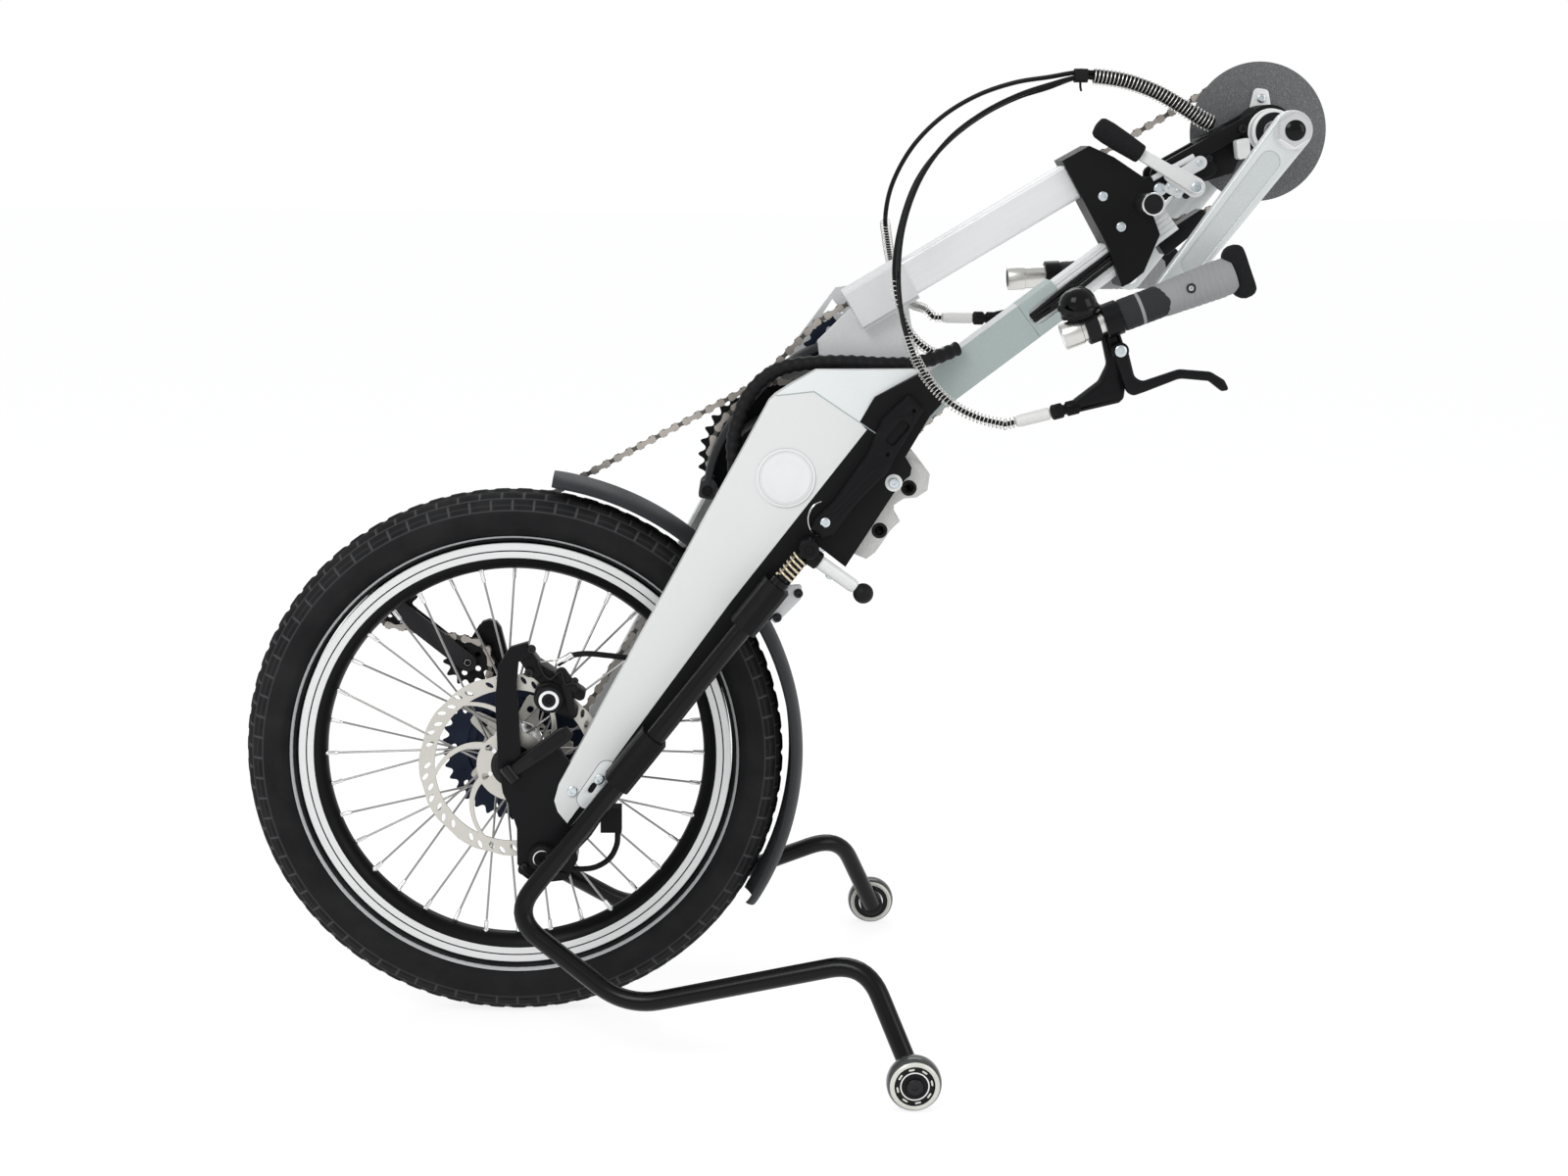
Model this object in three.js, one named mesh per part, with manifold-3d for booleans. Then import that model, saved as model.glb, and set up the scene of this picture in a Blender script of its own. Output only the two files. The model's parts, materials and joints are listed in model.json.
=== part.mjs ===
// A handcycle that is clamped to the front of a wheelchair, standing on its wheel and two castors.
// Millimetres, +X towards the rider, -Y the near (left) side, +Z up. Side-view places are [x, z]
// from the wheel's axle, and lateral sizes are distances from the middle plane.
import * as THREE from 'three';
import { mergeVertices } from 'three/addons/utils/BufferGeometryUtils.js';
import Module from 'manifold-3d';

// Clearances
const fit = 0.3;
const overrun = 2;
const degree = Math.PI / 180;

// Wheel
const rimRadius = 209;
const rimDepth = 25.6;
const rimBore = rimRadius - rimDepth;
const tyreHeight = 51.5;
const tyreRadius = rimRadius + tyreHeight;
const tyreHalfWidth = 27;
const tyreWall = 4;
const tyreSides = 32;
const tyreShares = [[0, 0.44], [0.25, 0.86], [0.58, 1], [0.86, 0.7], [1, 0.28]];
const tyreBoreShares = [[0, 0.44], [0.58, 1]];
const rimHalfWidth = 15;
const rimShares = [[0, 0.34], [0.55, 0.96], [1, 1], [1, 0.84], [0.53, 0.6]];
const hub = {
  halfWidth: 67.2, bore: 3.3, stub: 4.7, stubLength: 7.3, locknut: 9, barrel: 14,
  flange: 28, flangeThickness: 4, nearFlange: 33, farFlange: 16, rotorSeat: 22, freehub: 17,
};
const spokeCount = 36;
const spokeThickness = 1.8;
const spokeOffset = 1.2;
const spokeSpread = 2.4;
const spokeLean = 30 * degree;
const rotor = { radius: 90, ringWidth: 15, carrier: 25, place: 51, thickness: 2, armWidth: 7, arms: 6 };
const rotorBore = rotor.radius - rotor.ringWidth;
const cassette = { start: 19.6, end: 57.5, largest: 62, smallest: 27 };
const skewer = { radius: 2.8, nutRadius: 8, nutLength: 8 };
const quickRelease = { barrel: 6, barrelHalf: 9, thickness: 6, tip: [56, 42], width: 13 };

// Legs
const cover = { corner: [41, -47.5], size: [342, 429], depth: 20, wall: 3 };
const coverShares = [
  [0.035, 0], [0.48, 0.494], [0.845, 0.872], [0.825, 0.888], [0.865, 0.942], [1, 1], [0.708, 0.998],
  [0.646, 0.97], [0.599, 0.946], [0.582, 0.932], [0.012, 0.086], [0, 0.051], [0.009, 0.026],
];
const badge = { radius: 27, rise: 1 };
const rail = { corner: [54, -52.5], size: [346, 433.5], thickness: 8.9 };
const railShares = [
  [0, 0.007], [0.017, 0], [0.118, 0.045], [0.676, 0.622], [0.746, 0.579], [0.876, 0.743],
  [0.902, 0.768], [0.916, 0.777], [0.919, 0.794], [0.902, 0.817], [0.965, 0.904], [1, 0.934],
  [0.957, 1], [0.855, 0.978], [0.754, 0.904], [0.422, 0.524],
];
const dropout = { corner: [-12, -105.5], size: [108, 135], thickness: 8 };
const hubSide = hub.halfWidth + 2 * fit;
const dropoutEnd = hubSide + dropout.thickness;
const railInner = dropoutEnd + fit;
const coverOuter = railInner + rail.thickness;
const dropoutShares = [
  [0, 0.837], [0.037, 0.63], [0.111, 0.496], [0.157, 0.37], [0.157, 0.111], [0.296, 0],
  [0.528, 0.074], [0.806, 0.319], [1, 0.556], [0.889, 0.748], [0.667, 0.793], [0.481, 1], [0.204, 0.904],
];
const caliperArm = { corner: [-14, 1.5], size: [34, 123] };
const caliperArmShares = [
  [0.059, 0], [0.706, 0], [0.647, 0.309], [0.588, 0.675], [0.647, 0.846], [1, 0.894],
  [0.912, 1], [0.412, 0.959], [0.088, 0.813], [0, 0.553],
];
const hanger = { at: [-8, 29.5], radius: 11 };

// Stand: slanted tubes in guide sleeves, bent outwards to a castor each
const stand = {
  radius: 9, lateral: coverOuter + 21, top: [252, 189], foot: [0.8, -131.5],
  heel: [110, -206.5], heelLateral: 147,
  knee: [328, -143.5], kneeLateral: 203, bend: 34, footX: 368, endLateral: 246, plateRadius: 12,
};
const sleeveWall = 4.5;
const sleeveHeightShares = [[0.395, 0.535], [0.86, 0.985]];
const castor = { radius: 25.2, sides: 16, inner: 255, width: 21, bore: 5, bolt: 4.7, boltHead: 6.7 };
const lock = {
  pivot: [277, 219.5], radius: 9, inner: coverOuter + 1, outer: coverOuter + 32, pin: 4,
  rodStart: [283, 209.5], rodEnd: [321, 182.5], rod: 6.5, ball: [327.5, 177.5], ballRadius: 9.5,
};
const lockCurl = { radius: 7.5, wire: 1, turns: 5 };

// Brake calipers on the rotor
const upperCaliper = { corner: [8.3, 45.5], size: [59.7, 66], knob: [36.6, 71.2] };
const upperCaliperShares = [
  [0, 0.667], [0.229, 0.606], [0.296, 0.152], [0.765, 0], [1, 0.591], [0.866, 0.939], [0.263, 1], [0, 0.894],
];
const lowerCaliper = { corner: [5, -112.5], size: [57, 50], knob: [28.9, -82.3] };
const lowerCaliperShares = [
  [0, 0.24], [0.263, 0], [0.825, 0.08], [1, 0.48], [0.93, 0.94], [0.439, 1], [0.053, 0.84],
];
const caliper = {
  inner: 37, outer: hubSide - fit, slot: 3, knobRadius: 12.5, knobEnd: coverOuter, stem: 7, cable: 2.5,
};
const upperCaliperCable = [
  [46, -62, 103], [56, -63, 109], [70, -62, 111], [90, -60, 109], [112, -58, 106], [140, -57, 104],
];
const lowerCaliperCable = [
  [52, -62, -98], [62, -63, -99], [78, -64, -97], [92, -65, -88], [99, -66, -74], [100, -67, -62],
];
const junction = { corner: [84, -59], size: [20, 24], inner: 60 };

// Frame between the legs
const crown = { corner: [336, 309.5], size: [61, 67], half: 26, rod: 8 };
const crownShares = [
  [0, 0.328], [0.164, 0.672], [0.803, 1], [1, 0.642], [0.82, 0.433], [0.525, 0], [0.262, 0.119],
];
const crownRodShares = [[0.262, 0.418], [0.689, 0.716]];
const web = { corner: [288, 351.5], size: [96, 92], half: 5 };
const webShares = [[0.594, 0], [0.021, 0.37], [0, 0.543], [0.312, 0.87], [0.875, 1], [1, 0.239]];
const gusset = { corner: [262, 339.5], size: [122, 116], inner: 58, thickness: 4, spacer: 5 };
const gussetShares = [
  [0.377, 0.94], [0.205, 0.698], [0, 0.405], [0.049, 0.276], [0.459, 0.155], [0.721, 0],
  [0.951, 0.052], [1, 0.345], [0.934, 0.534], [0.885, 0.862], [0.77, 1],
];
const gussetPocketShares = [
  [[0.279, 0.724], [0.352, 0.845], [0.443, 0.724]],
  [[0.549, 0.569], [0.779, 0.698], [0.9, 0.49]],
];
const gussetSpacerShare = [0.762, 0.81];
const upperTube = { at: [377.2, 464.5], angle: 31.05 * degree, side: 34, start: -46, end: 194, wall: 2.5 };
const upperSleeve = { side: 42, chamfer: 5, start: -66, end: -6 };
const lowerTube = {
  at: [416.4, 369], angle: 37.3 * degree, side: 31, start: 20, end: 252, slot: 9, slotDepth: 3,
};
const lowerSleeve = { side: 36.7, start: -66, end: 88 };
const lug = { height: 8, width: 26, reach: 34, at: 18 };
const mudguard = {
  tyreGap: 15.5, thickness: 2.6, halfWidth: 31, start: -29.6 * degree, end: 82 * degree,
  stay: 5, stayAngle: 32 * degree,
};
const mudguardRadius = tyreRadius + mudguard.tyreGap;
const beam = { corner: [318, 204.5], size: [72, 97], end: dropoutEnd, bore: 6.5 };
const beamShares = [
  [0.667, 1], [0.903, 0.907], [1, 0.825], [0.972, 0.67], [0.833, 0.598], [0.667, 0.588], [0.542, 0.526],
  [0.542, 0.433], [0.625, 0.371], [0.5, 0.278], [0.375, 0.134], [0.306, 0.062], [0.194, 0],
  [0.028, 0.052], [0, 0.258], [0.278, 0.67], [0.472, 0.938],
];
const beamBoreShares = [[0.729, 0.691], [0.361, 0.278]];
const dockLever = {
  corner: [280, 226.5], size: [102, 134], pivot: [293.5, 239.5], pin: 5,
  inner: coverOuter + 2 * fit, outer: coverOuter + 12,
};
const dockLeverShares = [
  [0.029, 0.134], [0, 0.06], [0.078, 0], [0.196, 0.022], [0.412, 0.246], [0.706, 0.485],
  [0.765, 0.59], [1, 0.896], [0.863, 1], [0.618, 0.821], [0.49, 0.582], [0.196, 0.261],
];

// Clamp that joins the two tubes and carries the head
const clamp = {
  corner: [512, 455.5], size: [94, 130], half: 26, knob: [592, 533.2], knobRadius: 10, knobEnd: 60,
};
const clampShares = [
  [0, 0.892], [0.266, 1], [0.511, 0.923], [0.809, 0.785], [0.851, 0.646], [0.936, 0.492],
  [1, 0.377], [0.851, 0.108], [0.723, 0.031], [0.638, 0], [0.489, 0.277],
];
const clampEarShare = [0.7, 0.65];
const tilt = { at: [604, 546.5], barrel: 12, ear: 4.4, earRoot: 15.6 };

// Head
const head = {
  corner: [594, 534.5], size: [106, 89], half: 21.3, eye: 26,
  base: [[612, 532], [646, 552]], baseWidth: 16, baseOuter: 29,
};
const headShares = [
  [0.094, 0], [0.434, 0.079], [0.642, 0.225], [0.906, 0.528], [1, 0.528], [1, 0.955],
  [0.887, 1], [0.736, 0.876], [0.038, 0.438], [0.019, 0.348], [0.113, 0.281], [0, 0.191],
];
const toggle = {
  pivot: [636, 548.5], inner: 32.5, outer: 39.5, root: 9, arm: 7,
  armEnd: [580, 580], grip: [541, 604], gripRadius: 9, pin: 4,
};
const shell = { radius: 20, near: 38, far: 25.2 };
const guard = { radius: 65.2, bore: 14, thickness: 2.5 };
const cableAnchor = { at: [656, -12, 598.5], radius: 6.5, height: 7 };

// Crank
const crank = { at: [706, 600.5], axle: 8.5, armInner: 98, armOuter: 112, nut: 13, nutLength: 4 };
const crankArm = { toPin: [-104.6, -141.6], eye: 18, tip: 13 };
const chainring = { hub: 14, hubEnd: 40 };

// Handles: places from the pivot pin, [along the bar, upwards]
const handle = {
  lateral: 165, bar: 11, barStart: -108, barEnd: 44, pin: 5, pinHead: 7.5, pinHeadLength: 4,
  nearTilt: 21 * degree, farTilt: 3 * degree, farRoll: 55 * degree,
};
const grip = {
  start: -59, end: 46, neck: 14.5, swell: 18,
  padRadius: 11.5, padMiddle: 9.5, padSpread: 11, padThickness: 9,
};
const gripShares = [
  [0, 0.8], [0.37, 0.8], [0.4, 0.86], [0.66, 0.96], [0.86, 1], [1, 0.9],
];
const leverClamp = { start: -75, end: -59.4, radius: 15.5, inner: -14, outer: -3.3, axis: -8.6 };
const leverBody = { corner: [-123, -73.1], size: [59.8, 65.9] };
const leverBodyShares = [
  [0.731, 0.995], [1, 1], [0.992, 0.514], [0.886, 0.308], [0.736, 0.035], [0.649, 0],
  [0.017, 0.074], [0, 0.243], [0.467, 0.373], [0.666, 0.548],
];
const adjuster = { start: [-119, -63.5], end: [-144.4, -60.6], radius: 6.5 };
const ferrule = { end: [-176.5, -56.9], radius: 5.5 };
const blade = {
  corner: [-76.4, -95.4], size: [86.5, 74.7], pivot: [-69.7, -28.3], hub: 7.5, pin: 3, inner: -3, outer: 8,
};
const bladeShares = [
  [0.024, 0.98], [0.105, 1], [0.156, 0.892], [0.128, 0.546], [0.198, 0.458], [0.588, 0.442],
  [0.883, 0.282], [0.984, 0.137], [1, 0], [0.92, 0.021], [0.828, 0.191], [0.556, 0.341],
  [0.183, 0.336], [0.01, 0.34], [0, 0.531], [0.002, 0.874],
];
const bell = { start: -90, end: -80, strap: 14, at: [-91, 13], radius: 16, height: 16 };

// Chain drive: pitch radius of each wheel, places of the two chain planes
const chain = { half: 4.5, halfWidth: 4, upperPlane: 34, lowerPlane: 45, disc: 1.2 };
const ringRadius = 57;
const idler = { at: [305.5, 395.5], radius: 26.5, axle: 5, hub: 9, hubHalf: 6 };
const jackshaft = { at: [255, 281], inRadius: 68.8, outRadius: 76.9, axle: 8, hub: 14, start: 27, end: 60 };
const chainSlide = { at: [590, 479.5], radius: 10 };
const chainRoller = { at: [192, 213.5], radius: 12, post: 5.2 };
const chainOnCassette = 38;
const guidePulley = { at: [-50, 80.5], radius: 22, axle: 3 };
const tensionPulley = { at: [-122, 138.5], radius: 22 };
const cage = { width: 9, thickness: 2, gap: 1.2 };
const changer = { inner: 58.5, outer: 67.5, knuckle: [-30, 107.5], knuckleRadius: 12 };
const driveUnit = {
  radius: 52, near: 44, far: 24, boss: 20, lugHalf: 20, lugWidth: 20,
  lugStart: [280, 299.5], lugEnd: [345, 343.5],
};
const chainGuard = { inner: 5.3, outer: 26, half: 3.5, block: 9 };
const chainGuardRoute = [
  [184, 256.5], [187, 276], [193, 295], [205, 317], [224, 342], [252, 368], [282, 385], [312, 391],
  [336, 383], [352, 373],
];

// Cords and wound pieces; each route's points are [x, y, z]
const conduit = { radius: 7, groove: 5.8, bore: 4, pitch: 11, boreEvery: 5 };
const conduitRoute = [
  [213, -51.3, 268], [209, -51.3, 290], [208, -51.3, 312], [213, -51.3, 334], [222, -51.3, 354],
  [237, -51.3, 371], [256, -51.3, 381], [284, -51.3, 385], [315, -51.3, 385.5], [345, -51, 384],
  [370, -47, 384],
];
const cordRadius = 2.2;
const bundleRoute = [
  [655, -12, 605.9], [644, -12, 611], [622, -12, 624], [600, -12, 635.5], [572, -12, 645], [544, -12, 649],
  [527, -12, 649.5],
];
const bundleOffsets = [[-2.6, -1.5], [2.6, -1.5], [0, 3]];
const nearCord = [
  [500, -17, 641], [470, -24, 631], [436, -33, 614], [404, -46, 590], [378, -60, 556], [361, -77, 512],
  [356, -92, 468], [359, -107, 430], [367, -122, 402], [380, -138, 378], [400, -150, 358], [424, -155, 346],
];
const frameCord = [
  [498, -14, 638], [470, -18, 629], [436, -26, 612], [402, -37, 586], [375, -47, 552], [359, -56, 506],
  [355, -60, 466], [361, -58, 436], [372, -49, 414], [384, -40, 402],
];
const farCord = [
  [500, -8, 648], [470, -4, 643], [436, 2, 631], [404, 8, 611], [377, 14, 583], [359, 26, 548],
  [354, 44, 518], [358, 66, 494], [364, 92, 472], [372, 122, 452], [382, 156, 436], [396, 190, 424],
  [410, 209, 418.5],
];
const cordSteps = 18;
const tie = { radius: 6.5, width: 5, x: 529 };
const bundleCurl = { radius: 8.4, wire: 0.7, turns: 14 };
const nearCurl = { radius: 4.8, wire: 0.7, turns: 10 };
const farCurl = { radius: 4.8, wire: 0.7, turns: 8 };
const bundleCurlShare = 0.9;
const cordCurlShares = [0.8, 0.985];
const curlSteps = 6;
const curlSides = 4;

// Finishes
const finishes = {
  silver: [0xc9cccc, 0.35, 0.7],
  castGrey: [0xb8b8b2, 0.5, 0.6],
  steel: [0xb9b7b0, 0.3, 1],
  black: [0x151515, 0.55, 0.1],
  blackSteel: [0x1b1b1c, 0.4, 0.6],
  blackTube: [0x121213, 0.4, 0.2],
  tyre: [0x202021, 0.85, 0],
  rim: [0x17181a, 0.4, 0.4],
  grip: [0x77797b, 0.8, 0],
  dark: [0x3a3d40, 0.6, 0.1],
  guardGrey: [0x57595b, 0.75, 0.1],
  cogs: [0x27324a, 0.35, 0.8],
  clear: [0x8d9196, 0.3, 0],
  brass: [0xb39a63, 0.4, 0.9],
  white: [0xe6e6e2, 0.5, 0.1],
  chrome: [0xd4d5d6, 0.18, 1],
};

const wasm = await Module();
wasm.setup();

// The height of the axle: the tyre and the castors stand on a flat facet
const axleHeight = tyreRadius * Math.cos(Math.PI / tyreSides);
const bike = new THREE.Group();
bike.position.z = axleHeight;

// Closed geometry to solid, with its faces pointing out
function solid(geometry) {
  geometry.deleteAttribute('normal');
  geometry.deleteAttribute('uv');
  const merged = mergeVertices(geometry);
  const points = merged.attributes.position.array;
  const corners = new Uint32Array(merged.index.array);
  const corner = (index) => new THREE.Vector3().fromArray(points, corners[index] * 3);
  let volume = 0;
  for (let i = 0; i < corners.length; i += 3) {
    volume += corner(i).dot(corner(i + 1).cross(corner(i + 2)));
  }
  if (volume < 0) {
    corners.reverse();
  }
  return new wasm.Manifold(new wasm.Mesh({ numProp: 3, vertProperties: points, triVerts: corners }));
}

function geometryOf(body) {
  const mesh = body.getMesh();
  const geometry = new THREE.BufferGeometry();
  geometry.setAttribute('position', new THREE.BufferAttribute(new Float32Array(mesh.vertProperties), 3));
  geometry.setIndex(new THREE.BufferAttribute(new Uint32Array(mesh.triVerts), 1));
  geometry.computeVertexNormals();
  return geometry;
}

const join = (first, ...rest) => rest.reduce((sum, piece) => sum.add(piece), first);
const cut = (first, ...tools) => tools.reduce((sum, tool) => sum.subtract(tool), first);

function add(name, body, finish, matrix) {
  const [color, roughness, metalness] = finishes[finish];
  const geometry = geometryOf(body);
  if (matrix) {
    geometry.applyMatrix4(matrix);
  }
  const mesh = new THREE.Mesh(geometry, new THREE.MeshStandardMaterial({ color, roughness, metalness }));
  mesh.name = name;
  bike.add(mesh);
}

// Side-view outlines
const spread = (shares, { corner, size }) =>
  shares.map(([s, t]) => [corner[0] + s * size[0], corner[1] + t * size[1]]);
const along = ([ax, az], [bx, bz], share) => [ax + (bx - ax) * share, az + (bz - az) * share];
const polar = (radius, angle, [cx, cz] = [0, 0]) =>
  [cx + radius * Math.cos(angle), cz + radius * Math.sin(angle)];

// A strip of a width about the line between two places
function strip([ax, az], [bx, bz], width) {
  const length = Math.hypot(bx - ax, bz - az);
  const [nx, nz] = [-(bz - az) / length * width / 2, (bx - ax) / length * width / 2];
  return [[ax - nx, az - nz], [bx - nx, bz - nz], [bx + nx, bz + nz], [ax + nx, az + nz]];
}

// The outline moved outwards by a distance, its corners kept sharp
function grown(points, distance) {
  const bluntest = 0.4;
  const area = points.reduce((sum, [x, z], i) => {
    const [nextX, nextZ] = points[(i + 1) % points.length];
    return sum + x * nextZ - nextX * z;
  }, 0);
  const ring = area > 0 ? points : [...points].reverse();
  return ring.map((point, i) => {
    const before = ring[(i + ring.length - 1) % ring.length];
    const after = ring[(i + 1) % ring.length];
    const first = new THREE.Vector2(point[1] - before[1], before[0] - point[0]).normalize();
    const second = new THREE.Vector2(after[1] - point[1], point[0] - after[0]).normalize();
    const bisector = first.clone().add(second).normalize();
    const reach = distance / Math.max(bisector.dot(first), bluntest);
    return [point[0] + bisector.x * reach, point[1] + bisector.y * reach];
  });
}

// Outline extruded between two lateral places
function plate(points, yA, yB) {
  const shape = new THREE.Shape(points.map(([x, z]) => new THREE.Vector2(x, z)));
  const geometry = new THREE.ExtrudeGeometry(shape, { depth: Math.abs(yB - yA), bevelEnabled: false });
  geometry.rotateX(Math.PI / 2);
  geometry.translate(0, Math.max(yA, yB), 0);
  return solid(geometry);
}

// Small pins need fewer sides
const smallRadius = 7;
const sidesOf = (radius) => (radius < smallRadius ? 10 : 14);
const barSides = 12;

// Cylinder across the bike
function round([x, z], radius, yA, yB, sides = sidesOf(radius)) {
  const geometry = new THREE.CylinderGeometry(radius, radius, Math.abs(yB - yA), sides);
  geometry.translate(x, (yA + yB) / 2, z);
  return solid(geometry);
}

// Cylinder between two points in space
function rod(from, to, radius, sides = sidesOf(radius)) {
  const [a, b] = [new THREE.Vector3(...from), new THREE.Vector3(...to)];
  const geometry = new THREE.CylinderGeometry(radius, radius, a.distanceTo(b), sides);
  const aim = b.clone().sub(a).normalize();
  const turn = new THREE.Quaternion().setFromUnitVectors(new THREE.Vector3(0, 1, 0), aim);
  geometry.applyQuaternion(turn);
  geometry.translate(...a.add(b).divideScalar(2).toArray());
  return solid(geometry);
}

// A closed ring of [radius, y] points turned about the wheel's or another axis across the bike
function turned(profile, [x, z], sides) {
  const ring = [...profile, profile[0]].map(([radius, y]) => new THREE.Vector2(radius, y));
  const geometry = new THREE.LatheGeometry(ring, sides);
  geometry.rotateY(Math.PI / sides);
  geometry.translate(x, 0, z);
  return solid(geometry);
}

function ball([x, y, z], radius, sides = 10) {
  const geometry = new THREE.SphereGeometry(radius, sides, sides / 2);
  geometry.translate(x, y, z);
  return solid(geometry);
}

// A path through listed points, each one a step of the extrusion
class ListedPath extends THREE.Curve {
  constructor(points) {
    super();
    this.points = points;
  }
  getPointAt(share) {
    return this.points[Math.round(share * (this.points.length - 1))].clone();
  }
  getTangentAt(share) {
    const index = Math.round(share * (this.points.length - 1));
    const before = this.points[Math.max(index - 1, 0)];
    const after = this.points[Math.min(index + 1, this.points.length - 1)];
    return after.clone().sub(before).normalize();
  }
}

function tubeGeometry(points, radius, sides) {
  const section = new THREE.Shape();
  for (let i = 0; i < sides; i += 1) {
    const angle = 2 * Math.PI * i / sides;
    section[i ? 'lineTo' : 'moveTo'](radius * Math.cos(angle), radius * Math.sin(angle));
  }
  return new THREE.ExtrudeGeometry(section, {
    steps: points.length - 1, bevelEnabled: false, extrudePath: new ListedPath(points),
  });
}

const tube = (points, radius, sides = 8) => solid(tubeGeometry(points, radius, sides));
const vectors = (route) => route.map((point) => new THREE.Vector3(...point));
const smooth = (points, steps) =>
  new THREE.CatmullRomCurve3(points, false, 'centripetal').getSpacedPoints(steps);

// Straight runs joined by round bends
function bent(points, bend, bendSteps) {
  const route = [points[0]];
  for (let i = 1; i < points.length - 1; i += 1) {
    const [before, corner, after] = [points[i - 1], points[i], points[i + 1]];
    const arrive = corner.clone().sub(before).normalize();
    const leave = after.clone().sub(corner).normalize();
    const reach = bend * Math.tan(arrive.angleTo(leave) / 2);
    const arc = new THREE.QuadraticBezierCurve3(
      corner.clone().addScaledVector(arrive, -reach), corner, corner.clone().addScaledVector(leave, reach));
    route.push(...arc.getPoints(bendSteps));
  }
  return [...route, points[points.length - 1]];
}

// Wire wound about a centre line, its ends straight for one wire diameter
function curl(name, centre, { radius, wire, turns }) {
  const steps = turns * curlSteps;
  const line = new THREE.CatmullRomCurve3(centre, false, 'centripetal');
  const frames = line.computeFrenetFrames(steps, false);
  const points = line.getSpacedPoints(steps).map((point, i) => {
    const angle = 2 * Math.PI * i / curlSteps;
    return point.addScaledVector(frames.normals[i], radius * Math.cos(angle))
      .addScaledVector(frames.binormals[i], radius * Math.sin(angle));
  });
  points.unshift(points[0].clone().addScaledVector(frames.tangents[0], -2 * wire));
  points.push(points[points.length - 1].clone().addScaledVector(frames.tangents[steps], 2 * wire));
  let least = Infinity;
  points.forEach((point, i) => {
    for (let j = i + curlSteps - 1; j < points.length; j += 1) {
      least = Math.min(least, point.distanceTo(points[j]) - 2 * wire);
    }
  });
  console.log(`${name}: least gap between curls ${least.toFixed(2)} mm`);
  return tube(points, wire, curlSides);
}

// Ribbed hose with its bore: a crest and a groove ring for each rib
function ribbed(centre, { radius, groove, bore, pitch, boreEvery }) {
  const line = new THREE.CatmullRomCurve3(centre, false, 'centripetal');
  const ribs = Math.round(line.getLength() / pitch);
  const steps = ribs * 2;
  const frames = line.computeFrenetFrames(steps, false);
  const middles = line.getSpacedPoints(steps);
  const sides = 8;
  const ringOf = (i, reach) => Array.from({ length: sides }, (_, k) => {
    const angle = 2 * Math.PI * k / sides;
    return middles[i].clone().addScaledVector(frames.normals[i], reach * Math.cos(angle))
      .addScaledVector(frames.binormals[i], reach * Math.sin(angle));
  });
  const rings = middles.map((_, i) => ringOf(i, i < 2 || i > steps - 2 ? groove : (i % 2 ? groove : radius)));
  for (let rib = ribs; rib >= 0; rib -= 1) {
    if (rib === ribs || rib % boreEvery === 0) {
      rings.push(ringOf(rib * 2, bore));
    }
  }
  const positions = rings.flat().flatMap((point) => point.toArray());
  const triangles = [];
  rings.forEach((_, i) => {
    const [here, next] = [i * sides, ((i + 1) % rings.length) * sides];
    for (let k = 0; k < sides; k += 1) {
      const after = (k + 1) % sides;
      triangles.push(here + k, here + after, next + after, here + k, next + after, next + k);
    }
  });
  const geometry = new THREE.BufferGeometry();
  geometry.setAttribute('position', new THREE.Float32BufferAttribute(positions, 3));
  geometry.setIndex(triangles);
  return solid(geometry);
}

// Chain loop round wheels that turn it left (1) or right (-1), moved sideways by a distance.
// A wheel's centre lies its radius to the side of the path that the path turns to. Each wheel
// gives one arc of points.
const chainBend = 20 * degree;
function chainArcs(wheels, shift) {
  const headings = wheels.map((wheel, i) => {
    const next = wheels[(i + 1) % wheels.length];
    const [dx, dz] = [next.at[0] - wheel.at[0], next.at[1] - wheel.at[1]];
    const offset = next.turn * next.radius - wheel.turn * wheel.radius;
    return Math.atan2(dz, dx) - Math.asin(offset / Math.hypot(dx, dz));
  });
  return wheels.map(({ at, radius, turn }, i) => {
    const arrive = headings[(i + wheels.length - 1) % wheels.length];
    const full = 2 * Math.PI;
    const sweep = ((turn * (headings[i] - arrive)) % full + full) % full;
    const steps = Math.max(2, Math.ceil(sweep / chainBend));
    return Array.from({ length: steps + 1 }, (_, k) => {
      const heading = arrive + turn * sweep * k / steps;
      const reach = turn * radius + shift;
      return [at[0] + reach * Math.sin(heading), at[1] - reach * Math.cos(heading)];
    });
  });
}

// The widest wheel that fits inside the chain's flat links
const toothRadius = (radius) => (radius - chain.half) * Math.cos(chainBend / 2) - fit;

function chainLoop(wheels, plane) {
  const [one, other] = [chain.half, -chain.half].map((shift) => chainArcs(wheels, shift).flat());
  return cut(
    plate(one, plane - chain.halfWidth, plane + chain.halfWidth),
    plate(other, plane - chain.halfWidth - overrun, plane + chain.halfWidth + overrun));
}

// A round eye at each end of a tapered strip
function link(from, to, fromRadius, toRadius, yA, yB) {
  const eyeSides = 10;
  const [dx, dz] = [to[0] - from[0], to[1] - from[1]];
  const heading = Math.atan2(dz, dx);
  const lean = Math.acos((fromRadius - toRadius) / Math.hypot(dx, dz));
  const sides = [heading + lean, heading - lean];
  const body = [
    polar(fromRadius, sides[0], from), polar(fromRadius, sides[1], from),
    polar(toRadius, sides[1], to), polar(toRadius, sides[0], to),
  ];
  const eyes = [round(from, fromRadius, yA, yB, eyeSides), round(to, toRadius, yA, yB, eyeSides)];
  return join(plate(body, yA, yB), ...eyes);
}

// Square bar along a slanted line, from one distance to another
function slanted({ at, angle }, side, from, to, depth = side) {
  const [a, b] = [polar(from, angle, at), polar(to, angle, at)];
  return plate(strip(a, b, side), -depth / 2, depth / 2);
}

const coverOutline = spread(coverShares, cover);
const dropoutOutline = spread(dropoutShares, dropout);
const crownOutline = spread(crownShares, crown);
const sides = [['near', -1], ['far', 1]];

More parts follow.
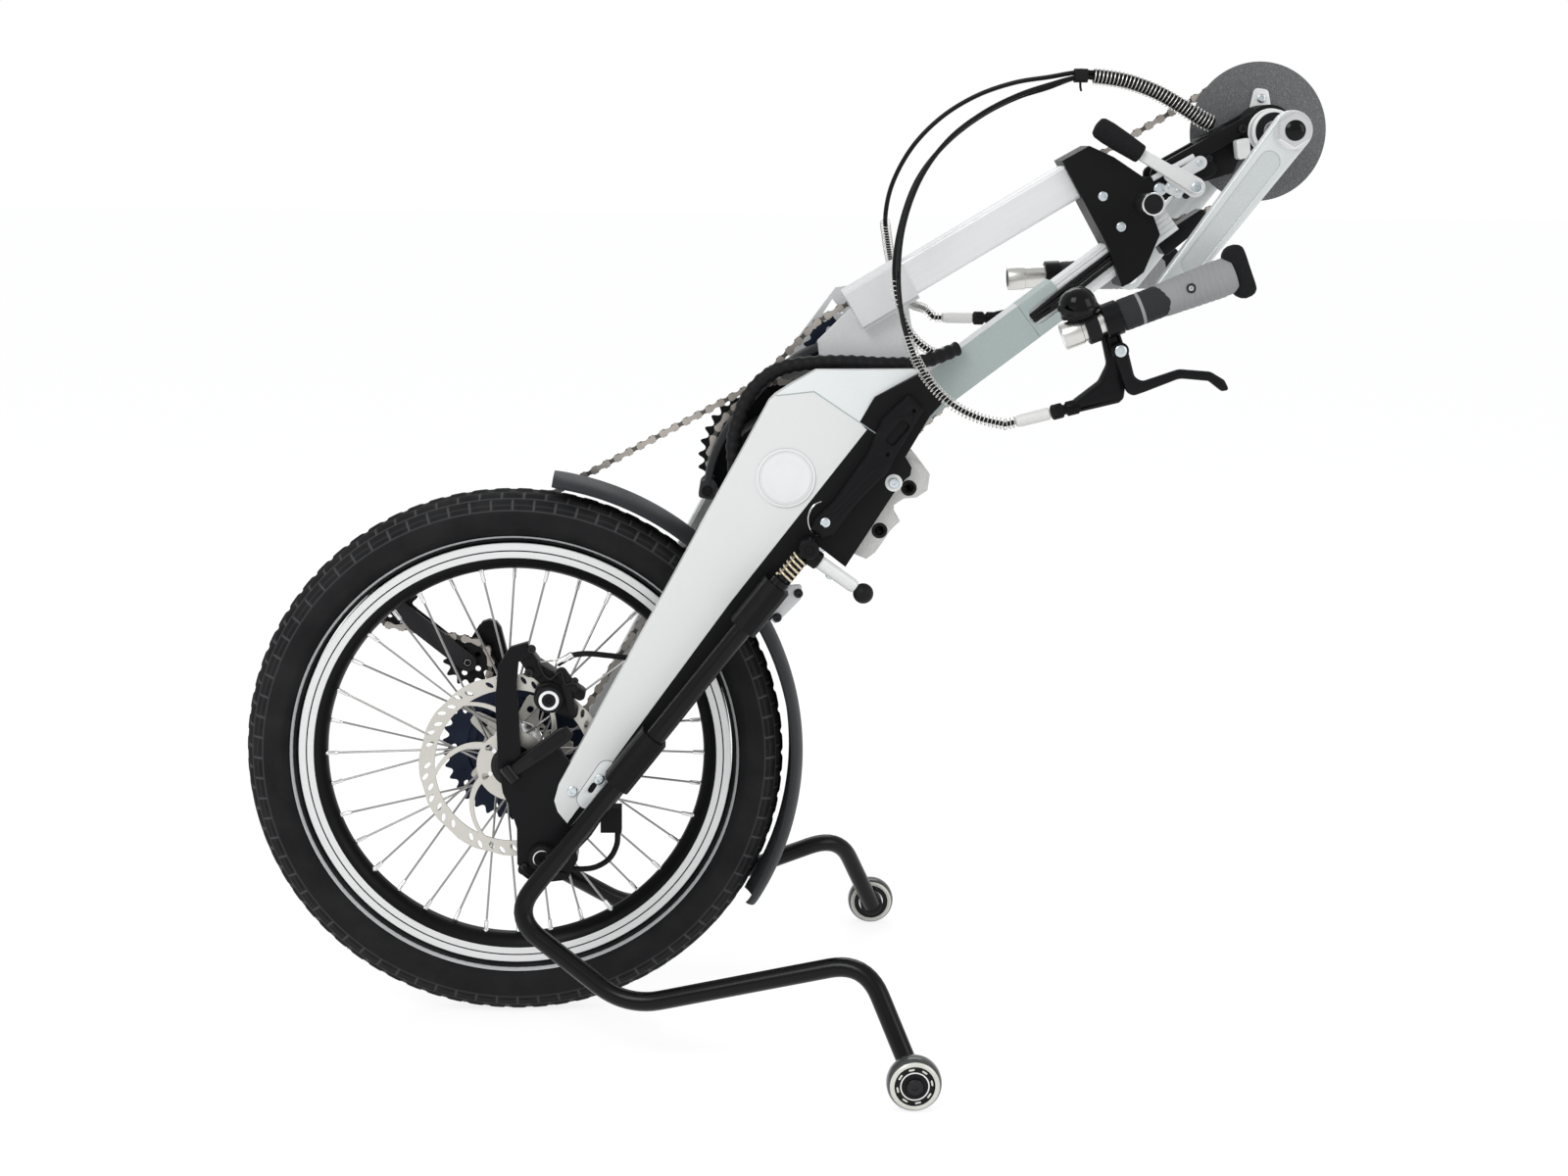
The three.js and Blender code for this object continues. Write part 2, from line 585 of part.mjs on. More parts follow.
// The stand tube's middle line in space
function standLine(side) {
  const place = ([x, z], lateral) => new THREE.Vector3(x, side * lateral, z);
  const castorZ = castor.radius * Math.cos(Math.PI / castor.sides) - axleHeight;
  return [
    place(stand.top, stand.lateral), place(stand.foot, stand.lateral), place(stand.heel, stand.heelLateral),
    place(stand.knee, stand.kneeLateral), place([stand.footX, castorZ], stand.endLateral),
  ];
}

function wheel() {
  const height = tyreRadius - rimRadius - fit;
  const outside = tyreShares.map(([s, t]) => [rimRadius + fit + s * height, t * tyreHalfWidth]);
  const inside = tyreBoreShares.map(([s, t]) => [
    rimRadius + fit + s * (height - tyreWall), t * (tyreHalfWidth - tyreWall),
  ]);
  const mirrored = (points) => points.map(([radius, y]) => [radius, -y]).reverse();
  const section = [...outside, ...mirrored(outside), ...mirrored(inside).reverse(), ...inside.reverse()];
  add('tyre', turned(section, [0, 0], tyreSides), 'tyre');

  const rimPlace = ([s, t]) => [rimBore + s * rimDepth, t * rimHalfWidth];
  const half = rimShares.map(rimPlace);
  const hoop = turned([...half, ...mirrored(half)], [0, 0], tyreSides);
  const spokes = Array.from({ length: spokeCount }, (_, i) => {
    const angle = 2 * Math.PI * i / spokeCount;
    const turn = i % 4 < 2 ? 1 : -1;
    const [flangeY, rimY] = i % 2 ? [hub.farFlange, spokeSpread] : [-hub.nearFlange, -spokeSpread];
    const [x, z] = polar(hub.flange + fit + spokeThickness / 2, angle + turn * spokeLean);
    const [rimX, rimZ] = polar(rimBore + spokeThickness, angle);
    const layer = turn * spokeOffset;
    return rod([x, flangeY + layer, z], [rimX, rimY + layer, rimZ], spokeThickness / 2, 3);
  });
  add('rim', join(hoop, ...spokes), 'rim');

  const { flangeThickness } = hub;
  const barrel = turned([
    [hub.bore, -hub.halfWidth - hub.stubLength], [hub.stub, -hub.halfWidth - hub.stubLength],
    [hub.stub, -hub.halfWidth], [hub.locknut, -hub.halfWidth], [hub.locknut, fit - rotor.place],
    [hub.rotorSeat, fit - rotor.place], [hub.rotorSeat, -hub.nearFlange - flangeThickness],
    [hub.flange, -hub.nearFlange - flangeThickness / 2], [hub.flange, -hub.nearFlange + flangeThickness / 2],
    [hub.barrel, -hub.nearFlange + flangeThickness], [hub.barrel, hub.farFlange - flangeThickness],
    [hub.flange, hub.farFlange - flangeThickness / 2], [hub.flange, hub.farFlange + flangeThickness / 2],
    [hub.freehub, hub.farFlange + flangeThickness / 2], [hub.freehub, cassette.end],
    [hub.locknut, cassette.end], [hub.locknut, hub.halfWidth], [hub.stub, hub.halfWidth],
    [hub.stub, hub.halfWidth + hub.stubLength], [hub.bore, hub.halfWidth + hub.stubLength],
  ], [0, 0], 16);
  add('wheel_hub', barrel, 'chrome');

  const [rotorA, rotorB] = [-rotor.place - rotor.thickness, -rotor.place];
  const arms = Array.from({ length: rotor.arms }, (_, i) => {
    const angle = 2 * Math.PI * i / rotor.arms;
    const bow = angle + Math.PI / rotor.arms;
    const [from, to] = [polar(rotor.carrier - overrun, angle), polar(rotorBore + overrun, bow)];
    return plate(strip(from, to, rotor.armWidth), rotorA, rotorB);
  });
  const ring = cut(
    round([0, 0], rotor.radius, rotorA, rotorB, 22),
    round([0, 0], rotorBore, rotorA - overrun, rotorB + overrun, 22));
  const disc = join(ring, round([0, 0], rotor.carrier, rotorA, rotorB), ...arms);
  add('rotor', cut(disc, round([0, 0], hub.locknut + fit, rotorA - overrun, rotorB + overrun)), 'steel');

  const { start, end, largest, smallest } = cassette;
  const clear = chain.halfWidth + 2 * fit;
  const [stepA, stepB] = [chain.lowerPlane - clear, chain.lowerPlane + clear];
  const above = chainOnCassette + chain.half + 3 * fit;
  const seat = toothRadius(chainOnCassette);
  const levels = 3;
  const cogs = Array.from({ length: levels }, (_, i) => {
    const radius = largest + (above - largest) * i / (levels - 1);
    const edge = (n) => start + (stepA - start) * n / levels;
    return [[radius, edge(i)], [radius, edge(i + 1)]];
  }).flat();
  add('cassette', turned([
    [hub.freehub + fit, start], ...cogs, [seat, stepA], [seat, stepB],
    [smallest, stepB], [smallest, end], [hub.freehub + fit, end],
  ], [0, 0], 18), 'cogs');
}

function skewerAndLever() {
  const nut = round([0, 0], skewer.nutRadius, dropoutEnd + fit, dropoutEnd + fit + skewer.nutLength, 6);
  add('skewer', join(round([0, 0], skewer.radius, -dropoutEnd, dropoutEnd + overrun, 10), nut), 'steel');
  const { barrel, barrelHalf, thickness, tip, width } = quickRelease;
  const pivotY = -dropoutEnd - fit - barrel;
  const [x, z] = along([0, 0], tip, barrelHalf / Math.hypot(...tip));
  const lever = join(
    rod([z, pivotY, -x], [-z, pivotY, x], barrel),
    plate(strip([0, 0], tip, width), pivotY - thickness, pivotY),
    round(tip, width / 2, pivotY - thickness, pivotY, 10));
  add('quick_release_lever', lever, 'blackSteel');
}

function legs() {
  const railOutline = spread(railShares, rail);
  for (const [word, side] of sides) {
    const at = (lateral) => side * lateral;
    const line = standLine(side);
    const [top, foot] = line;
    const bore = tube([top.clone().multiplyScalar(2).sub(foot), foot], stand.radius + fit, 10);

    const inside = grown(coverOutline, -cover.wall);
    const hollow = plate(inside, at(coverOuter - cover.depth - overrun), at(coverOuter - cover.wall));
    const shellOutside = plate(coverOutline, at(coverOuter - cover.depth), at(coverOuter));
    const roomEnd = at(coverOuter - cover.depth - overrun);
    const dropoutRoom = plate(grown(dropoutOutline, fit), roomEnd, at(railInner));
    let panel = cut(shellOutside, hollow, dropoutRoom);
    const [badgeA, badgeB] = [at(coverOuter - cover.wall), at(coverOuter + badge.rise)];
    panel = join(panel, round(jackshaft.at, badge.radius, badgeA, badgeB, 20));
    if (side > 0) {
      const inner = chain.lowerPlane - chain.halfWidth;
      panel = join(panel,
        round(chainRoller.at, chainRoller.post, inner, coverOuter - cover.wall / 2),
        round(chainRoller.at, toothRadius(chainRoller.radius), inner, chain.lowerPlane + chain.halfWidth));
    }
    add(`leg_cover_${word}`, panel, 'silver');

    const coverRoom = plate(grown(coverOutline, fit), at(railInner - overrun), at(coverOuter + overrun));
    const guides = sleeveHeightShares.map(([low, high]) => {
      const [a, b] = [foot.clone().lerp(top, low), foot.clone().lerp(top, high)];
      const outer = stand.radius + sleeveWall;
      const block = plate(strip([a.x, a.z], [b.x, b.z], 2 * outer), at(coverOuter - fit), at(stand.lateral));
      return join(block, rod(a.toArray(), b.toArray(), outer));
    });
    let beamRail = cut(plate(railOutline, at(railInner), at(coverOuter)), coverRoom);
    beamRail = cut(join(beamRail, ...guides), bore, coverRoom);
    if (side < 0) {
      const boxOutline = spread([[0, 0], [1, 0], [1, 1], [0, 1]], junction);
      const box = plate(boxOutline, at(junction.inner), at(railInner + overrun));
      const room = plate(grown(dropoutOutline, fit), at(0), at(railInner));
      const lockPin = round(lock.pivot, lock.pin, at(coverOuter - overrun), at(lock.outer));
      const [boreA, boreB] = [at(railInner - overrun), at(coverOuter + overrun)];
      const leverBore = round(dockLever.pivot, dockLever.pin + fit, boreA, boreB);
      beamRail = cut(join(beamRail, cut(box, room), lockPin), leverBore);
    }
    add(`leg_rail_${word}`, beamRail, 'black');

    let plateEnd = plate(dropoutOutline, at(hubSide), at(dropoutEnd));
    if (side < 0) {
      plateEnd = join(plateEnd, plate(spread(caliperArmShares, caliperArm), at(hubSide), at(dropoutEnd)));
      const [roomA, roomB] = [at(hubSide - overrun), at(dropoutEnd + overrun)];
      const stemRoom = round(lowerCaliper.knob, caliper.stem + fit, roomA, roomB);
      plateEnd = cut(plateEnd, stemRoom);
    } else {
      const [hangerA, hangerB] = [at(hubSide), at(dropoutEnd)];
      plateEnd = join(plateEnd, link([0, 0], hanger.at, hanger.radius, hanger.radius, hangerA, hangerB));
    }
    plateEnd = cut(plateEnd, round([0, 0], hub.stub + fit, at(hubSide - overrun), at(dropoutEnd + overrun)));
    add(`dropout_${word}`, plateEnd, 'black');
  }
}

function standAndCastors() {
  for (const [word, side] of sides) {
    const line = standLine(side);
    const end = line[line.length - 1];
    const boltEnd = side * (castor.inner + castor.width + fit);
    const place = [end.x, end.z];
    const tip = join(
      tube(bent(line, stand.bend, 3), stand.radius, 10),
      round(place, stand.plateRadius, side * (castor.inner - fit), side * stand.endLateral, 16),
      round(place, castor.bolt, side * (castor.inner - overrun), boltEnd),
      round(place, castor.boltHead, boltEnd, boltEnd + side * overrun, 6));
    add(`stand_tube_${word}`, tip, 'blackTube');
    const outer = castor.inner + castor.width;
    const [a, b] = [castor.inner, outer].map((y) => y * side);
    const edge = castor.width / 4 * side;
    add(`castor_${word}`, turned([
      [castor.bore, a], [castor.radius - castor.width / 8, a], [castor.radius, a + edge],
      [castor.radius, b - edge], [castor.radius - castor.width / 8, b], [castor.bore, b],
    ], place, castor.sides), 'clear');
  }
}

function standLock() {
  const at = (lateral) => -lateral;
  const y = -stand.lateral;
  const body = join(
    round(lock.pivot, lock.radius, at(lock.inner), at(lock.outer)),
    rod([lock.pivot[0], y, lock.pivot[1]], [lock.rodEnd[0], y, lock.rodEnd[1]], lock.rod),
    ball([lock.ball[0], y, lock.ball[1]], lock.ballRadius));
  const bore = round(lock.pivot, lock.pin + fit, at(lock.inner - overrun), at(lock.outer + overrun));
  add('stand_lock', cut(body, bore), 'blackSteel');
  const line = standLine(-1);
  const start = line[0].clone();
  const aim = new THREE.Vector3(lock.pivot[0], y, lock.pivot[1]);
  const direction = aim.clone().sub(start).normalize();
  const from = start.clone().addScaledVector(direction, 2 * lockCurl.wire + fit);
  const to = aim.clone().addScaledVector(direction, -(lock.radius + 2 * lockCurl.wire + fit));
  add('lock_spring', curl('lock_spring', [from, to], lockCurl), 'brass');
}

function calipers() {
  const slotA = -rotor.place - rotor.thickness - caliper.slot;
  const slotB = -rotor.place + caliper.slot;
  const slot = round([0, 0], rotor.radius + overrun, slotA, slotB, 28);
  const knobOf = ({ knob }, from) => join(
    round(knob, caliper.stem, from, -caliper.knobEnd + overrun),
    round(knob, caliper.knobRadius, -dropoutEnd - fit, -caliper.knobEnd));
  const cable = (route) => tube(smooth(vectors(route), 7), caliper.cable);
  const upper = join(
    cut(plate(spread(upperCaliperShares, upperCaliper), -dropoutEnd, -caliper.inner), slot),
    knobOf(upperCaliper, -dropoutEnd + overrun), cable(upperCaliperCable));
  add('caliper_upper', upper, 'black');
  const lower = join(
    cut(plate(spread(lowerCaliperShares, lowerCaliper), -caliper.outer, -caliper.inner), slot),
    knobOf(lowerCaliper, -caliper.outer + overrun), cable(lowerCaliperCable));
  add('caliper_lower', lower, 'black');
}

function frame() {
  const rodEnd = railInner - fit;
  const rods = spread(crownRodShares, crown).map((place) => round(place, crown.rod, -rodEnd, rodEnd));
  const gussetOuter = gusset.inner + gusset.thickness;
  const gussetPlate = cut(
    plate(spread(gussetShares, gusset), gusset.inner, gussetOuter),
    ...gussetPocketShares.map((pocket) => (
      plate(spread(pocket, gusset), gusset.inner - overrun, gussetOuter + overrun))));
  const [spacerPlace] = spread([gussetSpacerShare], gusset);
  const sleeve = slanted(upperTube, upperSleeve.side, upperSleeve.start, upperSleeve.end);
  const corner = upperSleeve.side / 2;
  const chamfers = [-1, 1].flatMap((up) => [-1, 1].map((across) => {
    const middle = (distance) => {
      const [x, z] = polar(distance, upperTube.angle, upperTube.at);
      const [sine, cosine] = [Math.sin(upperTube.angle), Math.cos(upperTube.angle)];
      return [x - up * corner * sine, across * corner, z + up * corner * cosine];
    };
    return rod(middle(upperSleeve.start - overrun), middle(upperSleeve.end + overrun), upperSleeve.chamfer, 4);
  }));
  const upward = (distance, rise) => {
    const [x, z] = polar(distance, lowerTube.angle, lowerTube.at);
    return [x - rise * Math.sin(lowerTube.angle), z + rise * Math.cos(lowerTube.angle)];
  };
  const lugTop = lowerSleeve.side / 2 + lug.height;
  const lugOutline = [
    upward(lug.at - lug.reach, lowerSleeve.side / 2 - fit), upward(lug.at, lowerSleeve.side / 2 - fit),
    upward(lug.at - lug.height, lugTop), upward(lug.at - lug.reach + lug.height, lugTop),
  ];
  const frameBody = join(
    plate(crownOutline, -crown.half, crown.half), ...rods,
    plate(spread(webShares, web), -web.half, web.half),
    round(idler.at, idler.axle, chainGuard.outer + fit, gusset.inner + overrun / 2),
    gussetPlate,
    round(spacerPlace, gusset.spacer, upperSleeve.side / 2 - overrun, gusset.inner + overrun / 2),
    cut(sleeve, ...chamfers),
    slanted(lowerTube, lowerSleeve.side, lowerSleeve.start, lowerSleeve.end),
    plate(lugOutline, -lug.width / 2, lug.width / 2));
  add('front_frame', cut(frameBody,
    slanted(upperTube, upperTube.side + 2 * fit, upperTube.start - fit, upperSleeve.end + overrun),
    slanted(lowerTube, lowerTube.side + 2 * fit, lowerTube.start - fit, lowerSleeve.end + overrun),
  ), 'castGrey');

  add('upper_tube', cut(
    slanted(upperTube, upperTube.side, upperTube.start, upperTube.end),
    slanted(upperTube, upperTube.side - 2 * upperTube.wall, upperTube.start - overrun, upperTube.end - overrun),
  ), 'silver');

  const slotStart = lowerSleeve.end + lowerTube.slot;
  const slotA = polar(slotStart, lowerTube.angle, lowerTube.at);
  const slotB = polar(lowerTube.end - lowerTube.slot, lowerTube.angle, lowerTube.at);
  const near = -lowerTube.side / 2;
  add('lower_tube', cut(
    slanted(lowerTube, lowerTube.side, lowerTube.start, lowerTube.end),
    plate(strip(slotA, slotB, lowerTube.slot), near - overrun, near + lowerTube.slotDepth)), 'silver');
}

function mudguardPiece() {
  const steps = 16;
  const arc = (radius, reverse) => Array.from({ length: steps + 1 }, (_, i) => {
    const share = (reverse ? steps - i : i) / steps;
    return polar(radius, mudguard.start + (mudguard.end - mudguard.start) * share);
  });
  const sheet = plate([...arc(mudguardRadius), ...arc(mudguardRadius + mudguard.thickness, true)],
    -mudguard.halfWidth, mudguard.halfWidth);
  const end = railInner - fit;
  const stayReach = mudguardRadius + mudguard.thickness + mudguard.stay - 2 * fit;
  const stay = round(polar(stayReach, mudguard.stayAngle), mudguard.stay, -end, end);
  add('mudguard', join(sheet, stay), 'guardGrey');
}

// The loops of both chains, drive wheel first
const upperWheels = [
  { at: crank.at, radius: ringRadius, turn: 1 }, { at: idler.at, radius: idler.radius, turn: 1 },
  { at: jackshaft.at, radius: jackshaft.inRadius, turn: 1 },
  { at: chainSlide.at, radius: chainSlide.radius, turn: -1 },
];
const lowerWheels = [
  { at: jackshaft.at, radius: jackshaft.outRadius, turn: 1 },
  { at: tensionPulley.at, radius: tensionPulley.radius, turn: 1 },
  { at: guidePulley.at, radius: guidePulley.radius, turn: -1 },
  { at: [0, 0], radius: chainOnCassette, turn: 1 },
  { at: chainRoller.at, radius: chainRoller.radius, turn: -1 },
];

function sprocket(at, radius, plane, bore) {
  return cut(
    round(at, toothRadius(radius), plane - chain.disc, plane + chain.disc, 18),
    round(at, bore, plane - 2 * overrun, plane + 2 * overrun));
}

function drive() {
  add('upper_chain', chainLoop(upperWheels, chain.upperPlane), 'steel');
  add('lower_chain', chainLoop(lowerWheels, chain.lowerPlane), 'steel');

  const idlerBore = idler.axle + fit;
  const [idlerA, idlerB] = [chain.upperPlane - idler.hubHalf, chain.upperPlane + idler.hubHalf];
  add('idler', cut(
    join(
      sprocket(idler.at, idler.radius, chain.upperPlane, idlerBore),
      round(idler.at, idler.hub, idlerA, idlerB)),
    round(idler.at, idlerBore, idlerA - overrun, idlerB + overrun)), 'blackSteel');

  const shaftBore = jackshaft.axle + fit;
  add('jackshaft', cut(
    join(
      sprocket(jackshaft.at, jackshaft.inRadius, chain.upperPlane, shaftBore),
      sprocket(jackshaft.at, jackshaft.outRadius, chain.lowerPlane, shaftBore),
      round(jackshaft.at, jackshaft.hub, jackshaft.start, jackshaft.end)),
    round(jackshaft.at, shaftBore, jackshaft.start - overrun, jackshaft.end + overrun)), 'blackSteel');

  const coverInside = coverOuter - cover.wall - fit;
  const unit = join(
    round(jackshaft.at, driveUnit.radius, -driveUnit.near, driveUnit.far, 24),
    round(jackshaft.at, driveUnit.boss, -coverInside, -driveUnit.near + overrun, 20),
    round(jackshaft.at, jackshaft.axle, driveUnit.far - overrun, coverInside),
    plate(strip(driveUnit.lugStart, driveUnit.lugEnd, driveUnit.lugWidth), -driveUnit.lugHalf, driveUnit.lugHalf));
  add('drive_unit', cut(unit,
    plate(grown(crownOutline, fit), -crown.half - overrun, crown.half + overrun),
    plate(grown(spread(webShares, web), fit), -web.half - fit, web.half + fit)), 'black');

  const route = smooth(chainGuardRoute.map(([x, z]) => new THREE.Vector3(x, 0, z)), 16);
  const path = new ListedPath(route);
  const edge = (sign) => route.map((point, i) => {
    const tangent = path.getTangentAt(i / (route.length - 1));
    return [point.x - sign * tangent.z * chainGuard.half, point.z + sign * tangent.x * chainGuard.half];
  });
  const arc = plate([...edge(-1), ...edge(1).reverse()], chainGuard.inner, chainGuard.outer);
  const block = round([route[0].x, route[0].z], chainGuard.block, chainGuard.inner, chainGuard.outer);
  add('chain_guard', join(arc, block), 'dark');

  for (const [name, { at, radius }] of [['guide_pulley', guidePulley], ['tension_pulley', tensionPulley]]) {
    const half = chain.halfWidth - cage.gap / 2;
    add(name, cut(
      round(at, toothRadius(radius), chain.lowerPlane - half, chain.lowerPlane + half, 18),
      round(at, guidePulley.axle + fit, chain.lowerPlane - 2 * half, chain.lowerPlane + 2 * half)), 'black');
  }
  const gap = chain.halfWidth + cage.gap;
  const plates = [[-gap - cage.thickness, -gap], [gap, gap + cage.thickness]].map(([a, b]) =>
    link(guidePulley.at, tensionPulley.at, cage.width, cage.width, chain.lowerPlane + a, chain.lowerPlane + b));
  const cageOuter = gap + cage.thickness;
  const acrossCage = (at, radius, half) => round(at, radius, chain.lowerPlane - half, chain.lowerPlane + half);
  add('derailleur_cage', cut(
    join(...plates, acrossCage(tensionPulley.at, guidePulley.axle, cageOuter)),
    acrossCage(guidePulley.at, guidePulley.axle + fit, 2 * cageOuter)), 'blackSteel');
  add('derailleur_body', join(
    link(hanger.at, changer.knuckle, hanger.radius - overrun, changer.knuckleRadius, changer.inner, changer.outer),
    link(changer.knuckle, guidePulley.at, changer.knuckleRadius, cage.width, changer.inner, changer.outer),
    round(guidePulley.at, guidePulley.axle, chain.lowerPlane - cageOuter, changer.outer)), 'black');
}

function docking() {
  const solidBeam = plate(spread(beamShares, beam), -beam.end, beam.end);
  const chainRoom = [-1, 1].map((side) => chain.upperPlane + side * (chain.halfWidth + overrun));
  const [, , shaftArc, slideArc] = chainArcs(upperWheels, 0);
  const passage = plate(strip(shaftArc[shaftArc.length - 1], slideArc[0], 4 * chain.half), ...chainRoom);
  const ringRoom = round(jackshaft.at, jackshaft.outRadius + 2 * chain.half + overrun,
    chainRoom[0], chain.lowerPlane + chain.halfWidth + 2 * overrun, 24);
  const boreEnd = beam.end + overrun;
  const bores = spread(beamBoreShares, beam).map((place) => round(place, beam.bore, -boreEnd, boreEnd));
  add('docking_beam', cut(solidBeam, passage, ringRoom, ...bores), 'castGrey');

  const at = (lateral) => -lateral;
  const lever = join(
    plate(spread(dockLeverShares, dockLever), at(dockLever.inner), at(dockLever.outer)),
    round(dockLever.pivot, dockLever.pin, at(railInner), at(dockLever.outer)));
  add('docking_lever', lever, 'black');
}

function tubeClamp() {
  const block = plate(spread(clampShares, clamp), -clamp.half, clamp.half);
  const ears = [[-clamp.half, -clamp.half + tilt.ear], [clamp.half - tilt.ear, clamp.half]].map(([a, b]) =>
    link(spread([clampEarShare], clamp)[0], tilt.at, tilt.earRoot, tilt.barrel, a, b));
  const slideEnd = chain.upperPlane + chain.halfWidth;
  const slide = round(chainSlide.at, toothRadius(chainSlide.radius), clamp.half - overrun, slideEnd);
  const knob = join(
    round(clamp.knob, clamp.knobRadius / 2, -clamp.knobEnd + overrun, -clamp.half + overrun),
    round(clamp.knob, clamp.knobRadius, -clamp.knobEnd, -clamp.knobEnd + clamp.knobRadius, 20));
  const half = clamp.half - tilt.ear;
  add('tube_clamp', cut(
    join(block, ...ears, slide, knob),
    round(tilt.at, tilt.barrel + 3 * fit, -half, half),
    slanted(upperTube, upperTube.side + 2 * fit, upperTube.start, upperTube.end + fit),
    slanted(lowerTube, lowerTube.side + 2 * fit, lowerTube.start, lowerTube.end + fit)), 'black');
}

function headPieces() {
  const [anchorX, anchorY, anchorZ] = cableAnchor.at;
  const arm = join(
    plate(spread(headShares, head), -head.half, head.half),
    round(tilt.at, tilt.barrel, -head.half, head.half),
    round(crank.at, head.eye, -head.half, head.half, 20),
    plate(strip(head.base[0], head.base[1], head.baseWidth), -head.baseOuter, -head.half + overrun),
    round(toggle.pivot, toggle.pin, -toggle.outer - overrun, -head.half + overrun),
    rod([anchorX, anchorY, anchorZ - cableAnchor.height], cableAnchor.at, cableAnchor.radius));
  add('head_arm', cut(arm,
    round(crank.at, shell.radius + fit, -head.half - overrun, head.half + overrun, 20),
    round(tilt.at, tilt.barrel + 3 * fit, -clamp.half - fit, -head.half)), 'black');

  const bore = round(crank.at, crank.axle + fit, -shell.near - overrun, shell.far + overrun);
  add('bearing_shell', cut(round(crank.at, shell.radius, -shell.near, shell.far, 20), bore), 'silver');
  const [discA, discB] = [shell.far + fit, shell.far + fit + guard.thickness];
  add('guard_disc', cut(
    round(crank.at, guard.radius, discA, discB, 28),
    round(crank.at, guard.bore, discA - overrun, discB + overrun)), 'guardGrey');

  const y = -(toggle.inner + toggle.outer) / 2;
  const lever = join(
    link(toggle.pivot, toggle.armEnd, toggle.root, toggle.arm, -toggle.outer, -toggle.inner),
    rod([toggle.armEnd[0], y, toggle.armEnd[1]], [toggle.grip[0], y, toggle.grip[1]], toggle.gripRadius));
  const leverBore = round(toggle.pivot, toggle.pin + fit, -toggle.outer - overrun, -toggle.inner + overrun);
  add('toggle_lever', cut(lever, leverBore), 'chrome');
}

const crankPin = [crank.at[0] + crankArm.toPin[0], crank.at[1] + crankArm.toPin[1]];

function crankPieces() {
  const nutStart = crank.armOuter + fit;
  const nuts = [-1, 1].map((side) =>
    round(crank.at, crank.nut, side * nutStart, side * (nutStart + crank.nutLength), 6));
  const axleEnd = crank.armOuter + overrun;
  add('crank_axle', join(round(crank.at, crank.axle, -axleEnd, axleEnd), ...nuts), 'chrome');
  for (const [word, side] of sides) {
    const [a, b] = [side * crank.armInner, side * crank.armOuter];
    add(`crank_arm_${word}`, cut(
      link(crank.at, crankPin, crankArm.eye, crankArm.tip, a, b),
      round(crank.at, crank.axle + fit, a - side * overrun, b + side * overrun),
      round(crankPin, handle.pin + fit, a - side * overrun, b + side * overrun, 16)), 'silver');
  }
  const hubStart = shell.far + guard.thickness + 2 * fit;
  add('chainring', cut(
    join(
      sprocket(crank.at, ringRadius, chain.upperPlane, crank.axle + fit),
      round(crank.at, chainring.hub, hubStart, chainring.hubEnd)),
    round(crank.at, crank.axle + fit, hubStart - overrun, chainring.hubEnd + overrun)), 'blackSteel');
}

// Place of a handle: turned up by its tilt, its lever side rolled outwards
function handlePlace(side, rolled) {
  const lean = side < 0 ? handle.nearTilt : handle.farTilt;
  const roll = side < 0 || !rolled ? 0 : handle.farRoll;
  return new THREE.Matrix4()
    .makeTranslation(crankPin[0], side * handle.lateral, crankPin[1])
    .multiply(new THREE.Matrix4().makeRotationY(-lean))
    .multiply(new THREE.Matrix4().makeRotationX(roll));
}

// A turned piece along the bar
function turnedAlong(profile, sidesCount) {
  const geometry = geometryOf(turned(profile, [0, 0], sidesCount));
  geometry.rotateY(-Math.PI / sidesCount);
  geometry.rotateZ(-Math.PI / 2);
  return solid(geometry);
}

const ringAlong = (from, to, outer, inner) =>
  turnedAlong([[inner, from], [outer, from], [outer, to], [inner, to]], barSides);

